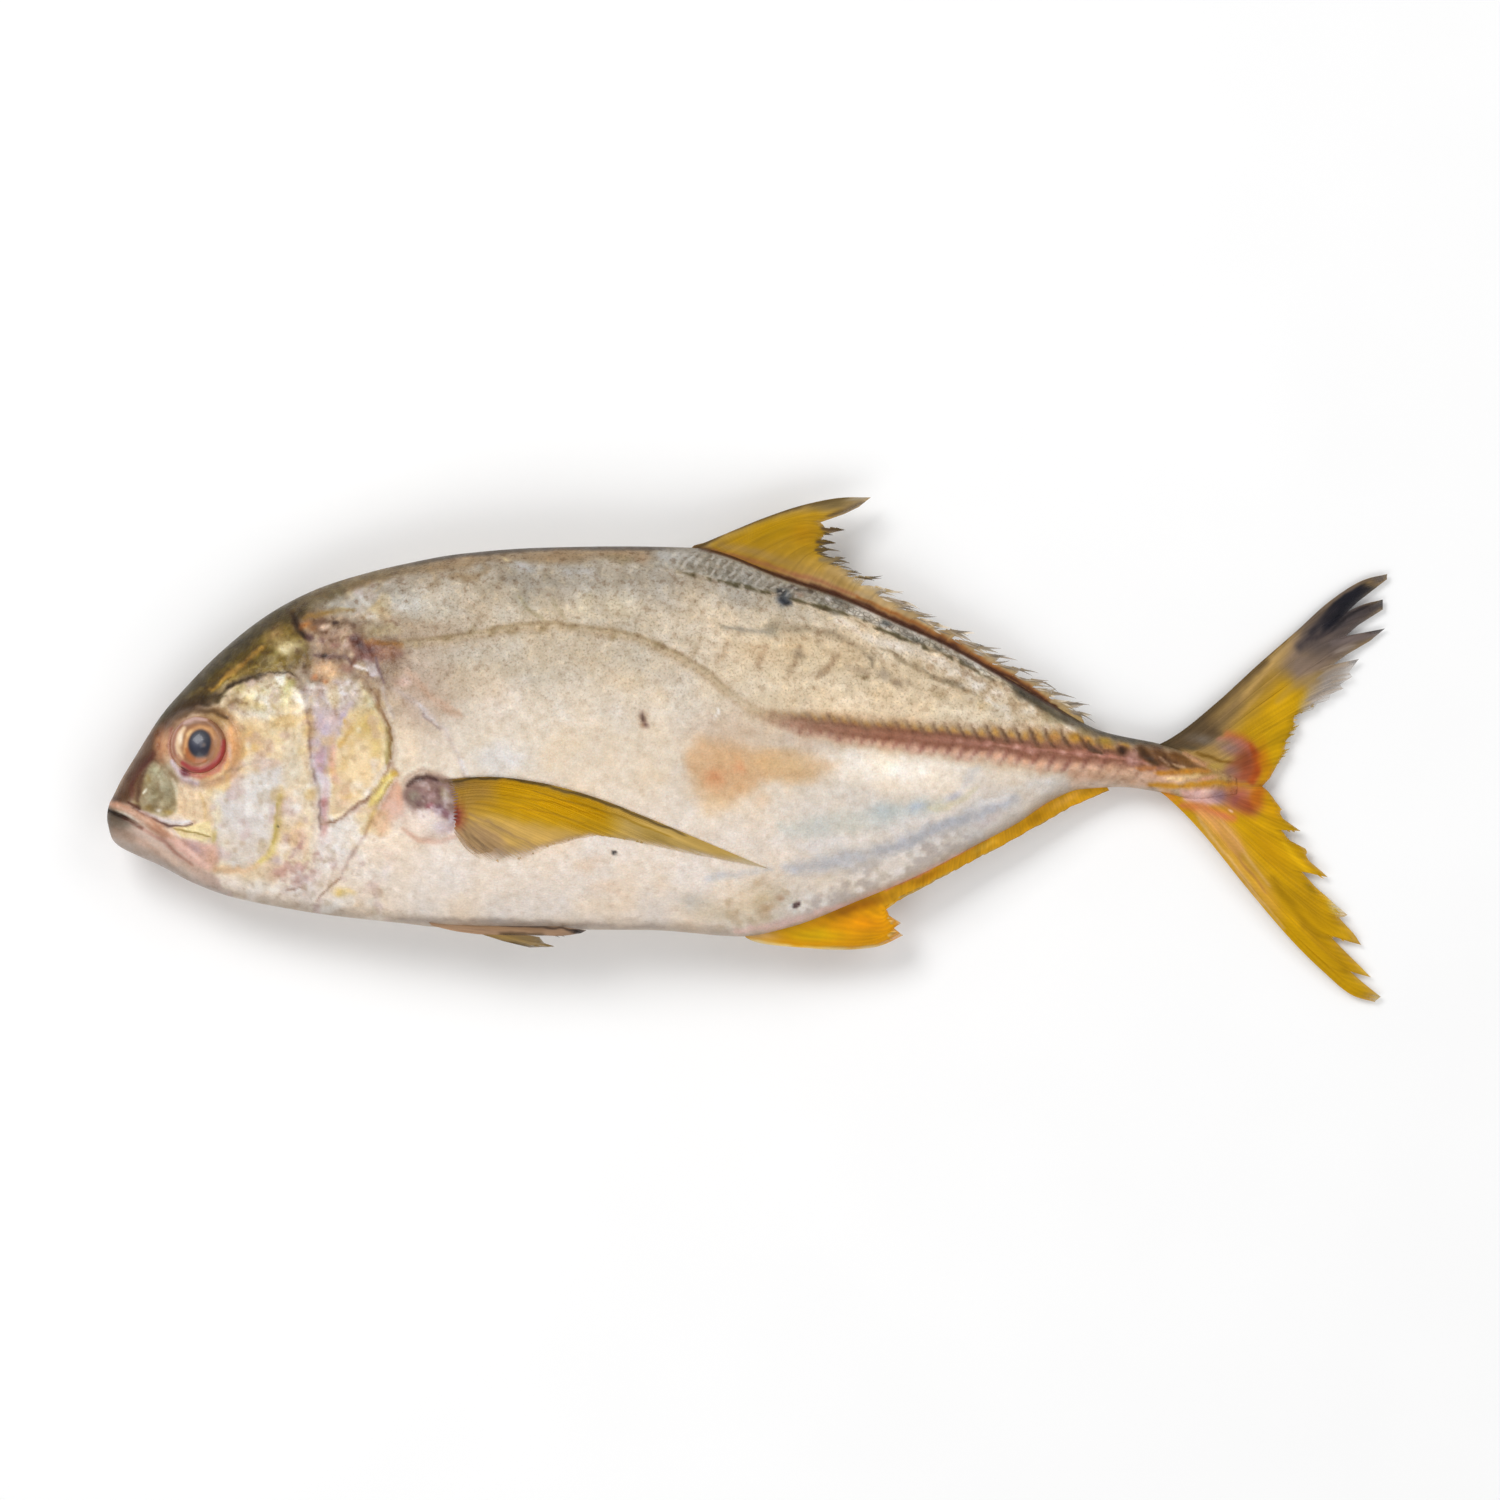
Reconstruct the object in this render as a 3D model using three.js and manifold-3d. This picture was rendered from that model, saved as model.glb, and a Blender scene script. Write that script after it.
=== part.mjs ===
// A whole raw jack, a deep and narrow sea fish, lying on its right side with the left side up.
// Millimetres. +X runs from the snout to the tail, +Y from the belly to the back, +Z up.
// The body, head and fins are one solid. The two eyeballs are solids of their own in its sockets.
import * as THREE from 'three';
import { mergeVertices } from 'three/addons/utils/BufferGeometryUtils.js';
import Module from 'manifold-3d';

const wasm = await Module();
wasm.setup();

// ---------------------------------------------------------------- driving dimensions

const SNOUT_X = -180;
const BODY_END_X = 137; // where the body thins out between the tail's rays
const RING_POINTS = 32; // around one section of the body
const SNOUT_STEPS = [0, 0.6, 1.4, 2.4, 3.6]; // behind the snout's tip
const HEAD_STEP = 2.4;
const HEAD_END_X = -97;
const BODY_STEP = 6;

// Outline of the body without its fins: [x, y] along the back and along the belly.
const BACK = [
  [-180, -16.8], [-179.4, -14.6], [-178.6, -13.2], [-176.4, -8.7], [-172, -1.4], [-165, 9.6],
  [-158.5, 17.1], [-149.5, 26.3], [-138.3, 35.6], [-129.4, 41.2], [-120.4, 45.4], [-111.4, 48.4],
  [-98, 51.8], [-81, 54.9], [-59, 56.6], [-36, 57], [-15, 56.6], [10, 48.4], [25, 43.4], [40, 36.8],
  [55, 30], [70, 21.6], [85, 12.8], [98, 5.6], [104, 4], [115, 1.8], [126, -2], [137, -7.8],
];
const BELLY = [
  [-180, -20.4], [-179.4, -23.2], [-178.6, -25.2], [-176.4, -27.2], [-172, -29.4], [-165, -32.5],
  [-156, -37.2], [-145, -41.2], [-131.6, -44], [-118, -46.2], [-98, -48.4], [-84, -49.8],
  [-56, -50.2], [-28, -50.4], [-2, -52.2], [10.6, -49.8], [31, -42], [47.6, -35], [64, -26.4],
  [75, -20.6], [85, -14], [93, -11], [104, -10.4], [115, -11.8], [126, -14], [137, -12.6],
];
// Half the body's width, the height of its widest line, and the height of its middle plane.
const HALF_WIDTH = [
  [-180, 2.4], [-179.4, 3.6], [-178, 5], [-174, 7], [-165, 10], [-153, 13.2], [-140, 16.2],
  [-125, 19.2], [-110, 21.6], [-95, 22.9], [-75, 23.5], [-50, 23.5], [-25, 22.6], [0, 20.4],
  [25, 17.4], [50, 13.8], [75, 10], [90, 7.6], [104, 6], [115, 5], [126, 3.4], [137, 1.3],
];
const WIDEST_Y = [
  [-180, -18.6], [-165, -12], [-153, -8], [-120, -2], [-80, 2], [-40, 4], [0, 4], [40, 1],
  [80, -2], [104, -4], [137, -9.6],
];
const MIDDLE_Z = [
  [-180, 17], [-150, 19], [-120, 20.5], [-95, 21.3], [-60, 21.7], [-25, 21], [0, 19.5],
  [30, 16.8], [60, 13.4], [90, 9.8], [115, 7], [137, 4.8], [160, 2.8], [180, 1.6],
];
const BACK_FULLNESS = 1.75; // 2 is an ellipse, less is a keener ridge
const BELLY_FULLNESS = 1.95;

const EYE = { x: -153.7, y: 1.3, radius: 8.6, depth: 4.4, sunk: 2.1, rim: 0.8 };
const EYE_GAP = 0.3;
const EYE_SEGMENTS = [22, 12];

// Lines on the side of the head and body: [x, y], each followed by the relief that it carries.
const GILL_EDGE = [
  [-113.5, 23], [-108.5, 21], [-104.5, 16], [-101, 9], [-99, 2], [-100, -5], [-101, -11],
  [-104, -16], [-106.5, -22], [-110.5, -28.5], [-114, -35], [-121, -43],
];
const PREOPERCLE = [
  [-127, 20.5], [-122, 11], [-122, -5], [-119.5, -16], [-120.5, -31], [-129, -39.5],
];
const CHEEK_FOLD = [[-131, -14], [-131, -23], [-136.5, -31.5], [-144, -34], [-151, -34]];
const GAPE = [[-181, -17], [-175.5, -19], [-169, -22.5], [-162.5, -27.5], [-157, -31.5], [-151, -33]];
const UPPER_LIP = [[-178.5, -14.5], [-171, -17], [-163, -21.5], [-151, -24]];
const SCUTES = [[8, 9.5], [28, 6], [48, 3.5], [70, 1], [92, -1.5], [112, -4], [127, -6.5]];
const GILL_STEP = { height: 1.4, edge: 1.6, back: 30 };
const GROOVES = [
  { line: GAPE, depth: 1.9, reach: 1.5 },
  { line: UPPER_LIP, depth: 0.6, reach: 1.4 },
  { line: PREOPERCLE, depth: 0.6, reach: 2.2 },
  { line: CHEEK_FOLD, depth: 0.5, reach: 2 },
];
const SCUTE_RIDGE = { height: 1.9, narrow: 1.2, wide: 4.6, overlap: 7.5, lip: 0.25 };
const PECTORAL_BASE = { x: -88.5, y: -16, halfLength: 8.5, halfHeight: 9, height: 2 };

// Fins. root lies inside the body, lead is the front edge, rear the last ray, and tips runs along the
// torn edge from the end of lead to the end of rear, ray tip by notch by ray tip.
const FIN_ROOT_HALF = 1.2; // half thickness
const FIN_TIP_HALF = 0.6;
const FIN_SAG = 0.2; // how far a fin's edge sinks, per millimetre that it stands out
const DORSAL = {
  rows: 5,
  root: [[-17, 50], [10, 43], [25, 38], [40, 31.5], [55, 24.5], [70, 16], [85, 7.5], [92, 3.5]],
  lead: [[-17, 50], [-14, 57.6], [-8, 60.8], [3, 65], [14, 68.6], [25, 70.9], [34, 71]],
  rear: [[92, 3.5], [94, 7.5]],
  tips: [
    [34, 71], [28, 67], [20.5, 64], [27.5, 62], [22, 60], [24.5, 58], [21.5, 56], [26.5, 53],
    [25, 51.5], [30, 50], [29, 47.5], [41.5, 45.5], [36.5, 43.4], [45.5, 41.2], [43.5, 39.7],
    [51, 38.4], [50, 36.4], [60, 34], [58.5, 32], [68, 30], [66, 27], [73, 24.4], [82.4, 20.6],
    [82, 18.6], [89, 16], [88.4, 13.6], [93, 11.5], [94, 7.5],
  ],
};
const ANAL = {
  rows: 5,
  root: [[-4, -47], [10.6, -44.5], [31, -37], [47.6, -30], [64, -21.5], [80, -11.5], [99, -8]],
  lead: [[-4, -47], [-1, -52.6], [17, -55.6], [28, -56], [36.5, -55], [43, -52]],
  rear: [[99, -8], [101, -11.4]],
  tips: [
    [43, -52], [40, -50], [41, -47.5], [38.5, -44.5], [42, -41.5], [50.5, -37.2], [59, -33],
    [70, -27.5], [81, -21.5], [91, -15.8], [101, -11.4],
  ],
};
const TAIL_UPPER = {
  rows: 7,
  root: [[106, -1], [120, -3], [131, -6], [136, -9.7]],
  lead: [[106, -1], [115, 1.6], [121, 5], [131.5, 13.5], [143, 24], [154, 34], [165, 43.5],
    [173, 48], [180, 49.5]],
  rear: [[136, -9.7], [144.2, -10.8]],
  tips: [
    [180, 49.5], [178.5, 46.5], [165.5, 36.5], [179.4, 42], [178, 39.5], [167.5, 31], [179, 34],
    [174, 29.5], [162, 23], [172, 24.6], [163.5, 14.8], [155, 10.5], [153, 8.5], [154, 6],
    [151, 2.6], [150.6, -0.6], [149, -4], [146.4, -8.4], [144.2, -10.8],
  ],
};
const TAIL_LOWER = {
  rows: 7,
  root: [[106, -8], [120, -11], [131, -11.6], [136, -10.3]],
  lead: [[106, -8], [115, -11.6], [119, -14.8], [127, -23], [139.5, -38.4], [152.5, -53.6],
    [161, -62], [169.5, -69], [176, -71]],
  rear: [[136, -10.3], [143.8, -9.2]],
  tips: [
    [176, -71], [178, -69.8], [169, -62.3], [175.5, -64.5], [168.5, -58], [163, -52.5],
    [173, -55.5], [167, -48], [168.5, -46.6], [161, -40.5], [156, -34.8], [163, -36],
    [158, -31.5], [156.5, -27.8], [153, -26], [150, -23], [155.5, -23], [150.5, -19.5],
    [149, -15.5], [146, -11.4], [143.8, -9.2],
  ],
};
const PECTORAL = {
  rows: 5,
  root: [[-86, -10.5], [-83, -16], [-83.5, -22.5]],
  lead: [[-86, -10.5], [-78, -8], [-70, -7.5], [-56, -9.5], [-42, -13.5], [-28, -19], [5, -33]],
  rear: [[-83.5, -22.5], [-79, -27], [-74, -29]],
  tips: [
    [5, -33], [-8.5, -30.4], [-17, -28.8], [-25, -27], [-34, -25], [-42, -23.4], [-47, -24.6],
    [-53, -26.2], [-59, -28], [-66, -28.8], [-74, -29],
  ],
};
const PECTORAL_PROUD = 1; // above the skin
const PECTORAL_SUNK = 1.2; // below it, so that the fin joins the body
const PELVIC_LEFT = {
  rows: 3,
  root: [[-91, -46.5], [-89, -49]],
  lead: [[-91, -46.5], [-70, -48.4], [-56, -49], [-45.6, -50.4]],
  rear: [[-89, -49], [-83, -50.5], [-76, -51.5]],
  tips: [[-45.6, -50.4], [-47, -51.2], [-52, -52], [-59, -51.9], [-68, -51.8], [-76, -51.5]],
};
const PELVIC_RIGHT = {
  rows: 3,
  root: [[-90, -46], [-87, -48]],
  lead: [[-90, -46], [-76, -49], [-65, -51.4], [-59, -52.4]],
  rear: [[-87, -48], [-76, -51.4], [-69, -53.6]],
  tips: [[-59, -52.4], [-57.4, -54.2], [-54.4, -55.2], [-61.6, -55.4], [-69, -53.6]],
};
const PELVIC_OUT = 4; // each pelvic fin's distance from the middle plane

const HEADROOM = 120; // height of the space kept above the resting plane

// ---------------------------------------------------------------- curves

// A cubic through [x, value] pairs that doesn't overshoot them.
function profile(pairs) {
  const rise = pairs.slice(1).map((pair, i) => (pair[1] - pairs[i][1]) / (pair[0] - pairs[i][0]));
  const slopes = pairs.map((pair, i) => {
    if (i === 0) return rise[0];
    if (i === pairs.length - 1) return rise[i - 1];
    const product = rise[i - 1] * rise[i];
    return product <= 0 ? 0 : (2 * product) / (rise[i - 1] + rise[i]);
  });
  return (x) => {
    let i = 0;
    while (i < pairs.length - 2 && x > pairs[i + 1][0]) i += 1;
    const span = pairs[i + 1][0] - pairs[i][0];
    const t = THREE.MathUtils.clamp((x - pairs[i][0]) / span, 0, 1);
    const [a, b] = [pairs[i][1], pairs[i + 1][1]];
    const hermite = (2 * t - 3) * t * t;
    return a * (1 + hermite) - b * hermite
      + span * t * (1 - t) * ((1 - t) * slopes[i] - t * slopes[i + 1]);
  };
}

// A smooth curve through points, by the share of its length from 0 to 1.
function smoothPath(points) {
  const curve = new THREE.CatmullRomCurve3(points.map(([x, y]) => new THREE.Vector3(x, y, 0)), false, 'centripetal');
  return (share) => curve.getPointAt(share);
}

// The nearest place on a broken line: its distance, its share of the line, and on which side the point
// lies, with 1 to the left of the line's own direction.
function nearest(line, x, y) {
  let best = { distance: Infinity };
  for (let i = 0; i + 1 < line.length; i += 1) {
    const [ax, ay] = line[i];
    const [dx, dy] = [line[i + 1][0] - ax, line[i + 1][1] - ay];
    const t = THREE.MathUtils.clamp(((x - ax) * dx + (y - ay) * dy) / (dx * dx + dy * dy), 0, 1);
    const distance = Math.hypot(x - ax - t * dx, y - ay - t * dy);
    if (distance < best.distance) {
      const side = Math.sign(dx * (y - ay) - dy * (x - ax));
      best = { distance, side, share: (i + t) / (line.length - 1) };
    }
  }
  return best;
}

// 1 at the centre, falling smoothly to 0 at 1.
function bump(ratio) {
  return ratio >= 1 ? 0 : (1 - ratio * ratio) ** 2;
}

// ---------------------------------------------------------------- the body's surface

const backY = profile(BACK);
const bellyY = profile(BELLY);
const halfWidth = profile(HALF_WIDTH);
const widestY = profile(WIDEST_Y);
const middleZ = profile(MIDDLE_Z);

// The gill cover stands proud of the body behind it and fades towards the cheek.
function gillRelief(x, y) {
  const { distance, side } = nearest(GILL_EDGE, x, y);
  const inside = side < 0 && y < GILL_EDGE[0][1];
  if (!inside) return 0;
  const climb = THREE.MathUtils.smoothstep(distance, 0, GILL_STEP.edge);
  return GILL_STEP.height * climb * (1 - THREE.MathUtils.smoothstep(distance, GILL_STEP.edge, GILL_STEP.back));
}

// A row of keeled plates that overlap towards the tail.
function scuteRelief(x, y) {
  const { distance, share } = nearest(SCUTES, x, y);
  const reach = THREE.MathUtils.lerp(SCUTE_RIDGE.narrow, SCUTE_RIDGE.wide, share);
  const saw = THREE.MathUtils.euclideanModulo(x, SCUTE_RIDGE.overlap) / SCUTE_RIDGE.overlap;
  const height = SCUTE_RIDGE.height * share * (1 - SCUTE_RIDGE.lip + SCUTE_RIDGE.lip * saw);
  return x < SCUTES[0][0] ? 0 : height * Math.max(0, 1 - distance / reach);
}

// How far the skin stands out from the plain section, in millimetres.
function relief(x, y) {
  let height = gillRelief(x, y) + scuteRelief(x, y);
  for (const { line, depth, reach } of GROOVES) {
    height -= depth * bump(nearest(line, x, y).distance / reach);
  }
  const eyeRing = Math.hypot(x - EYE.x, y - EYE.y) / EYE.radius;
  height += EYE.rim * bump(Math.abs(eyeRing - 1) / 0.6);
  const base = PECTORAL_BASE;
  height += base.height * bump(Math.hypot((x - base.x) / base.halfLength, (y - base.y) / base.halfHeight));
  return height;
}

// The skin's height over the middle plane at a place on the body's side.
function skinHeight(x, y) {
  const widest = widestY(x);
  const reach = y > widest ? backY(x) - widest : widest - bellyY(x);
  const level = Math.min(1, Math.abs(y - widest) / reach);
  const fullness = y > widest ? BACK_FULLNESS : BELLY_FULLNESS;
  const section = (1 - level * level) ** (1 / fullness);
  return halfWidth(x) * section + relief(x, y) * Math.min(1, 2 * section);
}

function makeMesh(positions, triangles) {
  const geometry = new THREE.BufferGeometry();
  geometry.setAttribute('position', new THREE.Float32BufferAttribute(positions.flat(), 3));
  geometry.setIndex(triangles.flat());
  return geometry;
}

// Section rings from snout to tail, closed with a fan at each end.
function bodyGeometry() {
  const stations = SNOUT_STEPS.map((step) => SNOUT_X + step);
  for (let x = stations.at(-1) + HEAD_STEP; x < HEAD_END_X; x += HEAD_STEP) stations.push(x);
  const rest = Math.round((BODY_END_X - stations.at(-1)) / BODY_STEP);
  const first = stations.at(-1);
  for (let i = 1; i <= rest; i += 1) stations.push(first + ((BODY_END_X - first) * i) / rest);

  const positions = [];
  const triangles = [];
  for (const x of stations) {
    for (let k = 0; k < RING_POINTS; k += 1) {
      const angle = (2 * Math.PI * k) / RING_POINTS;
      const widest = widestY(x);
      const reach = Math.sin(angle) > 0 ? backY(x) - widest : widest - bellyY(x);
      const y = widest + reach * Math.sin(angle);
      const side = Math.abs(Math.cos(angle)) < 1e-9 ? 0 : Math.sign(Math.cos(angle));
      positions.push([x, y, middleZ(x) + side * skinHeight(x, y)]);
    }
  }
  for (let i = 0; i + 1 < stations.length; i += 1) {
    for (let k = 0; k < RING_POINTS; k += 1) {
      const [a, b] = [i * RING_POINTS + k, i * RING_POINTS + ((k + 1) % RING_POINTS)];
      triangles.push([a, b + RING_POINTS, b], [a, a + RING_POINTS, b + RING_POINTS]);
    }
  }
  const last = (stations.length - 1) * RING_POINTS;
  for (const [start, x, turned] of [[0, stations[0], false], [last, stations.at(-1), true]]) {
    const centre = positions.push([x, widestY(x), middleZ(x)]) - 1;
    for (let k = 0; k < RING_POINTS; k += 1) {
      const [a, b] = [start + k, start + ((k + 1) % RING_POINTS)];
      triangles.push(turned ? [centre, b, a] : [centre, a, b]);
    }
  }
  return makeMesh(positions, triangles);
}

// ---------------------------------------------------------------- fins

// The places of a fin's rays: columns from the front ray to the last, rows from root to tip. Each
// place is blended from the four edges of the fin.
function finPlaces({ rows, root, lead, rear, tips }) {
  const [rootAt, leadAt, rearAt] = [root, lead, rear].map(smoothPath);
  const corner = { a: rootAt(0), b: rootAt(1), c: leadAt(1), d: rearAt(1) };
  return tips.map(([tipX, tipY], column) => {
    const t = column / (tips.length - 1);
    return Array.from({ length: rows + 1 }, (_, row) => {
      const s = row / rows;
      const place = leadAt(s).multiplyScalar(1 - t).addScaledVector(rearAt(s), t);
      place.addScaledVector(rootAt(t), 1 - s).addScaledVector(new THREE.Vector3(tipX, tipY, 0), s);
      place.addScaledVector(corner.a, -(1 - s) * (1 - t)).addScaledVector(corner.b, -(1 - s) * t);
      return place.addScaledVector(corner.c, -s * (1 - t)).addScaledVector(corner.d, -s * t);
    });
  });
}

// A closed sheet over a fin's places. faces(x, y, s) gives its upper and lower heights.
function finGeometry(outline, faces) {
  const places = finPlaces(outline);
  const columns = places.length;
  const rows = outline.rows + 1;
  const upper = [];
  const lower = [];
  places.forEach((column) => column.forEach(({ x, y }, row) => {
    const [high, low] = faces(x, y, row / outline.rows);
    upper.push([x, y, high]);
    lower.push([x, y, low]);
  }));
  const shift = upper.length;
  const triangles = [];
  for (let c = 0; c + 1 < columns; c += 1) {
    for (let r = 0; r + 1 < rows; r += 1) {
      const [a, b] = [c * rows + r, c * rows + r + 1];
      for (const [p, q, s] of [[a, b, b + rows], [a, b + rows, a + rows]]) {
        triangles.push([p, q, s], [p + shift, s + shift, q + shift]);
      }
    }
  }
  const rim = [];
  for (let r = 0; r < rows; r += 1) rim.push(r);
  for (let c = 1; c < columns; c += 1) rim.push(c * rows + rows - 1);
  for (let r = rows - 2; r >= 0; r -= 1) rim.push((columns - 1) * rows + r);
  for (let c = columns - 2; c > 0; c -= 1) rim.push(c * rows);
  rim.forEach((a, i) => {
    const b = rim[(i + 1) % rim.length];
    triangles.push([a, a + shift, b + shift], [a, b + shift, b]);
  });
  const area = rim.reduce((sum, a, i) => {
    const [p, q] = [upper[a], upper[rim[(i + 1) % rim.length]]];
    return sum + p[0] * q[1] - q[0] * p[1];
  }, 0);
  const outward = area > 0 ? triangles : triangles.map(([p, q, s]) => [p, s, q]);
  return makeMesh([...upper, ...lower], outward);
}

// A fin in the body's middle plane. It thins from root to tip and sags with its distance from the body.
function middleFin(outline) {
  return finGeometry(outline, (x, y, s) => {
    const out = Math.max(0, y - backY(x), bellyY(x) - y);
    const onTail = THREE.MathUtils.smoothstep(x, 100, BODY_END_X);
    const centre = middleZ(x) - FIN_SAG * out * (1 - onTail);
    const half = THREE.MathUtils.lerp(FIN_ROOT_HALF, FIN_TIP_HALF, s);
    return [centre + half, centre - half];
  });
}

// A fin that lies flat on the body's side. side is 1 on the left and -1 on the right.
function sideFin(outline, side) {
  return finGeometry(outline, (x, y) => {
    const heights = [PECTORAL_PROUD, -PECTORAL_SUNK].map((out) => middleZ(x) + side * (skinHeight(x, y) + out));
    return side > 0 ? heights : heights.reverse();
  });
}

// A pelvic fin folded back along the belly, beside the middle plane.
function pelvicFin(outline, side) {
  return finGeometry(outline, (x, y, s) => {
    const centre = middleZ(x) + side * PELVIC_OUT;
    const half = THREE.MathUtils.lerp(FIN_ROOT_HALF, FIN_TIP_HALF, s);
    return [centre + half, centre - half];
  });
}

// ---------------------------------------------------------------- eyes

// Places an eyeball, or its socket when grown, square to the skin.
function eyeGeometry(side, grown) {
  const step = 3;
  const slope = (dx, dy) => (skinHeight(EYE.x + dx, EYE.y + dy) - skinHeight(EYE.x - dx, EYE.y - dy)) / (2 * step);
  const normal = new THREE.Vector3(-slope(step, 0), -slope(0, step), 1).normalize();
  normal.z *= side;
  const depth = skinHeight(EYE.x, EYE.y) - EYE.sunk;
  const geometry = new THREE.SphereGeometry(1, ...EYE_SEGMENTS);
  geometry.rotateX(Math.PI / 2);
  geometry.scale(EYE.radius + grown, EYE.radius + grown, EYE.depth + grown);
  const turn = new THREE.Quaternion().setFromUnitVectors(new THREE.Vector3(0, 0, side), normal);
  geometry.applyQuaternion(turn);
  geometry.translate(EYE.x, EYE.y, middleZ(EYE.x) + side * depth);
  return geometry;
}

// ---------------------------------------------------------------- joining and cutting

function toSolid(geometry) {
  const bare = geometry.clone();
  bare.deleteAttribute('normal');
  bare.deleteAttribute('uv');
  const merged = mergeVertices(bare, 1e-4);
  const vertProperties = new Float32Array(merged.getAttribute('position').array);
  const triVerts = new Uint32Array(merged.getIndex().array);
  return new wasm.Manifold(new wasm.Mesh({ numProp: 3, vertProperties, triVerts }));
}

function toGeometry(solid) {
  const { vertProperties, triVerts } = solid.getMesh();
  const geometry = new THREE.BufferGeometry();
  geometry.setAttribute('position', new THREE.BufferAttribute(vertProperties, 3));
  geometry.setIndex(new THREE.BufferAttribute(triVerts, 1));
  geometry.computeVertexNormals();
  return geometry;
}

function fishGeometry() {
  const fins = [
    middleFin(DORSAL),
    middleFin(ANAL),
    middleFin(TAIL_UPPER),
    middleFin(TAIL_LOWER),
    sideFin(PECTORAL, 1),
    sideFin(PECTORAL, -1),
    pelvicFin(PELVIC_LEFT, 1),
    pelvicFin(PELVIC_RIGHT, -1),
  ];
  let fish = toSolid(bodyGeometry());
  for (const fin of fins) fish = fish.add(toSolid(fin));
  for (const side of [1, -1]) fish = fish.subtract(toSolid(eyeGeometry(side, EYE_GAP)));
  const above = new THREE.BoxGeometry(-3 * SNOUT_X, -2 * SNOUT_X, HEADROOM);
  above.translate(0, 0, HEADROOM / 2);
  return toGeometry(fish.intersect(toSolid(above)));
}

// ---------------------------------------------------------------- the object

const skin = new THREE.MeshStandardMaterial({ color: 0xd9c9b4, roughness: 0.4, metalness: 0 });
const eye = new THREE.MeshStandardMaterial({ color: 0x3a3430, roughness: 0.12, metalness: 0 });

function addMesh(group, name, geometry, material) {
  const mesh = new THREE.Mesh(geometry, material.clone());
  mesh.name = name;
  group.add(mesh);
}

const jack = new THREE.Group();
addMesh(jack, 'fish', fishGeometry(), skin);
addMesh(jack, 'eye_left', eyeGeometry(1, 0), eye);
addMesh(jack, 'eye_right', eyeGeometry(-1, 0), eye);

export default jack;
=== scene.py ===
"""A whole raw jack on its right side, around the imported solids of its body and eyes.

Sizes are in millimetres until mesh_piece() turns them into metres. +X runs from the snout to the tail,
+Y from the belly to the back, +Z up, out of the side that shows.
"""

import math

import bpy
import numpy as np
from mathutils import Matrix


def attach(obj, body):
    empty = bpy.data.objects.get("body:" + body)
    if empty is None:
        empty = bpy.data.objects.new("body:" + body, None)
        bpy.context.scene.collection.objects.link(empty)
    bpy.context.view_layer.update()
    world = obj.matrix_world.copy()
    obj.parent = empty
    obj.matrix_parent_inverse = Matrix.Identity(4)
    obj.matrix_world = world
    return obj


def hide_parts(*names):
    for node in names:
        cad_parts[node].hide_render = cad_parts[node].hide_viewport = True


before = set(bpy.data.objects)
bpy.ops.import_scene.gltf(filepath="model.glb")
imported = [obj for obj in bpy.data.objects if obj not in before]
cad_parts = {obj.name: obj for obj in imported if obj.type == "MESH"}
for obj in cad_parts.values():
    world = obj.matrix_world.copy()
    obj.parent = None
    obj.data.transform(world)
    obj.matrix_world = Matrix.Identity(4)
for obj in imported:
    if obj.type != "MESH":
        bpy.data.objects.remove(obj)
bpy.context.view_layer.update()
MM = 0.001

# ------------------------------------------------------------------ the body's form, as in the solids

SNOUT_X = -180.0
BODY_END_X = 137.0
BACK = [
    (-180, -16.8), (-179.4, -14.6), (-178.6, -13.2), (-176.4, -8.7), (-172, -1.4), (-165, 9.6),
    (-158.5, 17.1), (-149.5, 26.3), (-138.3, 35.6), (-129.4, 41.2), (-120.4, 45.4), (-111.4, 48.4),
    (-98, 51.8), (-81, 54.9), (-59, 56.6), (-36, 57), (-15, 56.6), (10, 48.4), (25, 43.4), (40, 36.8),
    (55, 30), (70, 21.6), (85, 12.8), (98, 5.6), (104, 4), (115, 1.8), (126, -2), (137, -7.8),
]
BELLY = [
    (-180, -20.4), (-179.4, -23.2), (-178.6, -25.2), (-176.4, -27.2), (-172, -29.4), (-165, -32.5),
    (-156, -37.2), (-145, -41.2), (-131.6, -44), (-118, -46.2), (-98, -48.4), (-84, -49.8), (-56, -50.2),
    (-28, -50.4), (-2, -52.2), (10.6, -49.8), (31, -42), (47.6, -35), (64, -26.4), (75, -20.6), (85, -14),
    (93, -11), (104, -10.4), (115, -11.8), (126, -14), (137, -12.6),
]
HALF_WIDTH = [
    (-180, 2.4), (-179.4, 3.6), (-178, 5), (-174, 7), (-165, 10), (-153, 13.2), (-140, 16.2), (-125, 19.2),
    (-110, 21.6), (-95, 22.9), (-75, 23.5), (-50, 23.5), (-25, 22.6), (0, 20.4), (25, 17.4), (50, 13.8),
    (75, 10), (90, 7.6), (104, 6), (115, 4.7), (121, 3.4), (126, 2.3), (131, 1.3), (134, 0.6), (137, 0.15),
]
WIDEST_Y = [
    (-180, -18.6), (-165, -12), (-153, -8), (-120, -2), (-80, 2), (-40, 4), (0, 4), (40, 1), (80, -2),
    (104, -4), (137, -9.6),
]
MIDDLE_Z = [
    (-180, 17), (-150, 19), (-120, 20.5), (-95, 21.3), (-60, 21.7), (-25, 21), (0, 19.5), (30, 16.8),
    (60, 13.4), (90, 9.8), (115, 7), (137, 4.8), (160, 2.8), (180, 1.6),
]
BACK_FULLNESS = 1.75  # 2 would make the section an ellipse
BELLY_FULLNESS = 1.95
FLAT_BLEND = 1.0  # height over which the underside eases into the flat patch that it lies on

EYE_X, EYE_Y = -153.7, 1.3
EYE_RADIUS, EYE_DEPTH, EYE_SUNK = 8.6, 4.4, 2.1

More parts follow.
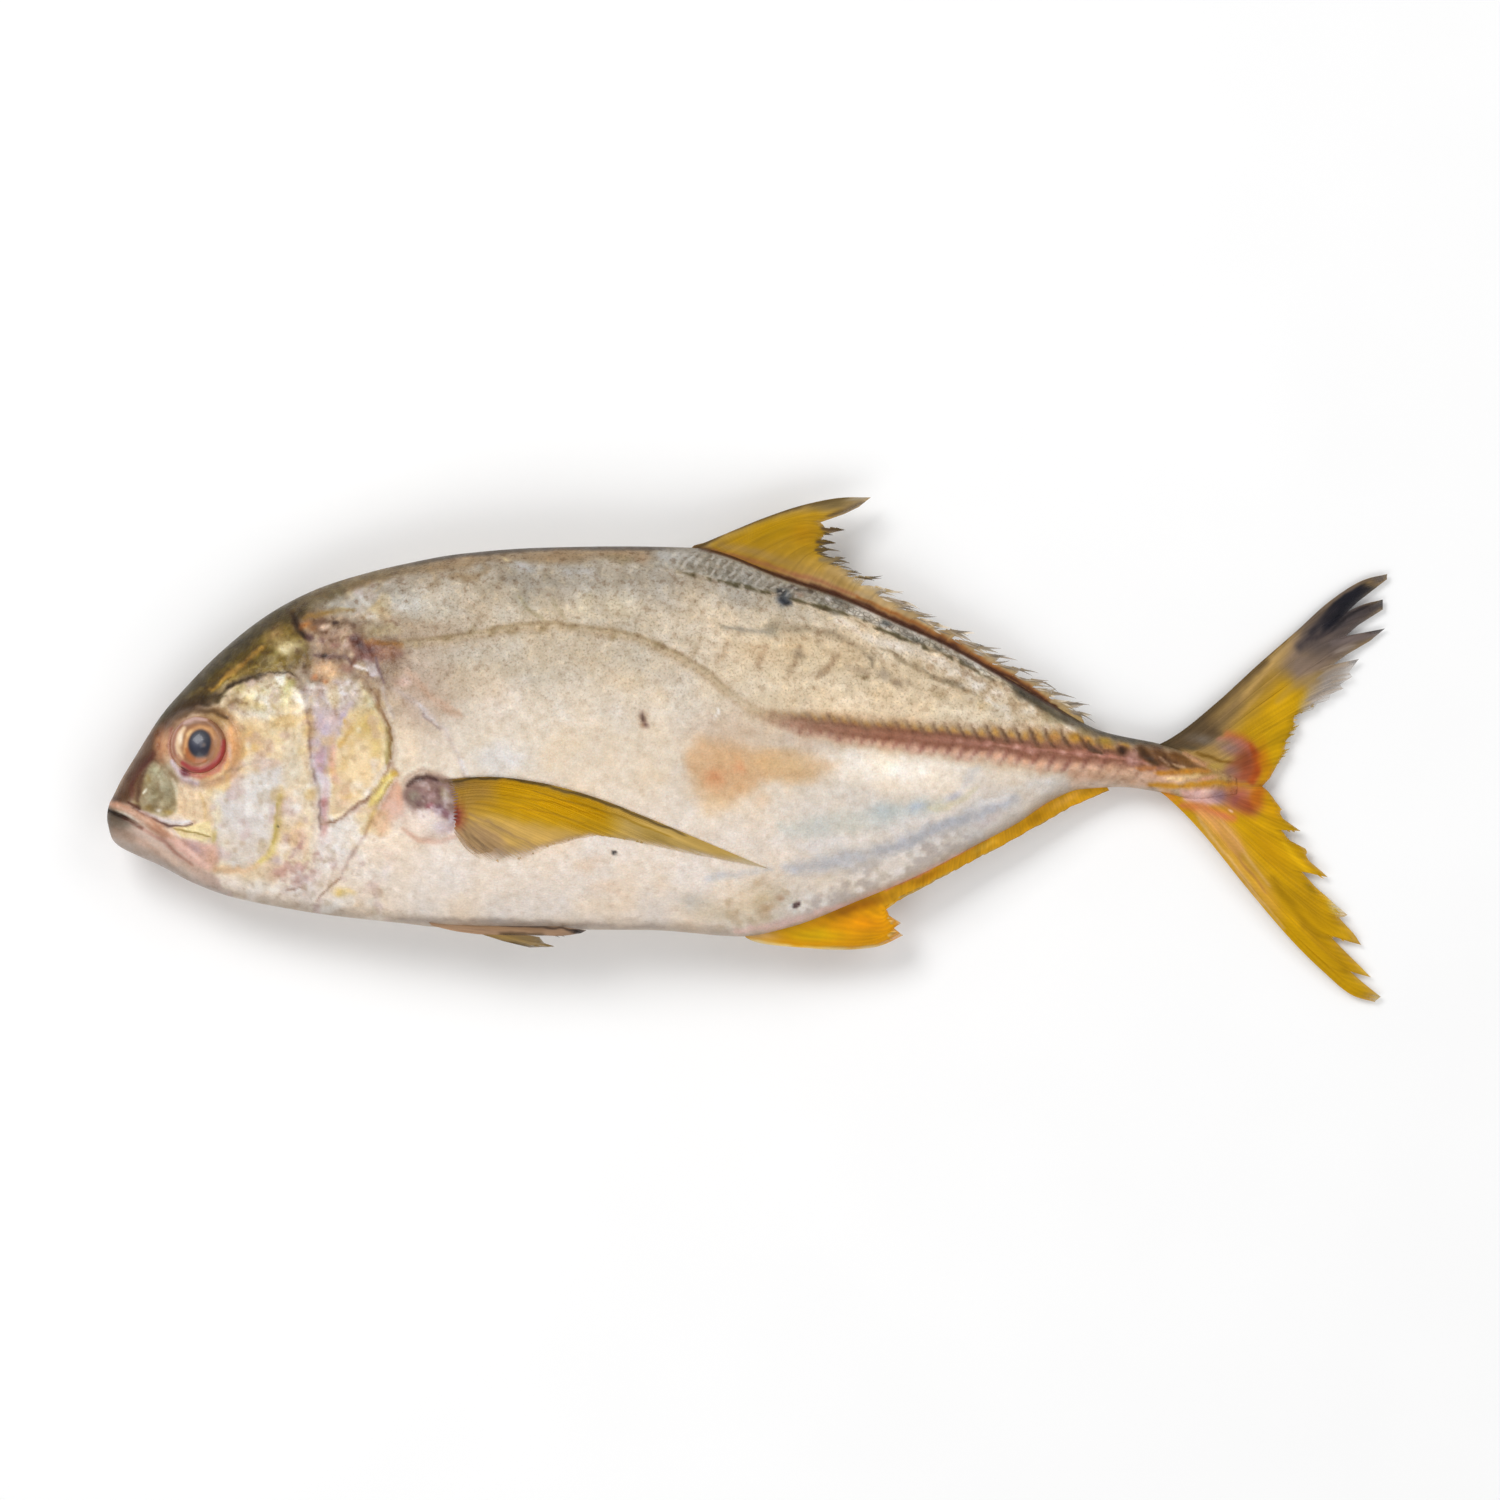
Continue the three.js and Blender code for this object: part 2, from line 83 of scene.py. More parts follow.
# Landmark lines on the head and body.
GILL_EDGE = [
    (-113.5, 23), (-110, 22.5), (-107, 19.5), (-104, 14.5), (-101.5, 9), (-99.6, 4), (-99, 0),
    (-99.8, -4.5), (-97.6, -6.8), (-99, -9.5), (-101.5, -14), (-104.5, -18.5), (-107, -23), (-110.3, -28),
    (-114, -34.5), (-121, -43),
]
OPERCLE_LOW = [(-99.8, -4.5), (-102, -8.8), (-106, -13), (-110, -16), (-114, -19), (-119.5, -20.6)]
PREOPERCLE = [
    (-128, 20.5), (-124.5, 17.5), (-122.2, 12), (-122, 3), (-122.5, -3), (-121, -10), (-120.5, -17),
    (-121, -25), (-120.8, -31), (-124, -36), (-130, -39.5),
]
CHEEK_FOLD = [(-130.5, -14), (-131, -20), (-133, -25.5), (-136.5, -30), (-141, -32.5), (-150, -34.4)]
GAPE = [
    (-181, -16.6), (-178, -17.4), (-173, -19.7), (-169, -21.6), (-164.5, -24.6), (-160, -29.2),
    (-155.5, -32.6), (-150, -34),
]
UPPER_LIP = [(-178, -13.6), (-174, -15), (-168.5, -18.6), (-163, -21.4), (-158, -23), (-151, -24.6)]
LIP_FOLD = [(-164, -21), (-158.5, -21.4), (-155, -20.2)]
MAXILLA_END = [(-151, -22.5), (-148.8, -25), (-148.2, -29), (-149.5, -33)]
LATERAL_ARCH = [
    (-107, 28.5), (-97, 29.5), (-84, 30.6), (-76, 32), (-65, 34.3), (-54, 34.6), (-42, 33), (-31, 31),
    (-22, 27), (-13, 22), (-6, 16), (0, 11.5), (8, 8.2),
]
SCUTE_LINE = [
    (2, 9.6), (12, 7.8), (28, 5.6), (48, 3.4), (70, 1.2), (92, -0.9), (104, -2.4), (116, -4.4), (128, -7),
]
SHEATH_LINE = [
    (-33, 52.5), (-19, 49.6), (0, 45.2), (10, 42.6), (25, 38.6), (41, 32), (57, 25.6), (72, 17.6),
    (84, 9.5),
]
NAPE_SLIT = [(-127.5, 38), (-126.6, 35.6), (-124.6, 33), (-123, 30.8)]
BROW_LINE = [
    (-160, 11), (-155, 12), (-150, 14.6), (-145, 18.4), (-140, 20), (-135, 21), (-130, 21.6),
    (-126.6, 20.4),
]
PECTORAL_BASE = (-88.6, -16, 8.2, 8.8)  # its middle and its two radii
NOSTRILS = [(-165.6, 4.6, 0.5, 0.8), (-165.2, 1.2, 0.5, 1.1)]  # middle and radii of each
VENT_X, VENT_Y = 12.8, -43.3
SCUTE_FIRST, SCUTE_LAST = 2.4, 5.6  # length of a scute at each end of the row
SCUTE_SLANT = 0.45

# ------------------------------------------------------------------ curves and masks


def profile(pairs):
    """A cubic through (x, value) pairs that doesn't overshoot them, as a function of an array."""
    xs, ys = np.array(pairs, float).T
    rise = np.diff(ys) / np.diff(xs)
    product = rise[:-1] * rise[1:]
    total = np.where(product > 0, rise[:-1] + rise[1:], 1.0)
    slopes = np.concatenate((rise[:1], np.where(product > 0, 2 * product / total, 0.0), rise[-1:]))

    def at(x):
        i = np.clip(np.searchsorted(xs, x) - 1, 0, len(rise) - 1)
        span = xs[i + 1] - xs[i]
        t = np.clip((x - xs[i]) / span, 0, 1)
        turn = (2 * t - 3) * t * t
        lean = span * t * (1 - t) * ((1 - t) * slopes[i] - t * slopes[i + 1])
        return ys[i] * (1 + turn) - ys[i + 1] * turn + lean

    return at


def smooth_path(points):
    """A centripetal Catmull-Rom curve through points, by the share of its length from 0 to 1."""
    p = np.array(points, float)
    if len(p) == 2:
        dense = p
    else:
        p = np.vstack((2 * p[0] - p[1], p, 2 * p[-1] - p[-2]))
        knots = np.concatenate(([0.0], np.cumsum(np.linalg.norm(np.diff(p, axis=0), axis=1) ** 0.5)))
        dense = []
        for i in range(1, len(p) - 2):
            t = np.linspace(knots[i], knots[i + 1], 24)[:, None]
            k = knots[i - 1:i + 3]
            near = p[i - 1:i + 3]
            a = [((k[j + 1] - t) * near[j] + (t - k[j]) * near[j + 1]) / (k[j + 1] - k[j]) for j in range(3)]
            b = [((k[j + 2] - t) * a[j] + (t - k[j]) * a[j + 1]) / (k[j + 2] - k[j]) for j in range(2)]
            dense.append(((k[2] - t) * b[0] + (t - k[1]) * b[1]) / (k[2] - k[1]))
        dense = np.vstack(dense)
    length = np.concatenate(([0.0], np.cumsum(np.linalg.norm(np.diff(dense, axis=0), axis=1))))

    def at(share):
        return np.stack([np.interp(share * length[-1], length, line) for line in dense.T], axis=-1)

    return at


def ease(low, high, value):
    """0 below low, 1 above high and smooth between, also where high is the lower of the two."""
    t = np.clip((value - low) / (high - low), 0, 1)
    return t * t * (3 - 2 * t)


def bump(ratio):
    """1 at 0, falling smoothly to 0 at 1."""
    return np.clip(1 - ratio * ratio, 0, 1) ** 2


def nearest(line, x, y):
    """Distance to a broken line, share of its length reached, and 1 on its left or -1 on its right."""
    points = np.array(line, float)
    steps = np.diff(points, axis=0)
    lengths = np.linalg.norm(steps, axis=1)
    start = np.concatenate(([0.0], np.cumsum(lengths)))
    best = np.full(np.shape(x), 1e9)
    share = np.zeros(np.shape(x))
    side = np.ones(np.shape(x))
    for (ax, ay), (dx, dy), length, before in zip(points, steps, lengths, start):
        t = np.clip(((x - ax) * dx + (y - ay) * dy) / length ** 2, 0, 1)
        distance = np.hypot(x - ax - t * dx, y - ay - t * dy)
        closer = distance < best
        best = np.where(closer, distance, best)
        share = np.where(closer, (before + t * length) / start[-1], share)
        side = np.where(closer, np.sign(dx * (y - ay) - dy * (x - ax)), side)
    return best, share, side


def inside(polygon, x, y):
    """Signed distance to a closed polygon's edge, positive inside."""
    distance = nearest(list(polygon) + [polygon[0]], x, y)[0]
    within = np.zeros(np.shape(x), bool)
    for (ax, ay), (bx, by) in zip(polygon, polygon[1:] + polygon[:1]):
        crosses = (ay > y) != (by > y)
        reach = (bx - ax) * (y - ay) / (by - ay if by != ay else 1.0) + ax
        within ^= crosses & (x < reach)
    return np.where(within, distance, -distance)


def noise(x, y, size, seed):
    """Smooth random values from -1 to 1 in patches of a size in millimetres."""
    u, v = x / size + 31.7 * seed, y / size - 17.3 * seed
    i, j = np.floor(u).astype(np.int64), np.floor(v).astype(np.int64)
    fu, fv = u - i, v - j
    fu, fv = fu * fu * (3 - 2 * fu), fv * fv * (3 - 2 * fv)

    def corner(a, b):
        # A scrambled number for each corner of the grid. The factors only have to be large and odd.
        h = (a * 374761393 + b * 668265263 + seed * 974634777) & 0xFFFFFFFF
        h = ((h ^ (h >> 13)) * 1274126177) & 0xFFFFFFFF
        return (h ^ (h >> 16)) / 0xFFFFFFFF * 2 - 1

    low = corner(i, j) * (1 - fu) + corner(i + 1, j) * fu
    high = corner(i, j + 1) * (1 - fu) + corner(i + 1, j + 1) * fu
    return low * (1 - fv) + high * fv


def clouds(x, y, size, seed, octaves=3):
    """Noise summed over octaves, each half the size and strength of the one before."""
    total = sum(noise(x, y, size / 2 ** k, seed + k) / 2 ** k for k in range(octaves))
    return total / (2 - 0.5 ** (octaves - 1))


# ------------------------------------------------------------------ the skin's relief

back_y, belly_y, half_width, widest_y, middle_z = map(profile, (BACK, BELLY, HALF_WIDTH, WIDEST_Y, MIDDLE_Z))


def groove(line, x, y, depth, reach):
    """A furrow along a line, as deep as depth and as wide as twice its reach."""
    return -depth * bump(nearest(line, x, y)[0] / reach)


def gill_relief(x, y):
    """The gill cover stands proud of the body behind it, with a lower step at the opercle's edge."""
    distance, _, side = nearest(GILL_EDGE, x, y)
    step = ease(-0.5, 2.6, distance) * ease(30, 2, distance)
    fall = (0.25 + 0.75 * ease(-18, -4, y)) * ease(24, 14, y)
    proud = 1.1 * step + 0.15 * bump((distance - 1.8) / 1.4)
    height = np.where(side < 0, proud, -0.2 * bump(distance / 2)) * fall
    low, share, side = nearest(OPERCLE_LOW, x, y)
    lap = 0.25 * bump(low / 3.2) * ease(0, 0.1, share) * ease(1, 0.85, share)
    return height + np.where(side < 0, lap, -lap)


def scute_place(x, y):
    """Distance from the row's keel, share of the row reached, side, and place within a scute from 0 to 1."""
    distance, share, side = nearest(SCUTE_LINE, x, y)
    along = np.clip(x - SCUTE_LINE[0][0] + SCUTE_SLANT * distance, 0, None)
    reach = SCUTE_LINE[-1][0] - SCUTE_LINE[0][0]
    growth = (SCUTE_LAST - SCUTE_FIRST) / reach
    phase = np.log1p(growth * along / SCUTE_FIRST) / growth
    return distance, share, side, phase % 1.0


SCUTE_REACH = [
    (2, 1.6), (10, 2.7), (30, 3.7), (50, 4.2), (70, 4.6), (85, 5.7), (100, 5.7), (115, 4.6), (128, 3.4),
]
scute_reach = profile(SCUTE_REACH)


def scute_relief(x, y):
    """Keeled plates, each rising towards its rear edge, and all growing towards the tail."""
    distance, share, _, phase = scute_place(x, y)
    plate = 1 - ease(0.75, 1.1, distance / scute_reach(x))
    rise = 0.35 + 0.65 * phase * ease(1, 0.93, phase)
    keel = bump(distance / (0.5 + 0.6 * share))
    height = plate * rise * (0.25 + 0.75 * share) + keel * (0.15 + 0.95 * share * (0.5 + 0.5 * phase))
    return 0.65 * height * ease(124, 112, x) * ease(2, 30, x)


def sheath_relief(x, y):
    """The scaly sheath stands a little proud of the back."""
    distance, share, side = nearest(SHEATH_LINE, x, y)
    scales = 0.18 + 0.1 * clouds(x, y, 2.4, 43, 2)
    return (side > 0) * ease(0, 0.7, distance) * ease(0, 0.12, share) * scales


FURROWS = [  # each with its depth and reach
    (UPPER_LIP, 0.25, 1.2), (LIP_FOLD, 0.28, 1.1), (MAXILLA_END, 0.2, 1.5), (CHEEK_FOLD, 0.22, 1.8),
    (NAPE_SLIT, 0.9, 1.1), (BROW_LINE, 0.3, 1.6),
]


def head_relief(x, y):
    """The mouth, lips, nostrils and folds of the head."""
    height = groove(GAPE, x, y, 1.5, 0.6) * (0.06 + 0.8 * ease(-169, -176, x))
    for line, depth, reach in FURROWS:
        height += groove(line, x, y, depth, reach)
    distance, share, side = nearest(PREOPERCLE, x, y)
    height -= (0.32 - 0.2 * ease(0.4, 0.7, share)) * bump(distance / 1.9)
    height += 0.2 * bump((distance - 2.8) / 2.4) * (side < 0)
    lip, _, side = nearest(GAPE, x, y)
    height += 0.7 * bump((lip - 2.2) / 1.9) * ease(-150, -158, x) * np.where(side > 0, 1.0, 0.5)
    for px, py, rx, ry in NOSTRILS:
        height -= 0.7 * bump(np.hypot((x - px) / rx, (y - py) / ry) / 1.6)
    wrinkled = ease(-92, -102, x) * ease(-34, -20, y)
    return height + 0.3 * wrinkled * clouds(x, y, 3.6, 73) * (0.5 + ease(8, 22, y))


def eye_relief(x, y):
    """A raised rim round the eye over a hollow that the eyeball fills."""
    r = np.hypot(x - EYE_X, (y - EYE_Y) * 1.02)
    rim = 0.8 * bump((r - 9.1) / 2.4) - 0.25 * bump((r - 12) / 2)
    return rim - 3.4 * ease(8.3, 6.9, r)


def base_place(x, y):
    """Share of the way from the middle of the side fin's root to its lumpy edge."""
    cx, cy, rx, ry = PECTORAL_BASE
    return np.hypot((x - cx) / rx, (y - cy) / ry) * (1 + 0.3 * clouds(x, y, 7, 72, 2))


def base_relief(x, y):
    """The fleshy root of the side fin: folded, steep above and behind, and flowing into the body below."""
    cx, cy, _, _ = PECTORAL_BASE
    r = base_place(x, y)
    steep = ease(-6, 4, x - cx + y - cy)
    lump = 2.1 * np.clip(1 - r * r, 0, 1) ** (1.7 - 0.8 * steep)
    pocket = -0.5 * bump((r - 1.1) / 0.2) * steep
    folds = 0.6 * clouds(x, y, 4.2, 71, 2) * bump(r * 0.85)
    return lump + pocket + folds


def relief(x, y):
    """How far the skin stands out from the plain section."""
    height = gill_relief(x, y) + scute_relief(x, y) + sheath_relief(x, y) + head_relief(x, y)
    height += eye_relief(x, y) + base_relief(x, y)
    height += 0.16 * np.exp(-(nearest(LATERAL_ARCH, x, y)[0] / 0.9) ** 2)
    height -= 0.9 * bump(np.hypot(x - VENT_X, y - VENT_Y) / 1.5)
    height += 0.55 * clouds(x, y, 34, 5) + 0.16 * clouds(x, y, 9, 8)
    return height + 0.05 * clouds(x, y, 2.2, 11)


def section(x, y):
    """How full the body's section is at a height, from 1 at its widest line to 0 at its edge."""
    widest = widest_y(x)
    above = y > widest
    reach = np.where(above, back_y(x) - widest, widest - belly_y(x))
    level = np.clip(np.abs(y - widest) / reach, 0, 1)
    return (1 - level ** 2) ** np.where(above, 1 / BACK_FULLNESS, 1 / BELLY_FULLNESS)


def skin_height(x, y):
    """The skin's distance from the middle plane."""
    full = section(x, y)
    return half_width(x) * full + relief(x, y) * np.clip(2 * full, 0, 1)


def pressed(z):
    """Heights after the underside has been pressed flat by what it lies on."""
    eased = (z + FLAT_BLEND) ** 2 / (4 * FLAT_BLEND)
    return np.where(z > FLAT_BLEND, z, np.where(z < -FLAT_BLEND, 0.0, eased))


# ------------------------------------------------------------------ paint

TAIL_COLOURS_X = 112  # from here on the tail's colours may reach onto the body
FLANK = (222, 207, 188)
UPPER_FLANK = (196, 181, 158)
CREAM = (215, 194, 162)
SHOULDER = (172, 150, 126)
BACK_GREY = (170, 158, 141)
BACK_BROWN = (150, 124, 90)
NAPE_EDGE = (112, 92, 58)
BACK_EDGE = (72, 58, 42)
FIN_SEAM = (66, 34, 22)
BELLY_PALE = (233, 217, 201)
# painted shade for the belly's lower edge
BELLY_EDGE_SHADE = (176, 156, 136)
BLUE_WHITE = (206, 200, 194)
SCUTE_MAUVE = (134, 82, 58)
SCUTE_TAN = (208, 176, 142)
SCUTE_UPPER = (142, 112, 78)
SCUTE_LOWER = (196, 154, 136)
SCUTE_FRONT = (150, 124, 102)
SCUTE_GOLD = (200, 146, 64)
SCUTE_ROSE = (226, 172, 138)
HOOK_BROWN = (90, 58, 34)
HOOK_ROSE = (146, 90, 74)
KEEL_ROSE = (188, 126, 114)
KEEL_HIGHLIGHT = (222, 172, 158)
SHEATH_GREY = (154, 146, 132)
SHEATH_PALE = (206, 196, 184)
SHEATH_DARK = (108, 100, 86)
SHEATH_SEAM = (82, 72, 44)
LINE_TAN = (176, 150, 116)
LINE_DARK = (126, 104, 68)
CLEAR = (0, 0, 0)  # for the marks that make a fin see-through


def blob(x, y, rx, ry, colour, strength=0.8, turn=0, soft=0.9):
    """An ellipse of colour. turn is in degrees, and soft is the share of its radius that fades."""
    return ("blob", (x, y, rx, ry, turn, soft), colour, strength)


def stroke(points, width, colour, strength=0.9, soft=1):
    """A line of colour. width is half its full width."""
    return ("stroke", (points, width, soft), colour, strength)


def area(points, colour, strength=0.9, soft=5):
    """A closed field of colour. soft is the width in millimetres over which its edge fades."""
    return ("area", (points, soft), colour, strength)


def cover(kind, shape, x, y):
    """How much of a mark's colour each place takes."""
    if kind == "blob":
        cx, cy, rx, ry, turn, soft = shape
        c, s = math.cos(math.radians(turn)), math.sin(math.radians(turn))
        u, v = (x - cx) * c + (y - cy) * s, (y - cy) * c - (x - cx) * s
        return ease(1 + soft / 2, 1 - soft, np.hypot(u / rx, v / ry))
    if kind == "stroke":
        points, width, soft = shape
        distance, share, _ = nearest(points, x, y)
        taper = 0.45 + 0.55 * bump(2 * share - 1) ** 0.5
        return ease(width * taper + soft / 2, max(width - soft, 0) * taper, distance)
    points, soft = shape
    return ease(-soft / 2, soft / 2, inside(points, x, y))


def wander(x, y, reach):
    """Places moved about a little, so that what is laid down by them has grown edges."""
    shift_x = 1.1 * clouds(x, y, 5.5, 21) + 0.6 * clouds(x, y, 1.8, 25, 2)
    shift_y = 1.1 * clouds(x, y, 5.5, 22) + 0.6 * clouds(x, y, 1.8, 26, 2)
    return x + reach * shift_x, y + reach * shift_y


def paint(rgb, marks, x, y, reach=1.0, patchy=0.3):
    """Lays marks over colours, with wandering edges and an uneven hold."""
    wx, wy = wander(x, y, reach)
    holds = [1 + patchy * clouds(x, y, 2.6, seed) for seed in (27, 28, 29)]
    for index, (kind, shape, colour, strength) in enumerate(marks):
        share = np.clip(strength * cover(kind, shape, wx, wy) * holds[index % 3], 0, 1)[..., None]
        rgb = rgb + (np.array(colour) / 255 - rgb) * share
    return rgb


def field_of(colour, x):
    """One colour at every place."""
    return np.broadcast_to(np.array(colour) / 255, x.shape + (3,))


def mix(rgb, colour, share):
    """Colours moved towards one colour by a share of the way."""
    return rgb + (np.array(colour) / 255 - rgb) * np.clip(share, 0, 1)[..., None]


CHEEK_MARKS = [
    area([(-150, 17), (-128, 20), (-122, 10), (-121, -30), (-130, -38), (-152, -34), (-158, -16),
          (-150, -8)], (224, 200, 166)),
    # above and behind the eye
    blob(-133, 3, 6, 6, (234, 208, 160), 0.85, 0, 1),
    blob(-140, 1, 5.4, 7.4, (222, 180, 116), 0.9, 0, 1),
    blob(-144.4, 1.5, 2.4, 8, (208, 152, 94), 0.85, 4),
    blob(-134, 15.2, 6, 4.4, (224, 210, 174), 0.85, 10, 1),
    blob(-139.6, 15, 3, 2, (236, 220, 178), 0.85, 20),
    blob(-136, 11, 3.4, 1.6, (206, 190, 142), 0.75, -20),
    blob(-142.4, 17, 2.4, 1.3, (206, 188, 134), 0.8, 30),
    blob(-139.6, 12.2, 3, 1.1, (150, 130, 88), 0.8, -24),
    blob(-144.4, 13, 2.6, 1.8, (116, 88, 52), 0.85, 20),
    blob(-147, 9.4, 2, 2.4, (160, 118, 66), 0.75, 30, 1),
    blob(-129.4, 15, 2.2, 5, (206, 192, 126), 0.8, 6, 1),
    blob(-128, 18.4, 2, 1.4, (170, 152, 88)),
    blob(-126.4, 7, 1.8, 6, (232, 214, 178), 0.7, 6, 1),
    blob(-127.4, -3, 2.2, 8, (226, 214, 192), 0.75, 4, 1),
    blob(-130, 8.8, 3, 0.8, (196, 170, 128), 0.6, -10),
    # below the eye
    blob(-150.8, -8.4, 4, 1.8, (196, 150, 88), 0.85, -16),
    blob(-148.4, -12.4, 3, 2.4, (236, 206, 146), 0.85, -20),
    blob(-146, -7.6, 3, 1.5, (208, 166, 112), 0.75, 14),
    stroke([(-147, -5.8), (-143, -5.4), (-139, -3.8), (-133, -2.2)], 0.4, (168, 142, 106), 0.7, 0.9),
    area([(-149.6, -13.4), (-144, -9), (-138, -5.8), (-130.4, -4), (-129.6, -9), (-131.4, -14),
          (-132.4, -20), (-134.6, -27), (-138, -31.4), (-144, -33), (-148, -31), (-149.4, -24)],
         (214, 205, 198), 0.95, 4),
    blob(-138, -11, 5.4, 4.6, (230, 224, 219), 0.75, 20, 1),
    blob(-142.6, -19, 4, 5.4, (220, 211, 206), 0.7, 10, 1),
    blob(-146.6, -25, 2, 5, (228, 216, 202), 0.7, 6, 1),
    blob(-140, -28.6, 4, 2.4, (206, 194, 184), 0.7, -20, 1),
    blob(-136.4, -20, 2, 4.4, (226, 218, 214), 0.7, 6, 1),
    blob(-148.2, -17.6, 1.5, 3, (230, 216, 168), 0.7),
    stroke([(-143, -8.4), (-142.4, -14), (-144, -20)], 0.5, (202, 190, 180), 0.5, 1.2),
    stroke([(-136, -6.6), (-135.6, -12), (-137.4, -18)], 0.4, (206, 195, 186), 0.45),
    stroke([(-130.6, -13), (-131, -18), (-132.4, -24), (-134.8, -29.6), (-138, -32)],
           1.25, (212, 192, 122), 0.9, 1.5),
    stroke([(-131.6, -15), (-132, -20), (-133.4, -25.6)], 0.5, (188, 168, 76), 0.75, 0.9),
    stroke([(-137, -31.6), (-142, -33.6), (-149, -33.6)], 1.0, (220, 184, 146), 0.85, 1.5),
    blob(-131.5, -21, 0.5, 0.55, (66, 62, 34), 0.9, 0, 0.5),
    blob(-127, -16.6, 2.6, 5, (222, 204, 190), 0.7, 0, 1),
    blob(-129.4, -25, 1.8, 2.2, (206, 188, 186), 0.7, 0, 1),
    blob(-125.6, -25, 2.6, 4.4, (226, 190, 174), 0.8, -10, 1),
    blob(-130, -34, 4.6, 2.6, (208, 166, 154), 0.8, 15, 1),
    blob(-132, -30.4, 2, 1.5, (178, 158, 164), 0.7),
    stroke([(-128.6, -29.4), (-125, -25.6)], 0.6, (170, 126, 122), 0.7),
    stroke([(-126.6, -35), (-123.6, -31)], 0.5, (176, 134, 122), 0.6),
]

GILL_COVER_MARKS = [
    # grey line, lavender band and pale top behind the cheek
    area([(-121.4, 12), (-118, 19), (-111, 19.6), (-108.6, 14), (-112.6, 9.6), (-114.8, 3), (-116.4, -6),
          (-117.4, -16), (-119.4, -20), (-121.4, -9), (-122.4, 2)], (196, 178, 180), 0.95, 2),
    blob(-119, 6, 2.4, 4.4, (184, 168, 182)),
    blob(-119.2, -4, 1.7, 5, (190, 150, 164), 0.8, 4),
    blob(-118.6, -14, 1.5, 5, (192, 134, 132), 0.85),
    blob(-118.6, -22, 1.3, 4, (190, 132, 122), 0.75),
    stroke([(-124.6, 16), (-123.6, 11), (-122.6, 6), (-122.4, 0), (-121.4, -6), (-120.2, -13),
            (-119.8, -22)], 0.55, (138, 112, 106), 0.75, 0.9),
    blob(-123.6, 13, 1.5, 4, (158, 148, 148), 0.75, 10),
    blob(-124.8, 4, 0.9, 5, (206, 190, 166), 0.7),
    blob(-115.6, 15, 4, 3.4, (208, 201, 194), 0.85, 10, 1),
    blob(-112, 17.4, 3, 1.8, (222, 217, 209), 0.8, 10),
    blob(-113.6, 9.4, 1.9, 1.7, (178, 160, 182), 0.8, 20),
    # ochre plate of the opercle
    area([(-113, 9), (-110, 11), (-106, 13), (-103, 10), (-101, 5), (-100.4, 0), (-101.6, -4.6),
          (-104.6, -9.6), (-109, -14.6), (-114.5, -19.2), (-117, -18), (-117.2, -10), (-115.8, -2),
          (-114.6, 4)], (230, 204, 162), 1, 1.8),
    blob(-106.8, 7, 5.4, 4.2, (202, 170, 98), 0.85, -10, 1),
    stroke([(-113, 8.4), (-111, 5.6), (-114, 1)], 0.9, (208, 168, 98), 0.75, 1.4),
    blob(-103.4, 1, 2.4, 6, (216, 186, 118), 0.75, -4, 1),
    blob(-108.6, -3, 4.6, 5, (238, 214, 174), 0.75, 0, 1),
    blob(-115.8, -3.6, 1.4, 7, (226, 174, 148), 0.8, 4),
    blob(-113, -14, 2.8, 3.8, (232, 198, 170), 0.75, -20, 1),
    blob(-105.6, 13.6, 3, 3.4, (178, 152, 98), 0.85, 26),
    # Along the gill cover's edges: the pale stroke is a painted highlight on the raised rim, the olive-yellow
    # one is the edge's colour, and the brown and dark olive ones are partly its colour and partly painted
    # shade below the edges.
    stroke([(-108.4, 18), (-105.4, 14.4), (-103, 10.4)], 0.5, (212, 198, 162), 0.7, 0.8),
    stroke([(-104, 16.4), (-102.6, 11), (-101, 8)], 0.7, (146, 108, 66), 0.8),
    stroke([(-101.2, 6), (-99.9, 1), (-100.8, -4.4)], 0.9, (164, 140, 78), 0.8, 1.1),
    stroke([(-101, 8), (-99.8, 2), (-99.8, -3)], 0.35, (140, 100, 44), 0.75, 0.6),
    stroke(OPERCLE_LOW, 0.5, (156, 118, 92), 0.85, 0.9),
    # yellow and white membranes below it
    stroke([(-98.4, -6.6), (-101, -8.8), (-103.6, -12), (-106, -15.6)], 1.3, (226, 204, 122)),
    stroke([(-99, -8.8), (-101.6, -11.8), (-104.2, -14.8)], 0.5, (176, 146, 66), 0.8, 0.7),
    blob(-98.6, -6.8, 1.7, 1.2, (190, 150, 60), 0.9, -30, 0.8),
    stroke([(-104.6, -14.6), (-105.2, -19), (-106.4, -22.4)], 0.9, (196, 168, 96), 0.7, 1.2),
    area([(-106.6, -15), (-106, -19.5), (-107.6, -24), (-110, -27), (-113, -26), (-117, -22), (-113, -18.6)],
         (230, 219, 208), 0.85, 2),
    stroke([(-107, -17), (-107.8, -22), (-109.4, -26.6)], 0.7, (240, 234, 224), 0.7),
    area([(-98, -9.6), (-96.4, -14), (-98.6, -19), (-102, -23.6), (-105.4, -21), (-103, -15)],
         (216, 172, 152), 0.85, 2.6),
    stroke([(-105, -19), (-107.4, -24.4), (-110.4, -28.4), (-114, -34)], 0.45, (178, 148, 136), 0.75, 0.8),
    area([(-119, -24), (-111, -29), (-115, -37), (-124, -42), (-131, -40), (-124, -35)],
         (228, 213, 202), 0.8, 2.6),
    stroke([(-129.4, -39.4), (-127, -39), (-125, -38.1)], 0.32, (156, 126, 108), 0.7, 0.6),
    stroke([(-121, -42), (-118.6, -39.4), (-116, -37.4), (-114, -34.8)], 0.35, (160, 128, 108), 0.7, 0.7),
    blob(-113.4, -39.6, 3, 1.5, (236, 206, 132), 0.9),
]

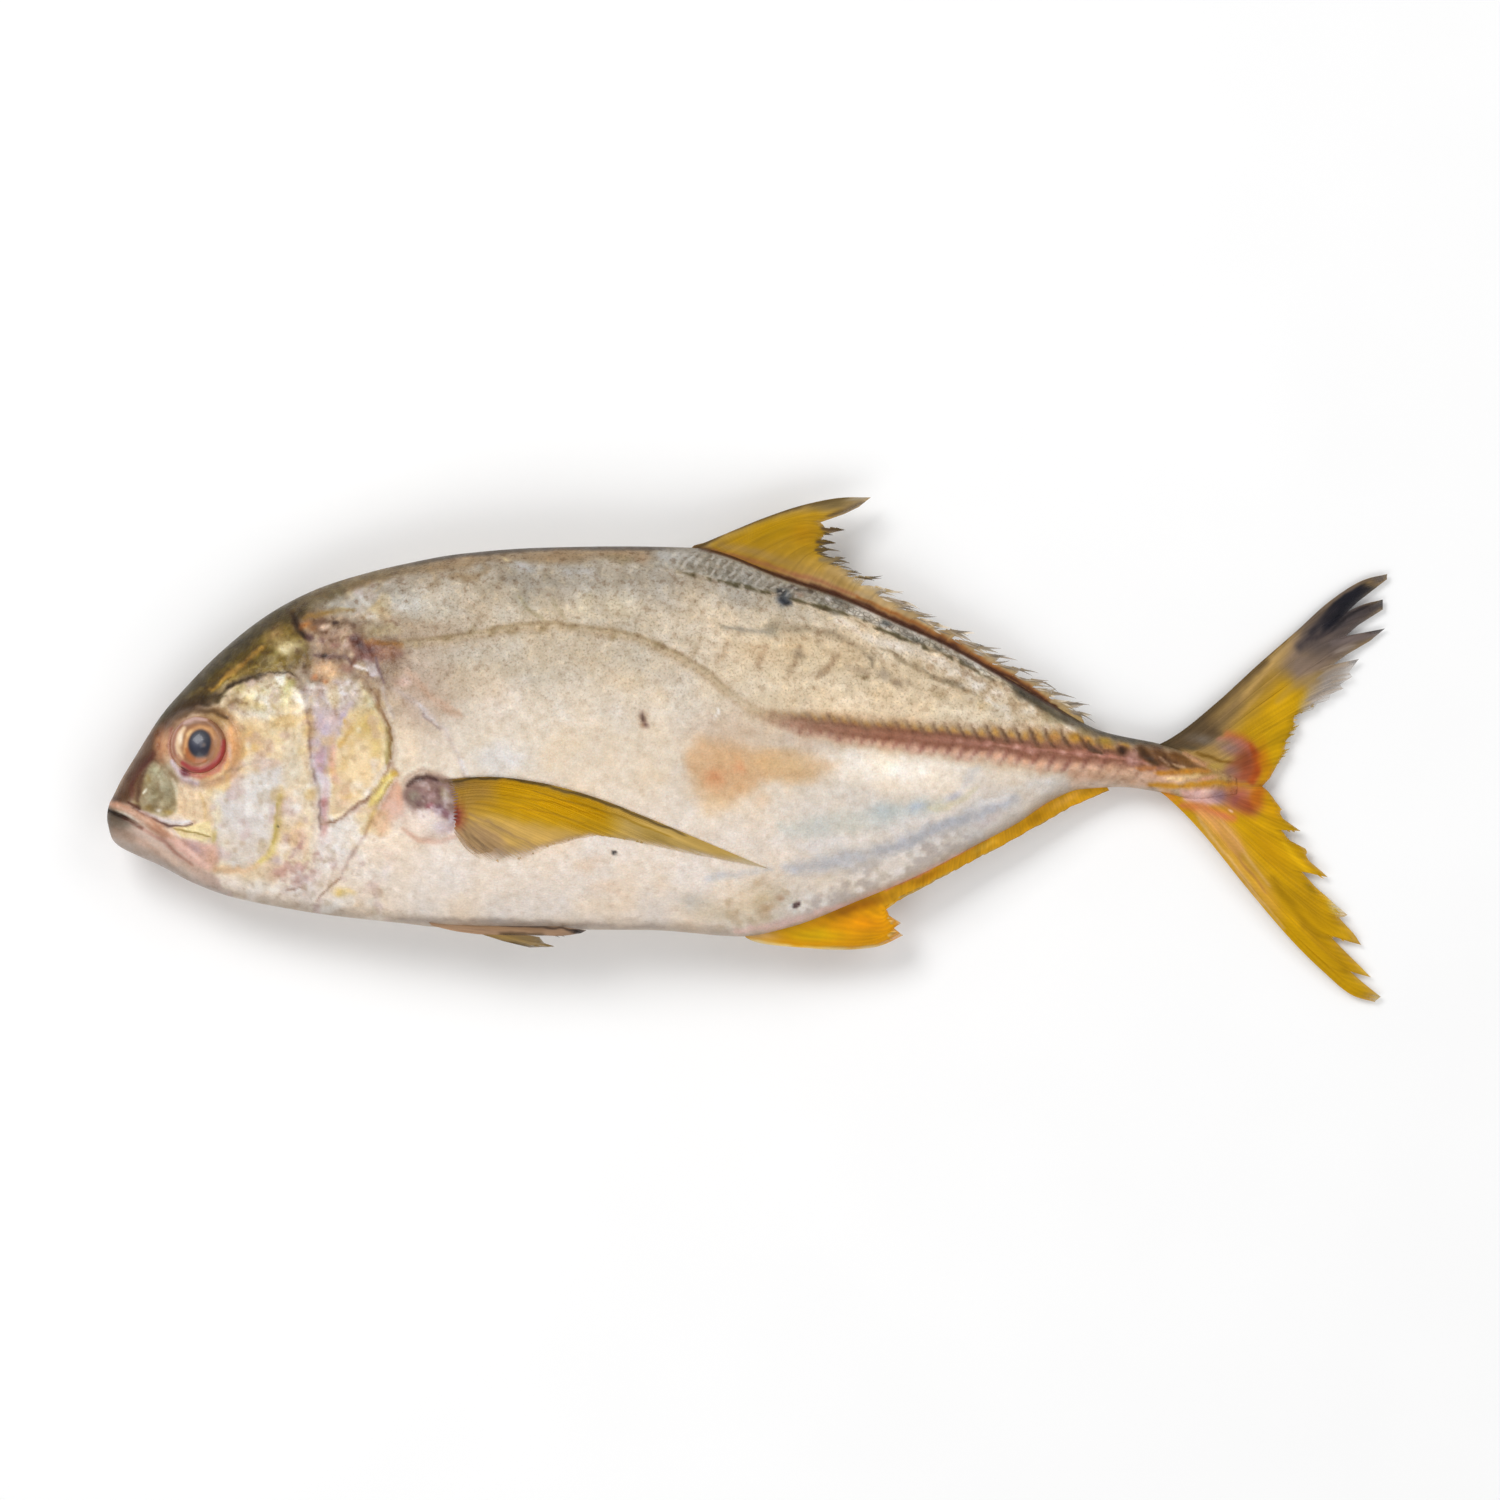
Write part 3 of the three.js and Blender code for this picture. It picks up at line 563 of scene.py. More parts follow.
MOUTH_MARKS = [
    # snout
    area([(-181, -17), (-176, -9), (-171, 0), (-166, 8), (-160, 14), (-157, 10), (-162, 5), (-165.5, 2),
          (-165.6, -2), (-164, -4), (-169.5, -7), (-171, -12), (-174, -14)], (82, 52, 30), 0.95, 3),
    stroke([(-167, -1), (-170, -5.6), (-173, -10)], 1.5, (84, 44, 34), 0.9, 1.6),
    blob(-171.8, -12, 1.6, 2.2, (104, 58, 50), 0.9),
    blob(-170.5, 1, 2, 3.4, (124, 100, 82), 0.7, -30, 1),
    # mottled plate before and below the eye
    area([(-169.6, -6.6), (-167.1, -3.4), (-163.9, -3.4), (-159.8, -6.6), (-159, -12), (-159.8, -17.2),
          (-163.9, -19), (-168.4, -17.6), (-172.6, -15.4), (-171.2, -10.4)], (158, 142, 110), 0.95, 2.6),
    blob(-170.6, -10.6, 1.7, 4, (118, 88, 54), 0.8, -8, 1),
    blob(-170, -15, 2.6, 1.6, (122, 94, 56), 0.8, -30, 1),
    stroke([(-169, -6), (-170.6, -9.6), (-171, -14)], 0.7, (84, 54, 38), 0.8, 1.4),
    blob(-165.6, -6, 3.2, 2.6, (184, 180, 152), 0.85, 10, 1),
    blob(-168, -8.6, 1.4, 1.8, (146, 126, 80), 0.85, 10),
    # two painted glints on the plate
    stroke([(-169.4, -12), (-168.6, -11)], 0.4, (232, 226, 208), 0.85, 0.6),
    stroke([(-164.8, -7.6), (-164, -9.6), (-164.2, -11.4)], 0.5, (200, 194, 170), 0.7),
    stroke([(-161.2, -8), (-159.9, -10.6), (-159.7, -13)], 0.7, (218, 208, 184), 0.85, 0.8),
    blob(-166.6, -12.6, 1.7, 3.4, (122, 110, 78), 0.8, 0, 1),
    blob(-162.6, -11.4, 1.8, 3.6, (136, 128, 100), 0.8, 6, 1),
    blob(-167.8, -16.2, 1.9, 1.2, (142, 116, 64), 0.85, -20),
    blob(-162.6, -17.6, 1.8, 1.0, (184, 160, 92)),
    blob(-165.2, -17, 0.8, 0.6, (230, 224, 214), 0.8, 0, 0.8),
    blob(-171, -16, 1, 1, (84, 58, 40), 0.9, 0, 0.8),
    # folds below the eye
    area([(-159.4, -9.6), (-156, -10.5), (-151, -13), (-150, -21), (-156, -19.4), (-160, -18)],
         (224, 198, 164), 0.95, 1.6),
    stroke([(-158.4, -10.6), (-157.4, -14), (-157.8, -18.4)], 0.35, (200, 168, 138), 0.4, 0.9),
    stroke([(-156, -11), (-154.8, -14.6), (-155, -18.6)], 0.35, (202, 170, 138), 0.4, 0.9),
    stroke([(-153.2, -12.2), (-152, -15.4), (-152, -19)], 0.5, (206, 172, 116), 0.5, 1.1),
    stroke([(-171, -16.8), (-166, -19.4), (-161.6, -20.4), (-156.8, -19.9)],
           0.85, (212, 202, 208), 0.9, 0.9),
    blob(-157.4, -19.9, 1.5, 0.6, (238, 230, 232), 0.85, 0, 0.8),
    area([(-161.6, -21.8), (-151, -20), (-149.6, -24), (-153, -25.6), (-158.4, -24.4)],
         (234, 214, 164), 0.95, 0.9),
    stroke([(-172.6, -16), (-168, -19), (-163, -21.1), (-158.6, -21.4), (-155.8, -20.5)],
           0.34, (84, 56, 52), 0.85, 0.5),
    stroke([(-161, -22.2), (-156, -23), (-150.6, -24.2)], 0.3, (146, 120, 54), 0.85, 0.4),
    blob(-149.4, -24.4, 0.9, 2.6, (190, 168, 96)),
    # lips and jaws
    area([(-180.6, -19), (-179, -22), (-172, -21), (-164, -24.6), (-157, -31.6), (-150, -34.6), (-146, -42),
          (-160, -37), (-170, -31), (-178, -27)], (188, 162, 148), 0.95, 1.6),
    area([(-179, -23.6), (-172, -26), (-163, -31), (-153, -37), (-146, -40), (-148, -45), (-162, -40),
          (-176, -31)], (166, 152, 143), 0.8, 3),
    stroke([(-171, -25.4), (-166, -27.4), (-160, -32)], 1.2, (206, 176, 158), 0.7, 1.8),
    stroke([(-179.4, -14.8), (-174, -16.4), (-169, -19.4), (-164.4, -22.6), (-160.4, -26), (-156.4, -29.4)],
           1.7, (180, 132, 106), 1, 1.4),
    stroke([(-177, -15.7), (-172, -18), (-167, -21)], 0.5, (206, 166, 142), 0.8, 0.8),
    stroke([(-174, -14.2), (-170.4, -16.6)], 0.5, (92, 52, 38), 0.8, 0.8),
    area([(-163, -25), (-158, -24.6), (-153, -26), (-148.6, -26), (-148, -31), (-151, -34), (-156, -31.6)],
         (212, 170, 156), 0.9, 1.8),
    # painted shadow on the maxilla
    blob(-154.8, -27.4, 2.6, 1.2, (172, 142, 140), 0.8, -36),
    blob(-149.9, -30, 1.6, 3.4, (214, 168, 142)),
    stroke([(-170.6, -21.4), (-165, -24.8), (-160.4, -28.8), (-155.6, -32.2)],
           0.4, (176, 128, 114), 0.6, 1.2),
    # Painted shade in the mouth's gape and below it, darkest at the snout's tip and fading back and down.
    area([(-182, -16.4), (-178.6, -16.8), (-174.6, -18.8), (-171.4, -20.8), (-175.6, -22), (-182, -22.4)],
         (96, 80, 66), 0.8, 2.8),
    blob(-177.2, -19.6, 4, 2, (70, 56, 44), 0.75, -26, 1),
    blob(-179.4, -20, 2, 3, (84, 70, 56), 0.75, 0, 1),
    stroke([(-179.8, -17.2), (-177, -18.3), (-174.6, -19.4)], 0.6, (42, 30, 22), 0.85, 1.4),
    stroke([(-175.4, -19), (-172.6, -20.4), (-170, -21.8)], 0.4, (104, 68, 54), 0.7, 1.3),
    blob(-176.6, -22.6, 5, 2.4, (134, 116, 100), 0.6, -24, 1),
]

FOREHEAD_MARKS = [
    area([(-128, 40), (-112, 36), (-98, 31), (-97, 24), (-101, 17), (-106, 18), (-112, 22), (-122, 19),
          (-128, 22), (-130, 30)], (134, 108, 84)),
    blob(-103, 27.4, 8, 3, (136, 90, 62), 0.85, -8, 1),
    blob(-116, 30.4, 6, 3.4, (164, 134, 114), 0.8, -6, 1),
    area([(-168, 6), (-160, 10.4), (-152, 14.4), (-145, 19.4), (-139, 24.4), (-132, 30.4), (-126.6, 35.6),
          (-121, 40), (-114, 44), (-110, 54), (-135, 47), (-162, 24), (-172, 8)], (58, 46, 15), 1, 4),
    stroke([(-166.6, 8.6), (-158, 18), (-149, 27), (-138, 36), (-128, 42), (-118, 46)],
           1.3, (78, 66, 34), 0.7, 1.8),
    area([(-160, 11.6), (-152, 14.6), (-146, 18.4), (-138, 21.2), (-128, 22), (-122.6, 26), (-125, 33.6),
          (-130, 36), (-137, 31), (-144, 25.4), (-152, 18.6)], (100, 78, 18), 0.9, 3.4),
    stroke([(-156, 13.6), (-150, 18), (-143, 23.6), (-136, 29)], 0.8, (74, 56, 24), 0.8, 1.6),
    stroke([(-150, 16.8), (-145, 21), (-140.4, 25), (-136, 28.4)], 0.9, (172, 130, 52), 0.85, 1.3),
    stroke([(-146, 18), (-141, 21.8), (-136, 24.4)], 0.6, (166, 140, 76), 0.7, 1.2),
    blob(-131.6, 36.6, 4.4, 1.9, (70, 56, 26), 0.85, 36),
    blob(-132.6, 32, 3.6, 2.2, (158, 128, 82), 0.8, 40, 1),
    blob(-128.4, 28.6, 4.2, 2.8, (222, 206, 164), 0.9, 8),
    blob(-134, 25.4, 3, 1.2, (200, 182, 130), 0.75, 10),
    blob(-134.6, 22.8, 5, 1.2, (146, 120, 54), 0.8, 8),
    blob(-123.6, 24, 2.4, 1.4, (138, 112, 60), 0.8, 10),
    area([(-162, 9), (-156, 10.4), (-150, 12.6), (-146, 15.4), (-150, 16.4), (-157, 14), (-163, 11.6)],
         (58, 42, 20), 0.9, 1.8),
    blob(-149, 10.6, 2.6, 1.3, (96, 68, 26), 0.8, 15, 1),
    blob(-154.8, 10.4, 0.5, 0.35, (214, 190, 160), 0.8, 0, 0.5),
    stroke([(-148, 15.6), (-144, 18.2), (-139.4, 20), (-136, 20.6)], 0.8, (54, 40, 20), 0.9, 0.9),
    stroke([(-137, 20.6), (-132, 21.3), (-128.6, 21), (-126.6, 20.2)], 0.4, (74, 56, 30), 0.85, 0.6),
    blob(-152.6, 18, 1.3, 0.7, (60, 46, 20), 0.8, 20, 0.8),
    blob(-124, 23, 1.0, 0.7, (92, 66, 38), 0.8, 20, 0.8),
]

NAPE_MARKS = [
    stroke([(-129.4, 39.6), (-127.2, 36.6), (-125.6, 33.8), (-123.8, 31.2)], 0.8, (50, 32, 16), 0.9, 1.6),
    area([(-112.6, 31.4), (-109, 32), (-105, 29.4), (-99, 28.6), (-97, 26), (-103, 25), (-106, 24),
          (-109.4, 26), (-111, 28)], (112, 68, 50), 0.85, 2.4),
    # painted shadow beside the pale lump of the nape
    stroke([(-107, 27), (-109.6, 25.2), (-111.4, 22.8)], 0.9, (98, 56, 42), 0.85, 1.4),
    blob(-112.4, 22.6, 2.4, 1.6, (124, 84, 62), 0.85, -20, 1),
    blob(-102.6, 33, 4.4, 2.8, (146, 130, 98), 0.7, 0, 1),
    blob(-126.4, 39, 3.4, 2.2, (72, 56, 32), 0.85, 30),
    blob(-120.6, 40.6, 4.4, 2.2, (124, 108, 82), 0.8, 14, 1),
    blob(-122.8, 31.2, 1.4, 1.1, (104, 74, 74), 0.8, -40),
    stroke([(-124.6, 36.6), (-120, 37.6), (-115.6, 38.9), (-110.6, 38.9)], 0.9, (140, 106, 50), 0.85, 1.2),
    blob(-123.8, 34.6, 1.7, 1.2, (190, 122, 58), 0.9, 20),
    blob(-121.6, 33.6, 1.2, 0.8, (152, 104, 62), 0.8, -10),
    blob(-116, 35.2, 0.8, 0.7, (52, 34, 28), 0.9, 0, 0.7),
    blob(-118.6, 34.4, 1.8, 0.9, (214, 186, 164), 0.75, 10),
    blob(-113.6, 33.2, 2, 1.1, (206, 176, 152), 0.7),
    blob(-119.6, 30.6, 1.4, 1.1, (122, 86, 76), 0.75),
    blob(-116, 29.2, 1.4, 0.8, (128, 90, 80), 0.75),
    blob(-112.4, 29.2, 1.5, 1.0, (198, 170, 158), 0.75),
    blob(-102.6, 33, 6, 1.8, (170, 148, 110), 0.75, 4, 1),
    blob(-107, 35.4, 3, 1.3, (138, 120, 98), 0.7, 10, 1),
    blob(-110, 42, 7, 2.8, (184, 178, 168), 0.7, 18, 1),
    stroke([(-110.6, 31.2), (-108, 29), (-105.8, 27.4)], 1.0, (82, 44, 38), 0.85, 2),
    stroke([(-107, 30.6), (-102.4, 29.4), (-97, 29.2)], 0.8, (142, 94, 44), 0.85, 1.1),
    blob(-100.6, 27.4, 3.2, 1.5, (170, 120, 82), 0.8, 0, 1),
    blob(-106, 25.4, 2.2, 1.0, (112, 66, 60), 0.8, -20),
    stroke([(-121.4, 26.6), (-117, 26), (-113, 26.4), (-110.6, 24.6)], 0.7, (96, 62, 52), 0.85),
    blob(-112.6, 23, 2.4, 1.5, (146, 104, 80), 0.85, -14),
    blob(-118.6, 26.4, 0.9, 0.6, (46, 32, 26), 0.9, 0, 0.8),
    blob(-118.1, 22, 4, 3.2, (224, 184, 142), 0.95, -10, 0.7),
    blob(-121.4, 20.2, 1.1, 1.0, (190, 124, 80)),
    blob(-118.6, 19, 1.3, 0.7, (204, 142, 98)),
    stroke([(-109.8, 23.8), (-108, 22.6), (-106.2, 21.8)], 0.6, (236, 228, 224), 0.9, 0.8),
    area([(-107, 24.8), (-103.8, 24.6), (-102.8, 20.6), (-105.4, 20.2)], (188, 176, 176), 0.9, 1.2),
    stroke([(-103.6, 26), (-102.9, 22.4), (-102.3, 19)], 0.55, (96, 66, 68), 0.85, 0.8),
    stroke([(-107.4, 20.8), (-104.6, 17.6), (-102.8, 13.4)], 0.7, (168, 142, 112), 0.75),
    blob(-97, 19, 3, 1.8, (206, 172, 160), 0.7, 0, 1),
    stroke([(-102.4, 17.4), (-100.4, 13.4), (-99, 9)], 0.6, (176, 160, 152), 0.6),
]

EYE_RING_MARKS = [
    blob(-164.2, 1, 2.6, 5.4, (190, 128, 84), 0.9),
    blob(-153.6, 1.4, 10.4, 10.2, (196, 148, 112), 0.85, 0, 0.7),
    blob(-148.4, 8.8, 3.8, 2.4, (156, 118, 68), 0.85, -30, 1),
    stroke([(-161.6, 6), (-162, 1), (-160.8, -3.6)], 0.5, (150, 86, 70), 0.6, 1.2),
    stroke([(-145.6, -0.6), (-148.4, -5.6), (-153, -7.8), (-158.6, -6)], 0.7, (176, 96, 84), 0.7, 1.4),
    stroke([(-160.4, 9), (-156, 11), (-150, 10.8), (-146, 8.6)], 0.9, (88, 60, 32), 0.85, 1.1),
    stroke([(-161.4, -3.4), (-158, -8), (-154, -9.6)], 1.1, (200, 180, 184), 0.9, 1.2),
    stroke([(-144.8, 6), (-144.2, 0), (-146, -5)], 1.2, (216, 158, 106), 0.8, 1.4),
    blob(-145, -0.4, 0.8, 3, (214, 184, 176), 0.7, 6),
    blob(-157.6, -6.4, 1.8, 1.1, (96, 34, 48), 0.85, -40, 0.8),
    blob(-149.6, -9.4, 4, 1.4, (206, 168, 132), 0.7, 14, 1),
]

LINE_SPOTS = [
    (-92, 29.4), (-84, 31.2), (-77.4, 33), (-72, 32.6), (-66, 33), (-58, 33.2), (-50, 34), (-38, 32),
    (-26, 29.6),
]

BODY_MARKS = [
    # shoulder behind the gill opening
    blob(-92, 14, 9, 12, (186, 160, 140), 0.7, 20, 1),
    blob(-90, 22, 6, 4, (186, 164, 142), 0.6, -20, 1),
    stroke([(-104, 19), (-97, 15.4), (-91, 11.6), (-85, 6), (-81, -2), (-79.4, -8)],
           0.8, (192, 176, 172), 0.5, 1.6),
    stroke([(-92, 12.6), (-89, 10), (-86, 7)], 0.5, (216, 206, 206), 0.6, 0.8),
    stroke([(-90.6, 10.4), (-87.4, 7.4), (-85, 4.4)], 0.35, (140, 116, 114), 0.6, 0.8),
    stroke([(-95, 22), (-89, 15), (-84, 11.4), (-80, 9.6)], 1.1, (190, 152, 124), 0.6, 2),
    stroke([(-80.6, -2), (-79, -7.6)], 0.6, (232, 224, 220), 0.7, 0.8),
    blob(-95, 1, 4, 7, (236, 212, 182), 0.85, 0, 1),
    blob(-88, 2, 5, 7, (222, 200, 176), 0.6, 0, 1),
    blob(-97.6, -14, 1.8, 5.4, (214, 166, 144), 0.75, 8),
    # back: brown and grey patches
    blob(-96, 40.4, 9, 3.6, (198, 194, 186), 0.9, 8, 1),
    blob(-87, 43.4, 10, 4, (204, 196, 184), 0.8, 5, 1),
    blob(-86, 38.4, 7, 3.2, (200, 194, 182), 0.8, 0, 1),
    blob(-66, 47.6, 5, 2, (146, 136, 122), 0.7, -4),
    blob(-56, 46.6, 4, 2, (156, 146, 130), 0.65),
    blob(-63, 42, 2.2, 3, (160, 150, 128), 0.6, 20),
    stroke([(-63.6, 43), (-61, 39), (-57.6, 35.6)], 0.7, (160, 146, 112), 0.65),
    stroke([(-55, 43), (-52.6, 39), (-51.4, 35.6)], 0.6, (166, 152, 122), 0.6),
    stroke([(-76, 53), (-73, 50.4), (-76, 48), (-84, 48.4)], 1.0, (142, 116, 82), 0.6, 1.4),
    stroke([(-88, 50.6), (-87, 47), (-90, 45.4)], 0.8, (150, 130, 104), 0.6, 1.2),
    blob(-68, 52.8, 1.6, 0.6, (214, 192, 140), 0.7, -10),
    blob(-62, 51, 5, 1.6, (176, 172, 168), 0.6, -6),
    blob(-50, 50.4, 6, 1.8, (172, 168, 164), 0.6, -4),
    blob(-36, 53.4, 5, 1.4, (130, 112, 78), 0.7, -4),
    blob(-46, 40, 5, 4, (214, 196, 164), 0.6, 0, 1),
    blob(-36, 40, 5, 4, (220, 202, 170), 0.6, 0, 1),
    blob(-67, 37.4, 4, 2, (194, 184, 168), 0.6, 0, 1),
    # flank
    blob(-70, 27, 12, 3.6, (198, 190, 178), 0.6, 6, 1),
    blob(-60, 25, 24, 8, (196, 182, 162), 0.75, 4, 1),
    blob(-70, 14, 10, 7, (222, 206, 190), 0.55, 0, 1),
    blob(-68, -2, 9, 5, (222, 218, 216), 0.7, 0, 1),
    blob(-22, 20, 7, 5, (206, 194, 180), 0.5, -20, 1),
    blob(-29.6, 8.6, 1.8, 3, (196, 162, 132), 0.8, 8, 1),
    blob(-29.8, 9.2, 1.1, 1.9, (96, 70, 60), 0.95, 8, 0.8),
    blob(-28.7, 7, 1.4, 1.0, (112, 84, 76), 0.95, 0, 0.8),
    blob(-30.4, 7, 0.9, 0.7, (150, 112, 84), 0.8, 0, 0.8),
    blob(-37.7, -28.8, 0.75, 0.8, (22, 20, 20), 1, 0, 0.3),
    blob(0, -7.2, 0.45, 0.45, (64, 54, 48), 0.95, 0, 0.5),
    blob(-9.6, 10.2, 0.6, 2.0, (255, 252, 248), 1, -24, 0.4),
    # stain above the vent
    blob(-6, 4, 13, 8, (204, 178, 152), 0.85, 0, 1),
    blob(16, 3, 13, 4.4, (206, 182, 160), 0.8, -4, 1),
    area([(-18, -2), (-14, 3), (-6, 1), (4, 0), (16, -1), (24, -4), (18, -9), (6, -8), (0, -12), (-8, -15),
          (-14, -11)], (210, 172, 132)),
    blob(-9, -7, 9, 8, (212, 170, 126), 0.9, 10, 1),
    blob(-9.6, -8, 3.4, 3.2, (212, 150, 104), 0.85, 0, 1),
    blob(-3, -5, 2.4, 2, (216, 154, 110), 0.8, 0, 1),
    blob(-10, -14.4, 6, 4, (226, 192, 150), 0.7, -10, 1),
    blob(10, -4.4, 11, 4.6, (212, 176, 130), 0.95, -6, 1),
    blob(3.6, -14, 3, 2.4, (228, 196, 164), 0.7, 0, 1),
    # upper rear flank: smudges over the muscles and wavy lines
    blob(20, 17, 26, 5, (230, 208, 176), 0.7, -12, 1),
    blob(24, 24, 26, 6, (208, 186, 152), 0.6, -14, 1),
    stroke([(-8, 34), (-3, 33.8), (2, 32.4), (5, 32.4)], 0.8, (150, 140, 124), 0.75, 1.2),
    stroke([(4, 34.6), (14, 34.6), (22, 32.8), (30, 29.4), (34, 26), (34.4, 23.6)],
           1.1, (168, 148, 120), 0.7, 1.8),
    blob(6.6, 33.4, 3, 2.2, (146, 136, 116), 0.75, 0, 1),
    blob(13.4, 33.6, 3, 1.4, (162, 148, 124), 0.65, 0, 1),
    stroke([(36, 29), (42, 26), (47, 23.2), (52, 20.6), (58, 18), (64, 15)],
           0.7, (156, 136, 106), 0.75, 1.2),
    stroke([(48, 23.4), (53, 20.8), (59.6, 17.6)], 0.5, (138, 122, 96), 0.65, 0.8),
    stroke([(24, 36.6), (34, 31.4), (48, 27), (60, 20.8), (70, 15)], 1.5, (232, 218, 202), 0.75, 2),
    stroke([(4, 28.4), (3.2, 26), (2, 23.8)], 1.2, (184, 154, 122), 0.75, 1.6),
    stroke([(-6, 30), (-7, 27), (-9, 24)], 0.9, (182, 156, 126), 0.65, 1.4),
    stroke([(-14, 31), (-15.4, 28), (-17, 26)], 0.9, (178, 156, 128), 0.55, 1.4),
    stroke([(14, 28.6), (12.8, 25.6), (11, 22.6), (9.6, 19.6)], 1.1, (176, 150, 118), 0.75, 1.6),
    blob(13.2, 26.6, 2, 1.7, (142, 126, 104), 0.8, 20),
    stroke([(24.8, 26), (22.4, 23.6), (20, 21.6), (18.8, 20)], 1.0, (162, 134, 102), 0.8, 1.5),
    stroke([(27, 23.4), (30, 22.8), (33, 22)], 1.4, (184, 162, 134), 0.7, 1.6),
    blob(32, 20.7, 1.5, 0.8, (138, 116, 78)),
    stroke([(33, 26.4), (34, 23.8)], 0.4, (120, 106, 84), 0.75, 0.7),
    blob(37.4, 21, 2.6, 1.4, (164, 150, 132), 0.8, -20),
    blob(41, 18.4, 1.9, 1.8, (146, 126, 102)),
    blob(44.6, 19, 2, 0.9, (170, 150, 124), 0.7, -10),
    blob(53, 16.4, 3.6, 1.5, (178, 156, 122), 0.75, -20, 1),
    blob(59.4, 17.4, 1.3, 0.7, (136, 122, 100), 0.7, -20),
    stroke([(28.8, 16), (28, 12.4)], 0.4, (190, 164, 132), 0.65, 0.7),
    blob(65, 12.4, 3.2, 1.4, (186, 162, 120), 0.65, -10, 1),
    blob(30, 12, 16, 3, (236, 218, 192), 0.65, -4, 1),
    blob(58, 11, 10, 3, (234, 215, 184), 0.65, -6, 1),
    blob(74, 13, 5, 2.4, (214, 192, 160), 0.6, -30, 1),
    # back sheath's front
    blob(-20, 53.6, 7, 2.2, (186, 178, 166), 0.6, -12),
    blob(-30, 53.4, 2.4, 2, (176, 146, 112), 0.7),
    # underside of the rear: blue-grey bands of painted sheen between pale ones
    stroke([(10, -33), (24, -31.4), (38, -28), (47, -24.2), (55, -20.6), (62, -18.2), (74, -14)],
           3.0, (188, 187, 192), 0.85, 3.6),
    stroke([(36, -28.4), (44, -25.4), (52, -21.8), (60, -18.6)], 1.5, (178, 178, 184), 0.6, 2.6),
    stroke([(14, -27), (28, -25), (43, -20.6), (55, -17), (66, -11)], 1.8, (230, 220, 213), 0.8, 2.4),
    stroke([(10, -22), (28, -20.4), (44, -17), (54, -14.4)], 3.4, (202, 202, 192), 0.7, 4),
    blob(38, -16.6, 4.4, 2.4, (190, 192, 184), 0.75, 10, 1),
    blob(46.6, -16, 3.4, 1.7, (178, 184, 190), 0.8, 16, 1),
    blob(57, -12.8, 3, 1.8, (184, 184, 198), 0.8, 25),
    stroke([(50, -16.2), (57, -14.8), (60.6, -13), (64, -10.8)], 0.9, (204, 194, 158), 0.5, 1.6),
    blob(22, -21, 8, 3, (206, 202, 192), 0.6, 0, 1),
    stroke([(64, -15.6), (74, -11.4), (84, -8.6)], 1.4, (222, 216, 211), 0.7, 2),
    blob(31, -33.8, 5, 1.3, (186, 182, 184), 0.7, 20, 1),
    blob(52, -24.8, 5, 1.4, (190, 182, 178), 0.65, 24, 1),
    blob(67, -19.4, 5, 1.6, (206, 192, 188), 0.7, 30, 1),
    blob(42, -5.4, 22, 6, (255, 244, 232), 1, -6, 1),
    stroke([(64, -5), (60, -10)], 1.2, (206, 200, 198), 0.6, 1.8),
    # vent and the skin round it
    blob(4, -42, 9, 6, (204, 184, 152), 0.8, 10, 1),
    blob(4.6, -44.6, 2.6, 1.8, (168, 130, 92), 0.7, 20),
    blob(8.4, -41.4, 1.4, 1, (178, 140, 108), 0.7),
    blob(7, -45.6, 2, 1, (220, 204, 190), 0.7, 20),
    blob(-16, -42, 6, 3, (190, 184, 176), 0.7, -10, 1),
    blob(-6, -46, 12, 3.6, (200, 188, 166), 0.7, -6, 1),
    blob(-45, -32, 5, 2.2, (226, 194, 164), 0.65, 20, 1),
    blob(-40, -38, 5, 2.2, (226, 196, 168), 0.6, -10, 1),
    stroke([(-12, -36), (-4, -34.4), (5, -33.2)], 1.0, (190, 188, 188), 0.6, 1.8),
    stroke([(-4, -50.6), (8, -49.4), (20, -45.4), (32, -41.6), (46, -36.4), (60, -29.4)],
           1.5, (220, 184, 172), 0.85, 1.8),
    blob(VENT_X, VENT_Y, 1.35, 1.15, (62, 38, 38), 1, 0, 0.45),
    blob(13.4, -43, 0.6, 0.5, (120, 84, 84), 0.7, 0, 0.5),
    # painted shade along the belly's lower edge and in the groove of the pelvic fins
    stroke([(-98, -47), (-80, -47.6), (-60, -48.4), (-44, -49.4), (-24, -49.6)],
           0.9, (164, 146, 132), 0.75, 1.4),
]
BODY_MARKS += [blob(x, y, 1.7, 1.0, (140, 118, 80), 0.65, 30, 0.9) for x, y in LINE_SPOTS]

SHEATH_MARKS = [
    blob(9.6, 42.6, 2.4, 2.9, (84, 86, 88), 0.95, -10, 0.7),
    blob(8.6, 44.4, 1.3, 1.0, (44, 42, 42), 0.95, 0, 0.8),
    blob(9.3, 41.9, 1.0, 1.0, (38, 40, 46), 0.95, 0, 0.8),
    blob(10.8, 40.7, 1.4, 0.9, (42, 46, 54), 0.95, -14, 0.8),
    blob(12.8, 45.4, 2.2, 0.8, (70, 58, 50), 0.85, -14),
    blob(16.6, 44.4, 1.8, 0.8, (84, 72, 62), 0.8, -14),
    blob(13.8, 43.4, 1.4, 0.9, (150, 120, 100)),
    blob(38, 35.6, 2, 1.0, (74, 76, 76), 0.8, -20),
    blob(24.4, 38, 2, 0.9, (112, 104, 86), 0.8, -20),
    blob(46, 30.8, 2.2, 1.0, (98, 92, 78), 0.8, -24),
    blob(53, 28, 2.2, 0.9, (108, 100, 84), 0.75, -26),
    blob(61, 24, 2.4, 0.9, (112, 104, 88), 0.75, -28),
    blob(22, 42, 1.2, 0.7, (222, 214, 210), 0.8, -20, 0.8),
    blob(-20, 54, 6, 1.8, (190, 188, 184), 0.6, -8),
]

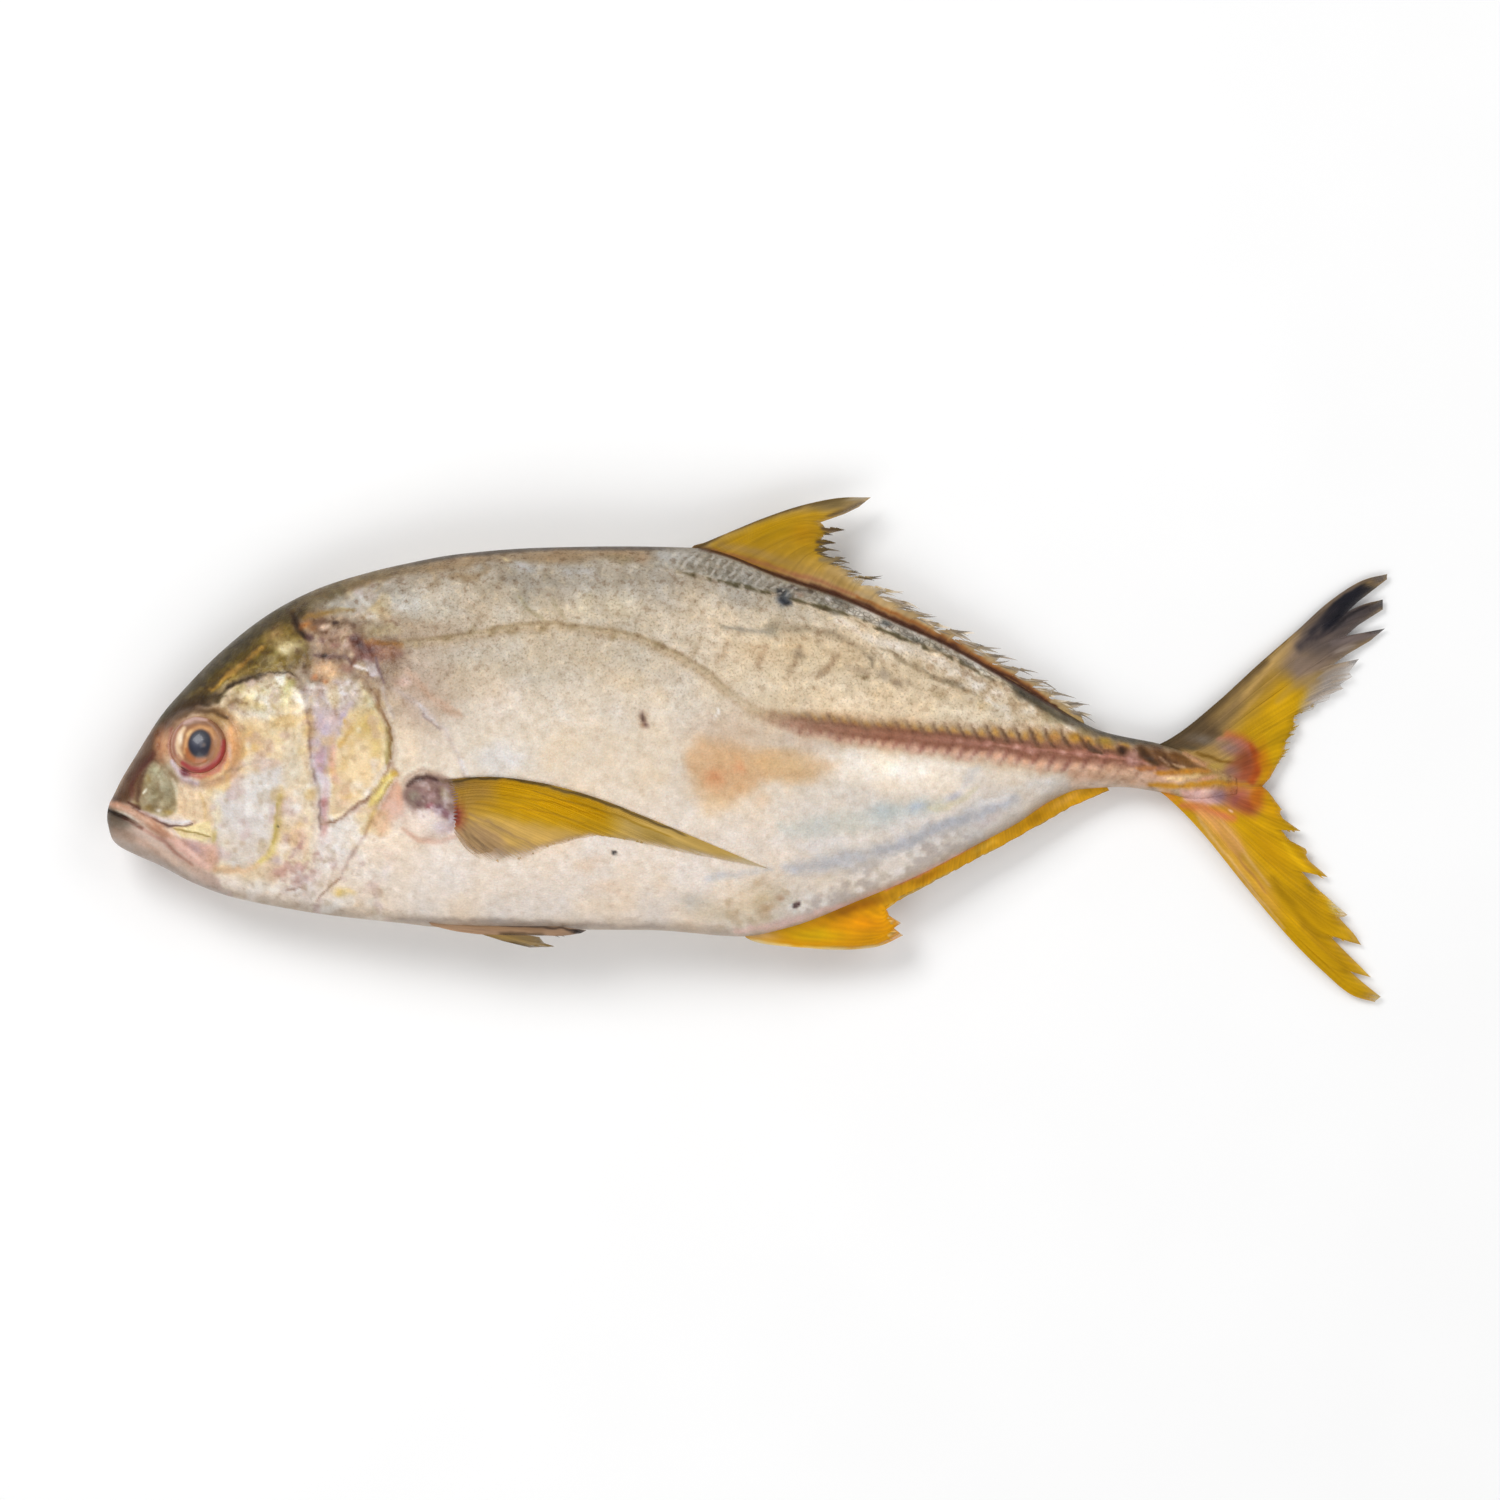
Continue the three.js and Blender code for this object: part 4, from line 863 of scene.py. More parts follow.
PECTORAL_MARKS = [
    blob(-88.6, -17, 9, 9.6, (222, 202, 190), 0.9, 0, 0.8),
    area([(-97, -13), (-95, -9), (-89, -6.6), (-84, -8), (-80.6, -13), (-79.6, -19), (-84, -20), (-88, -16),
          (-93, -17)], (130, 100, 94), 0.95, 2.4),
    blob(-93, -13.6, 2.6, 2.4, (128, 104, 92)),
    blob(-90.4, -10.6, 2, 1.2, (168, 138, 130), 0.8, 30),
    blob(-88.4, -12.6, 1.6, 1.0, (180, 150, 152), 0.8, 20),
    blob(-85.6, -11, 1.6, 1.2, (140, 112, 88), 0.8, -20),
    blob(-83, -14.4, 1.4, 2.6, (132, 100, 86), 0.85, 30, 0.8),
    blob(-88.4, -15.6, 1.6, 0.9, (118, 66, 70), 0.85, 10),
    blob(-84.4, -17.8, 1.8, 1.4, (132, 88, 98), 0.85, -30),
    blob(-86.6, -17.6, 1.0, 1.4, (196, 172, 178), 0.8, 20),
    blob(-91.4, -20, 4.6, 3.4, (234, 218, 208), 0.85),
    blob(-85.6, -21.4, 2.6, 2.4, (222, 206, 212), 0.9, 0, 0.8),
    blob(-83, -20, 1.0, 3, (206, 184, 190), 0.85, -10, 0.8),
    stroke([(-81.6, -15), (-80.6, -19), (-81.4, -23)], 0.7, (150, 84, 76), 0.9, 0.9),
    stroke([(-95, -9.8), (-92.7, -7.7), (-89.8, -6.9), (-86.8, -8.4)], 0.8, (56, 30, 24), 0.9, 1.1),
    blob(-93.4, -13, 1.8, 2.2, (158, 148, 132), 0.8, 10),
    blob(-84.4, -12.6, 1.2, 2.6, (172, 158, 134), 0.85, 34),
    blob(-88.7, -15.2, 1.3, 0.8, (150, 84, 92), 0.8, 10),
    blob(-86, -16.2, 1.4, 1.4, (126, 96, 108)),
    blob(-83, -20.6, 1.2, 2.6, (210, 196, 206), 0.8, -8),
    stroke([(-86.4, -8.4), (-83, -8.4), (-78, -8)], 0.5, (112, 90, 66), 0.8, 0.6),
    # painted shadow below the side fin's fleshy root
    stroke([(-97, -22), (-92, -25), (-86, -25.6), (-81.6, -24)], 0.7, (202, 158, 138), 0.6, 1.4),
    blob(-97.6, -13, 1.2, 4, (212, 164, 138)),
]

TAIL_MARKS = [
    # peduncle: dark olive above and pale below
    area([(70, 23.6), (84, 13.6), (92, 9.6), (98, 6.4), (106, 4), (114, 3), (121, 7), (127, 11), (129, 6),
          (122, 1.4), (114, -0.2), (106, 1.8), (96, 4.4), (86, 8.6), (74, 16)], (72, 62, 42), 0.9, 2.2),
    blob(99.4, 2.6, 3, 1.2, (150, 118, 42), 0.85, -12),
    blob(94, 5.2, 2.4, 1.2, (150, 130, 84), 0.75, -20),
    blob(84, 9, 3.4, 1.5, (166, 150, 112), 0.7, -30, 1),
    blob(91.4, 3.6, 1.8, 1.4, (176, 128, 40), 0.85, -24),
    blob(85.4, 3.4, 1.8, 1.6, (200, 144, 72), 0.85, -24),
    area([(90, -5), (104, -4.6), (118, -6), (128, -8.6), (118, -10.8), (104, -10.6), (90, -10)],
         (208, 164, 132), 0.8, 3),
    blob(97, -9.4, 8, 1.6, (206, 182, 160), 0.8, 0, 1),
    # dark hooks and pale slips of the last plates
    blob(107.4, -2, 2.2, 2.6, (176, 130, 116), 0.8, 0, 1),
    blob(113.4, -1.6, 1.2, 1.6, (176, 138, 118), 0.7, 40),
    stroke([(94.8, 2.6), (95.4, 0.4), (98.4, -1.2)], 1.0, (80, 54, 32)),
    blob(104.3, -0.5, 1.9, 1.7, (62, 36, 16), 0.95, -10),
    area([(108.4, 1), (114, 0.8), (120, -0.2), (124.6, -2.4), (127.8, -4.8), (123, -5.5), (118, -5),
          (113, -4), (110, -2.4)], (112, 74, 42), 0.85, 2.2),
    stroke([(109.6, 0.6), (110.6, -1.2), (112.6, -3), (114, -3.9)], 1.3, (74, 45, 17), 0.9, 1.4),
    stroke([(114.6, -0.6), (116.6, -2.2), (118.4, -4), (120.2, -5.2)], 1.3, (92, 58, 24), 0.85, 1.5),
    stroke([(118.6, -0.6), (121.4, -2.4), (124.4, -4.2), (128, -5.5)], 1.2, (112, 72, 26), 0.8, 1.5),
    stroke([(115.2, -2), (118.2, -4.2)], 0.4, (196, 162, 138), 0.6, 0.8),
    stroke([(119.2, -3.8), (121.8, -5)], 0.5, (206, 172, 140), 0.75, 0.8),
    stroke([(122, -0.8), (125.8, -3.4), (129.4, -4.8)], 0.95, (206, 156, 118), 0.9, 1.2),
    stroke([(125.6, -0.8), (129.4, -2.3), (133.8, -3.2), (137, -3.6)], 0.55, (116, 82, 22), 0.85),
    stroke([(129, -4.6), (133, -4.6), (136, -4.8)], 0.8, (178, 146, 72), 0.8, 1.2),
    stroke([(109, -5.2), (113.4, -4.9)], 0.8, (184, 118, 62), 0.8),
    stroke([(114.4, -6.4), (119, -6.3), (124, -5.9), (129, -5.8)], 1.0, (188, 124, 34), 0.9, 1.2),
    stroke([(117, -8.2), (121, -7.9), (126, -7)], 0.6, (234, 198, 144), 0.85, 0.9),
    blob(128.6, -7.8, 3.8, 0.9, (222, 164, 132), 0.85, 4, 1),
    stroke([(112, -9.6), (120.6, -10), (126.5, -9.4), (133.8, -9.4), (140, -9.7)],
           0.85, (200, 138, 24), 0.9, 1.2),
    # fleshy roots of the tail's rays
    area([(117, 2.4), (122, 6.4), (126.6, 10), (130, 8.6), (132.6, 4.4), (128, 1.2), (120, 0.2)],
         (92, 72, 48), 0.85, 3.6),
    blob(127, 3.2, 5, 1.6, (118, 106, 94), 0.8, -8, 1),
    blob(124, 0.8, 3.4, 0.8, (80, 68, 50), 0.7, -12, 1),
    area([(121, -11), (131, -10.6), (132.6, -15), (128, -16), (121.6, -14.4)], (216, 168, 158), 0.95, 2.4),
    blob(126, -13.2, 3.6, 1.6, (224, 184, 178), 0.8, -10, 1),
    blob(128.6, -11.6, 2, 1.0, (232, 196, 180), 0.7),
    blob(117.8, -12.6, 3, 1.4, (208, 132, 50), 0.85, -30, 1),
    area([(133.6, 1), (138, 2.8), (142, 0), (142.8, -5), (140.6, -9.2), (136, -8.8), (134.6, -5),
          (136.4, -2)], (152, 84, 58), 0.9, 3.2),
    stroke([(134.6, 4.2), (138, 3.2), (141, 0.8), (142.8, -2), (143, -5.4), (141.4, -8.8)],
           1.5, (182, 98, 66), 0.6, 3.2),
    stroke([(140.6, 0.8), (142.8, -2.4), (142.6, -6), (141, -8.8)], 1.3, (170, 74, 20), 0.85, 2.6),
    stroke([(132, 3.2), (136.4, 2.8), (139.6, 0.8), (140.6, -1.6)], 0.8, (178, 108, 96), 0.6, 2),
    blob(139.8, -4.2, 2.8, 4.6, (138, 66, 36), 0.8, 6, 1),
    blob(134.8, 0.8, 4, 2.4, (142, 116, 114), 0.85, -14, 1),
    blob(135.4, -6, 2.6, 2, (146, 108, 98), 0.8, 0, 1),
    blob(145, -3, 2, 6, (190, 116, 8), 0.7, 8, 1),
    blob(145.6, -8, 2.8, 2.4, (196, 136, 8), 0.8, 20, 1),
    blob(132.6, -13, 3, 2.8, (138, 108, 116), 0.9, 0, 1),
    blob(137.4, -13.4, 4, 3.6, (150, 80, 74), 0.9, 0, 1),
    blob(140, -16, 3, 2.4, (160, 70, 38), 0.85, -30, 1),
    blob(143, -13, 2.4, 4, (178, 92, 14), 0.85, -10, 1),
    stroke([(121.6, -15.6), (127, -16.8), (131.6, -18.2), (136, -19.2)], 1.3, (206, 114, 78), 0.75, 2.8),
    blob(135.2, -17, 0.7, 0.35, (232, 190, 180), 0.7, -50),
    stroke([(127, -18), (133, -22), (138, -28)], 2.2, (216, 156, 92), 0.7, 3),
]


def scute_paint(rgb, x, y):
    """Mauve plates with hooked brown joints, gold teeth along the top, rosy ones along the bottom, and a
    painted highlight along the keel.
    """
    wx, wy = wander(x, y, 0.5)
    distance, _, side, phase = scute_place(wx, wy)
    late = ease(40, 78, x)
    length = ease(-4, 22, x) ** 1.5 * ease(124, 112, x)
    above = ease(-0.3, 0.3, side * distance)
    below = 1 - above
    ragged = distance / scute_reach(x) + 0.22 * clouds(x, y, 2.6, 41)
    teeth = ragged + (0.5 - phase) * (0.15 + 0.12 * above) * ease(15, 50, x)
    band = ease(1.25, 0.6, teeth) * length
    rgb = mix(rgb, SCUTE_TAN, 0.6 * ease(1.6, 0.9, ragged) * length)
    rgb = mix(rgb, SCUTE_UPPER, 0.85 * band * above)
    rgb = mix(rgb, SCUTE_LOWER, 0.85 * band * below)
    rgb = mix(rgb, SCUTE_MAUVE, 0.85 * ease(0.85, 0.2, ragged) * length)
    rgb = mix(rgb, SCUTE_FRONT, 0.6 * band * ease(46, 4, x))
    gold = band * above * ease(0.3, 0.65, ragged) * bump((phase - 0.36) / 0.42)
    rgb = mix(rgb, SCUTE_GOLD, gold * (0.4 + 0.55 * late))
    rose = band * below * ease(0.3, 0.7, ragged) * bump((phase - 0.45) / 0.42)
    rgb = mix(rgb, SCUTE_ROSE, rose * (0.35 + 0.6 * late))
    hook = np.clip(ease(0.7, 0.95, phase) + ease(0.14, 0.0, phase), 0, 1) * ease(0.1, 0.35, ragged)
    rgb = mix(rgb, HOOK_BROWN, 0.75 * band * above * hook * (0.25 + 0.75 * late) * ease(104, 94, x))
    rgb = mix(rgb, HOOK_ROSE, 0.6 * band * below * hook)
    keel = ease(0.26, 0.02, ragged) * length
    rgb = mix(rgb, KEEL_ROSE, 0.5 * keel * (0.3 + 0.7 * late))
    # A broken painted highlight along the keel of the rear plates.
    gleam = ease(-0.3, 0.4, clouds(x, y, 3.4, 43))
    return mix(rgb, KEEL_HIGHLIGHT, 0.7 * gleam * keel * late * bump((phase - 0.5) / 0.35))


def sheath_band(x, y):
    """How far a place is within the scaly sheath of the back fin, and the share of its length passed."""
    distance, share, side = nearest(SHEATH_LINE, x, y)
    return (side > 0) * ease(0.1, 1.0, distance) * ease(0.02, 0.14, share) * ease(1.0, 0.9, share), share


def sheath_paint(rgb, x, y):
    """Grey scales on the sheath, a dotted seam under them and a dark bruise across it."""
    band, share = sheath_band(x, y)
    patches = clouds(x, y, 3.2, 43, 2)
    rgb = mix(rgb, SHEATH_GREY, 0.9 * band * ease(1.0, 0.6, share))
    rgb = mix(rgb, SHEATH_PALE, 0.8 * band * ease(0.1, 0.5, patches) * ease(0.3, 0.5, share))
    rear = 0.4 + 0.6 * ease(0.3, 0.5, share)
    rgb = mix(rgb, SHEATH_DARK, 0.7 * band * ease(-0.1, -0.5, patches) * rear)
    distance, share, _ = nearest(SHEATH_LINE, x, y)
    gaps = ease(-0.55, 0.1, noise(x, y, 1.5, 35))
    seam = ease(0.85, 0.15, distance + 0.4 * noise(x, y, 1.6, 44))
    seam = seam * ease(0.02, 0.16, share) * ease(1.0, 0.7, share)
    rgb = mix(rgb, SHEATH_SEAM, 0.9 * seam * gaps)
    return paint(rgb, SHEATH_MARKS, x, y, 0.6)


def speckle(rgb, share, grain, tones):
    """Grains of colour. Each tone has a colour, a strength, and the noise at which it starts and is full."""
    for colour, strength, start, full in tones:
        rgb = mix(rgb, colour, strength * share * ease(start, full, grain))
    return rgb


# Fields of grain: kind and shape of the field, size and seed of its noise, and its tones.
PEBBLES = [
    # pale beads above the root of the under fin
    ("area", ([(10, -45), (24, -36), (40, -29), (56, -23), (64, -24), (50, -32), (32, -40), (16, -46)], 4),
     2.0, 48, [((240, 231, 225), 0.85, 0.0, 0.35), ((186, 173, 166), 0.65, -0.05, -0.4)]),
    # yellow grains round the vent
    ("area", ([(-14, -46), (-8, -38), (2, -35), (12, -38), (16, -43), (6, -49), (-8, -51)], 5),
     2.6, 49, [((182, 156, 124), 0.5, 0.1, 0.6), ((226, 212, 194), 0.5, -0.1, -0.6)]),
    # above the scutes
    ("area", ([(48, 22), (62, 14), (78, 6), (92, 3), (94, 6), (84, 12), (70, 20), (52, 30)], 5),
     1.8, 50, [((170, 140, 106), 0.55, 0.1, 0.5), ((240, 228, 214), 0.6, -0.1, -0.5)]),
]
FLESH_GRAINS = [
    # the plate before the eye
    ("area", ([(-169, -6), (-166, -3.6), (-162, -4.4), (-160, -8), (-160, -16), (-163, -18.4), (-171, -16),
               (-170.4, -11)], 1.6),
     1.7, 61, [((112, 96, 64), 0.4, 0.0, 0.5), ((198, 190, 164), 0.42, 0.0, -0.7)]),
    # the bare flesh at the side fin's root: pale grains of painted highlight on its lumps, dark grains of its
    # own colour
    ("blob", (-88.6, -14, 6.6, 6, 0, 0.7),
     1.5, 62, [((232, 218, 224), 0.6, 0.1, 0.6), ((96, 60, 66), 0.55, -0.1, -0.6)]),
]
# Broken skin: its place, and the tones of its ridges and hollows.
TORN_SKIN = [
    # nape, brow, throat and temple
    ((-112, 30, 16, 9, -8, 0.9), [((84, 52, 36), 0.85, 0.05, 0.5), ((206, 182, 154), 0.6, -0.15, -0.5)]),
    ((-137, 24, 14, 6, 38, 0.9), [((72, 54, 22), 0.5, 0.15, 0.6), ((176, 148, 84), 0.4, -0.15, -0.6)]),
    ((-125, -31, 9, 9, 0, 0.9), [((184, 138, 126), 0.6, 0.1, 0.5), ((234, 218, 206), 0.6, -0.1, -0.5)]),
    ((-134, 14, 11, 6, 0, 0.9), [((172, 148, 92), 0.6, 0.1, 0.5), ((240, 228, 200), 0.6, -0.1, -0.5)]),
]


def grain_paint(rgb, fields, x, y):
    """Lays fields of grain over colours."""
    for kind, shape, size, seed, tones in fields:
        rgb = speckle(rgb, cover(kind, shape, x, y), clouds(x, y, size, seed, 2), tones)
    return rgb


def torn_paint(rgb, x, y):
    """Broken brown, gold and pale skin over the brow and where the head meets the back."""
    torn = clouds(x, y, 4.6, 46) + 0.5 * clouds(x, y, 1.7, 47, 2)
    for place, tones in TORN_SKIN:
        rgb = speckle(rgb, cover("blob", place, x, y), torn, tones)
    return rgb


def cheek_patches(rgb, x, y):
    """Silver, ochre, rosy and brown smears over the head, the ochre ones above its lower edge."""
    head = ease(-96, -106, x) * ease(-160, -150, x)
    rgb = speckle(rgb, head, clouds(x, y, 4.4, 81, 2), [((240, 236, 230), 0.5, 0.15, 0.6)])
    rgb = speckle(rgb, head * ease(-32, -20, y), clouds(x, y, 5, 82, 2), [((206, 166, 88), 0.38, 0.15, 0.6)])
    rgb = speckle(rgb, head, clouds(x, y, 4, 83, 2), [((190, 158, 160), 0.35, 0.2, 0.6)])
    return speckle(rgb, head, clouds(x, y, 2.4, 84, 2), [((166, 140, 104), 0.3, 0.25, 0.6)])


def fin_colours(fin, x, y):
    """A fin's ground colour with its marks."""
    return paint(field_of(fin["ground"], x), fin["marks"], x, y, 0.5, 0.2)


def tail_paint(rgb, x, y):
    """Brings the colours of the tail's rays onto the body's end."""
    far = x[:, 0] > TAIL_COLOURS_X
    if not far.any():
        return rgb
    x, y = x[far], y[far]
    upper, lower = fin_colours(TAIL_UPPER, x, y), fin_colours(TAIL_LOWER, x, y)
    split = ease(-11, -9.4, y)[..., None]
    share = ease(118, 128, x)[..., None]
    own = lower + (upper - lower) * split
    rgb = rgb.copy()
    rgb[far] = rgb[far] + (own - rgb[far]) * share
    return rgb


def skin_colours(x, y):
    """The skin's colours, from its ground tones to its marks, with painted shade in hollows and painted light
    on crests.
    """
    top, bottom = back_y(x), belly_y(x)
    wx, wy = wander(x, y, 1.6)
    level = (wy - bottom) / (top - bottom)
    rough = clouds(x, y, 14, 31)
    level = level + 0.035 * rough
    rgb = field_of(FLANK, x)
    rgb = mix(rgb, BELLY_PALE, ease(0.5, 0.2, level))
    rgb = mix(rgb, CREAM, 0.8 * ease(0.5, 0.66, level) * ease(-30, 10, wx))
    rgb = mix(rgb, UPPER_FLANK, 0.85 * ease(0.56, 0.74, level) * ease(0, -35, wx))
    rgb = mix(rgb, SHOULDER, 0.75 * ease(0.45, 0.7, level) * ease(-66, -92, wx))
    rgb = mix(rgb, BACK_GREY, 0.85 * ease(0.82, 0.92, level) * ease(30, -10, wx))
    depth = top - y + 1.4 * clouds(x, y, 6, 32)
    rgb = mix(rgb, BACK_BROWN, 0.85 * ease(5, 2.4, depth) * ease(-4, -40, wx))
    edge = ease(1.7, 0.5, top - y + 0.5 * rough)
    rgb = mix(rgb, BACK_EDGE, 0.9 * edge * ease(-118, -92, x) * ease(112, 100, x))
    rgb = mix(rgb, BLUE_WHITE, 0.5 * ease(0.45, 0.25, level) * ease(0, 30, x))
    # Painted shade along the belly's lower edge, where the side turns down away from the light.
    rgb = mix(rgb, BELLY_EDGE_SHADE, 0.9 * ease(4.2, 0.4, y - bottom + 0.6 * rough))
    arch, share, side = nearest(LATERAL_ARCH, x, y + 0.5 * clouds(x, y, 3, 34))
    length = ease(0, 0.05, share) * (1 - 0.3 * ease(0.7, 0.9, share))
    rgb = mix(rgb, LINE_TAN, 0.7 * ease(2.2, 0.3, arch) * length)
    ticks = 0.65 + 0.35 * noise(x, y * 0, 1.3, 36)
    upper = ease(0.9, 0.1, np.abs(arch - 0.8)) * (side > 0)
    rgb = mix(rgb, LINE_DARK, 0.65 * upper * ticks * length * ease(1, 0.7, share))
    rgb = paint(rgb, BODY_MARKS, x, y)
    rgb = grain_paint(rgb, PEBBLES, x, y)
    rgb = sheath_paint(rgb, x, y)
    rgb = scute_paint(rgb, x, y)
    rgb = paint(rgb, CHEEK_MARKS + GILL_COVER_MARKS, x, y, 0.9)
    rgb = cheek_patches(rgb, x, y)
    rgb = paint(rgb, MOUTH_MARKS, x, y, 0.4, 0.2)
    rgb = paint(rgb, FOREHEAD_MARKS, x, y, 1.0)
    rgb = torn_paint(rgb, x, y)
    rgb = paint(rgb, NAPE_MARKS, x, y, 0.8)
    rgb = mix(rgb, NAPE_EDGE, 0.85 * ease(4.6, 2, depth) * ease(-84, -106, x) * ease(-134, -118, x))
    rgb = paint(rgb, EYE_RING_MARKS, x, y, 0.4, 0.2)
    rgb = paint(rgb, PECTORAL_MARKS, x, y, 0.5)
    rgb = grain_paint(rgb, FLESH_GRAINS, x, y)
    rgb = paint(tail_paint(rgb, x, y), TAIL_MARKS, x, y, 0.5)
    rgb = mix(rgb, FIN_SEAM, 0.95 * ease(1.3, 0.5, top - y) * ease(-16, -9, x) * ease(95, 82, x))
    amount = skin_mottle(x, y)
    fleck = 0.4 * clouds(x, y, 4.2, 51) + 0.8 * clouds(x, y, 1.7, 54, 2)
    rgb = rgb * (1 + (0.04 + 0.13 * amount) * fleck)[..., None] ** np.array([0.85, 1.0, 1.3])
    warm = 0.03 * clouds(x, y, 9, 57)
    rgb = rgb * np.stack([1 + warm, np.ones_like(warm), 1 - 1.6 * warm], axis=-1)
    # Painted shade: darker where the skin lies below the skin round it, and a little lighter where it stands
    # out.
    crevice_shade = np.clip(crevices(x, y) / 0.35, -0.35, 1)
    return rgb * (1 - 0.17 * crevice_shade)[..., None] ** np.array([0.7, 1.0, 1.15])


def crevices(x, y):
    """How far a place lies below the skin round it, in millimetres."""
    reach = 1.4
    steps = ((reach, 0), (-reach, 0), (0, reach), (0, -reach))
    return sum(relief(x + dx, y + dy) for dx, dy in steps) / len(steps) - relief(x, y)


SMOOTH_SKIN = [
    (-108, -2, 9, 15, 0, 0.6), (-140, -18, 10, 14, 0, 0.6), (-166, -28, 15, 8, -30, 0.6),
    (-168, 4, 6, 22, -28, 0.5),
]


def height_share(x, y):
    """Share of the way from the belly's edge to the back's."""
    return (y - belly_y(x)) / (back_y(x) - belly_y(x))


def skin_mottle(x, y):
    """How blotched the skin is: most on the head and along the back, least on the belly."""
    level = height_share(x, y)
    head = ease(-94, -106, x)
    for smooth in SMOOTH_SKIN:
        head = head * (1 - cover("blob", smooth, x, y))
    body = 0.1 + 0.3 * ease(0.45, 0.8, level) + 0.3 * ease(0.8, 0.95, level) + 0.3 * ease(80, 100, x)
    return np.clip(body * ease(-106, -94, x) + 0.12 + head * (0.25 + 0.45 * ease(0, 20, y)), 0, 1)


def skin_pepper(x, y):
    """How thickly the skin is sprinkled with dark dots: mostly on the upper flank."""
    level = height_share(x, y)
    spread = 0.8 * ease(0.45, 0.75, level) * ease(100, 70, x) + 0.2 * ease(0.3, 0.5, level)
    return spread * (1 - 0.7 * ease(-95, -110, x))


# ------------------------------------------------------------------ meshes


def linear(rgb):
    """Colours from the screen's scale to the scale of light."""
    rgb = np.clip(rgb, 0, 1)
    return np.where(rgb <= 0.04045, rgb / 12.92, ((rgb + 0.055) / 1.055) ** 2.4)


def mesh_piece(name, points, faces, rgb, numbers, material):
    """A piece that rides on the body, from points in millimetres and arrays of faces of one size each."""
    mesh = bpy.data.meshes.new(name)
    mesh.vertices.add(len(points))
    mesh.vertices.foreach_set("co", (points * MM).astype(np.float32).ravel())
    corners = np.concatenate([f.ravel() for f in faces]).astype(np.int32)
    sizes = np.concatenate([np.full(len(f), f.shape[1]) for f in faces])
    starts = np.concatenate(([0], np.cumsum(sizes)[:-1])).astype(np.int32)
    mesh.loops.add(len(corners))
    mesh.loops.foreach_set("vertex_index", corners)
    mesh.polygons.add(len(sizes))
    mesh.polygons.foreach_set("loop_start", starts)
    mesh.polygons.foreach_set("use_smooth", np.ones(len(sizes), bool))
    mesh.update(calc_edges=True)
    colours = np.ones((len(points), 4), np.float32)
    colours[:, :3] = linear(rgb)
    mesh.attributes.new("tint", "FLOAT_COLOR", "POINT").data.foreach_set("color", colours.ravel())
    for key, values in numbers.items():
        mesh.attributes.new(key, "FLOAT", "POINT").data.foreach_set("value", values.astype(np.float32))
    mesh.materials.append(material)
    piece = bpy.data.objects.new(name, mesh)
    bpy.context.scene.collection.objects.link(piece)
    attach(piece, "root")
    return piece


def grid_faces(rows, columns, wrap_columns=False, flip=False):
    """Quads over a grid of points stored row by row."""
    width = columns if wrap_columns else columns - 1
    r, c = np.meshgrid(np.arange(rows - 1), np.arange(width), indexing="ij")
    a = (r * columns + c).ravel()
    b = (r * columns + (c + 1) % columns).ravel()
    quads = np.stack([a, b, b + columns, a + columns], axis=1)
    return quads[:, ::-1] if flip else quads


# Steps along the head and along the body in millimetres, and points round each ring.
SHOWN_MESH = (0.42, 0.75, 190)
HIDDEN_MESH = (1.1, 1.4, 90)
HEAD_END_X = -95


def stations(head_step, body_step):
    """Places along the body, closest at the snout."""
    snout = SNOUT_X + np.array([0, 0.12, 0.3, 0.6, 0.9, 1.25])
    head = np.arange(snout[-1] + head_step, HEAD_END_X, head_step)
    rest = np.linspace(head[-1], BODY_END_X, int((BODY_END_X - head[-1]) / body_step) + 1)[1:]
    return np.concatenate((snout, head, rest))


HALF_HEIGHT, HALF_THICKNESS = 52, 23  # the body's, where it is fullest


def ring_angles(count):
    """Angles from belly to back at even steps along an ellipse of the body's proportions."""
    angle = np.linspace(-math.pi / 2, math.pi / 2, 2001)
    steps = np.hypot(np.diff(np.sin(angle)) * HALF_HEIGHT, np.diff(np.cos(angle)) * HALF_THICKNESS)
    length = np.concatenate(([0.0], np.cumsum(steps)))
    return np.interp(np.linspace(0, length[-1], count), length, angle)


def fan(start, count, turned):
    """Triangles that close a ring of points from its middle one."""
    apex = count // 2
    fans = [(apex, k, (k + 1) % count) for k in range(count) if apex not in (k, (k + 1) % count)]
    fans = np.array(fans) + start
    return fans[:, ::-1] if turned else fans


def skin_piece(name, side, head_step, body_step, count, material):
    """One flank from belly to back, closed along the body's middle plane. side is 1 on the left."""
    xs = stations(head_step, body_step)
    angles = ring_angles(count)
    x = np.repeat(xs[:, None], count, axis=1)
    widest = widest_y(x)
    reach = np.where(np.sin(angles) > 0, back_y(x) - widest, widest - belly_y(x))
    y = widest + reach * np.sin(angles)
    height = skin_height(x, y)
    height[:, [0, -1]] = 0
    z = middle_z(x) + side * height
    if side < 0:
        z = np.maximum(pressed(z), LYING_GAP)
    points = np.stack([x, y, z], axis=-1).reshape(-1, 3)
    skin = grid_faces(len(xs), count, wrap_columns=True, flip=side > 0)
    ends = np.vstack((fan(0, count, side < 0), fan((len(xs) - 1) * count, count, side > 0)))
    rgb = skin_colours(x, y).reshape(-1, 3)
    band, share = sheath_band(x, y)
    band = band * ease(1.0, 2.2, back_y(x) - y)
    numbers = {
        "pepper": skin_pepper(x, y).ravel(),
        "mottle": skin_mottle(x, y).ravel(),
        "ridges": (band * ease(0.5, 0.36, share)).ravel(),
        "mosaic": (band * ease(0.34, 0.5, share)).ravel(),
    }
    piece = mesh_piece(name, points, [skin, ends], rgb, numbers, material)
    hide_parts("fish")


# ------------------------------------------------------------------ fins

FIN_SAG = 0.2  # how far a middle fin sinks for each millimetre out from the body
PELVIC_OUT = 4  # distance of a pelvic fin from the middle plane
STRAND_CUTS = 7  # sections of a loose ray
LEAST_CLEARNESS = 0.12  # how solid the clearest membrane is
LYING_GAP = 0.3  # room left under the skin for the fin that is folded beneath it

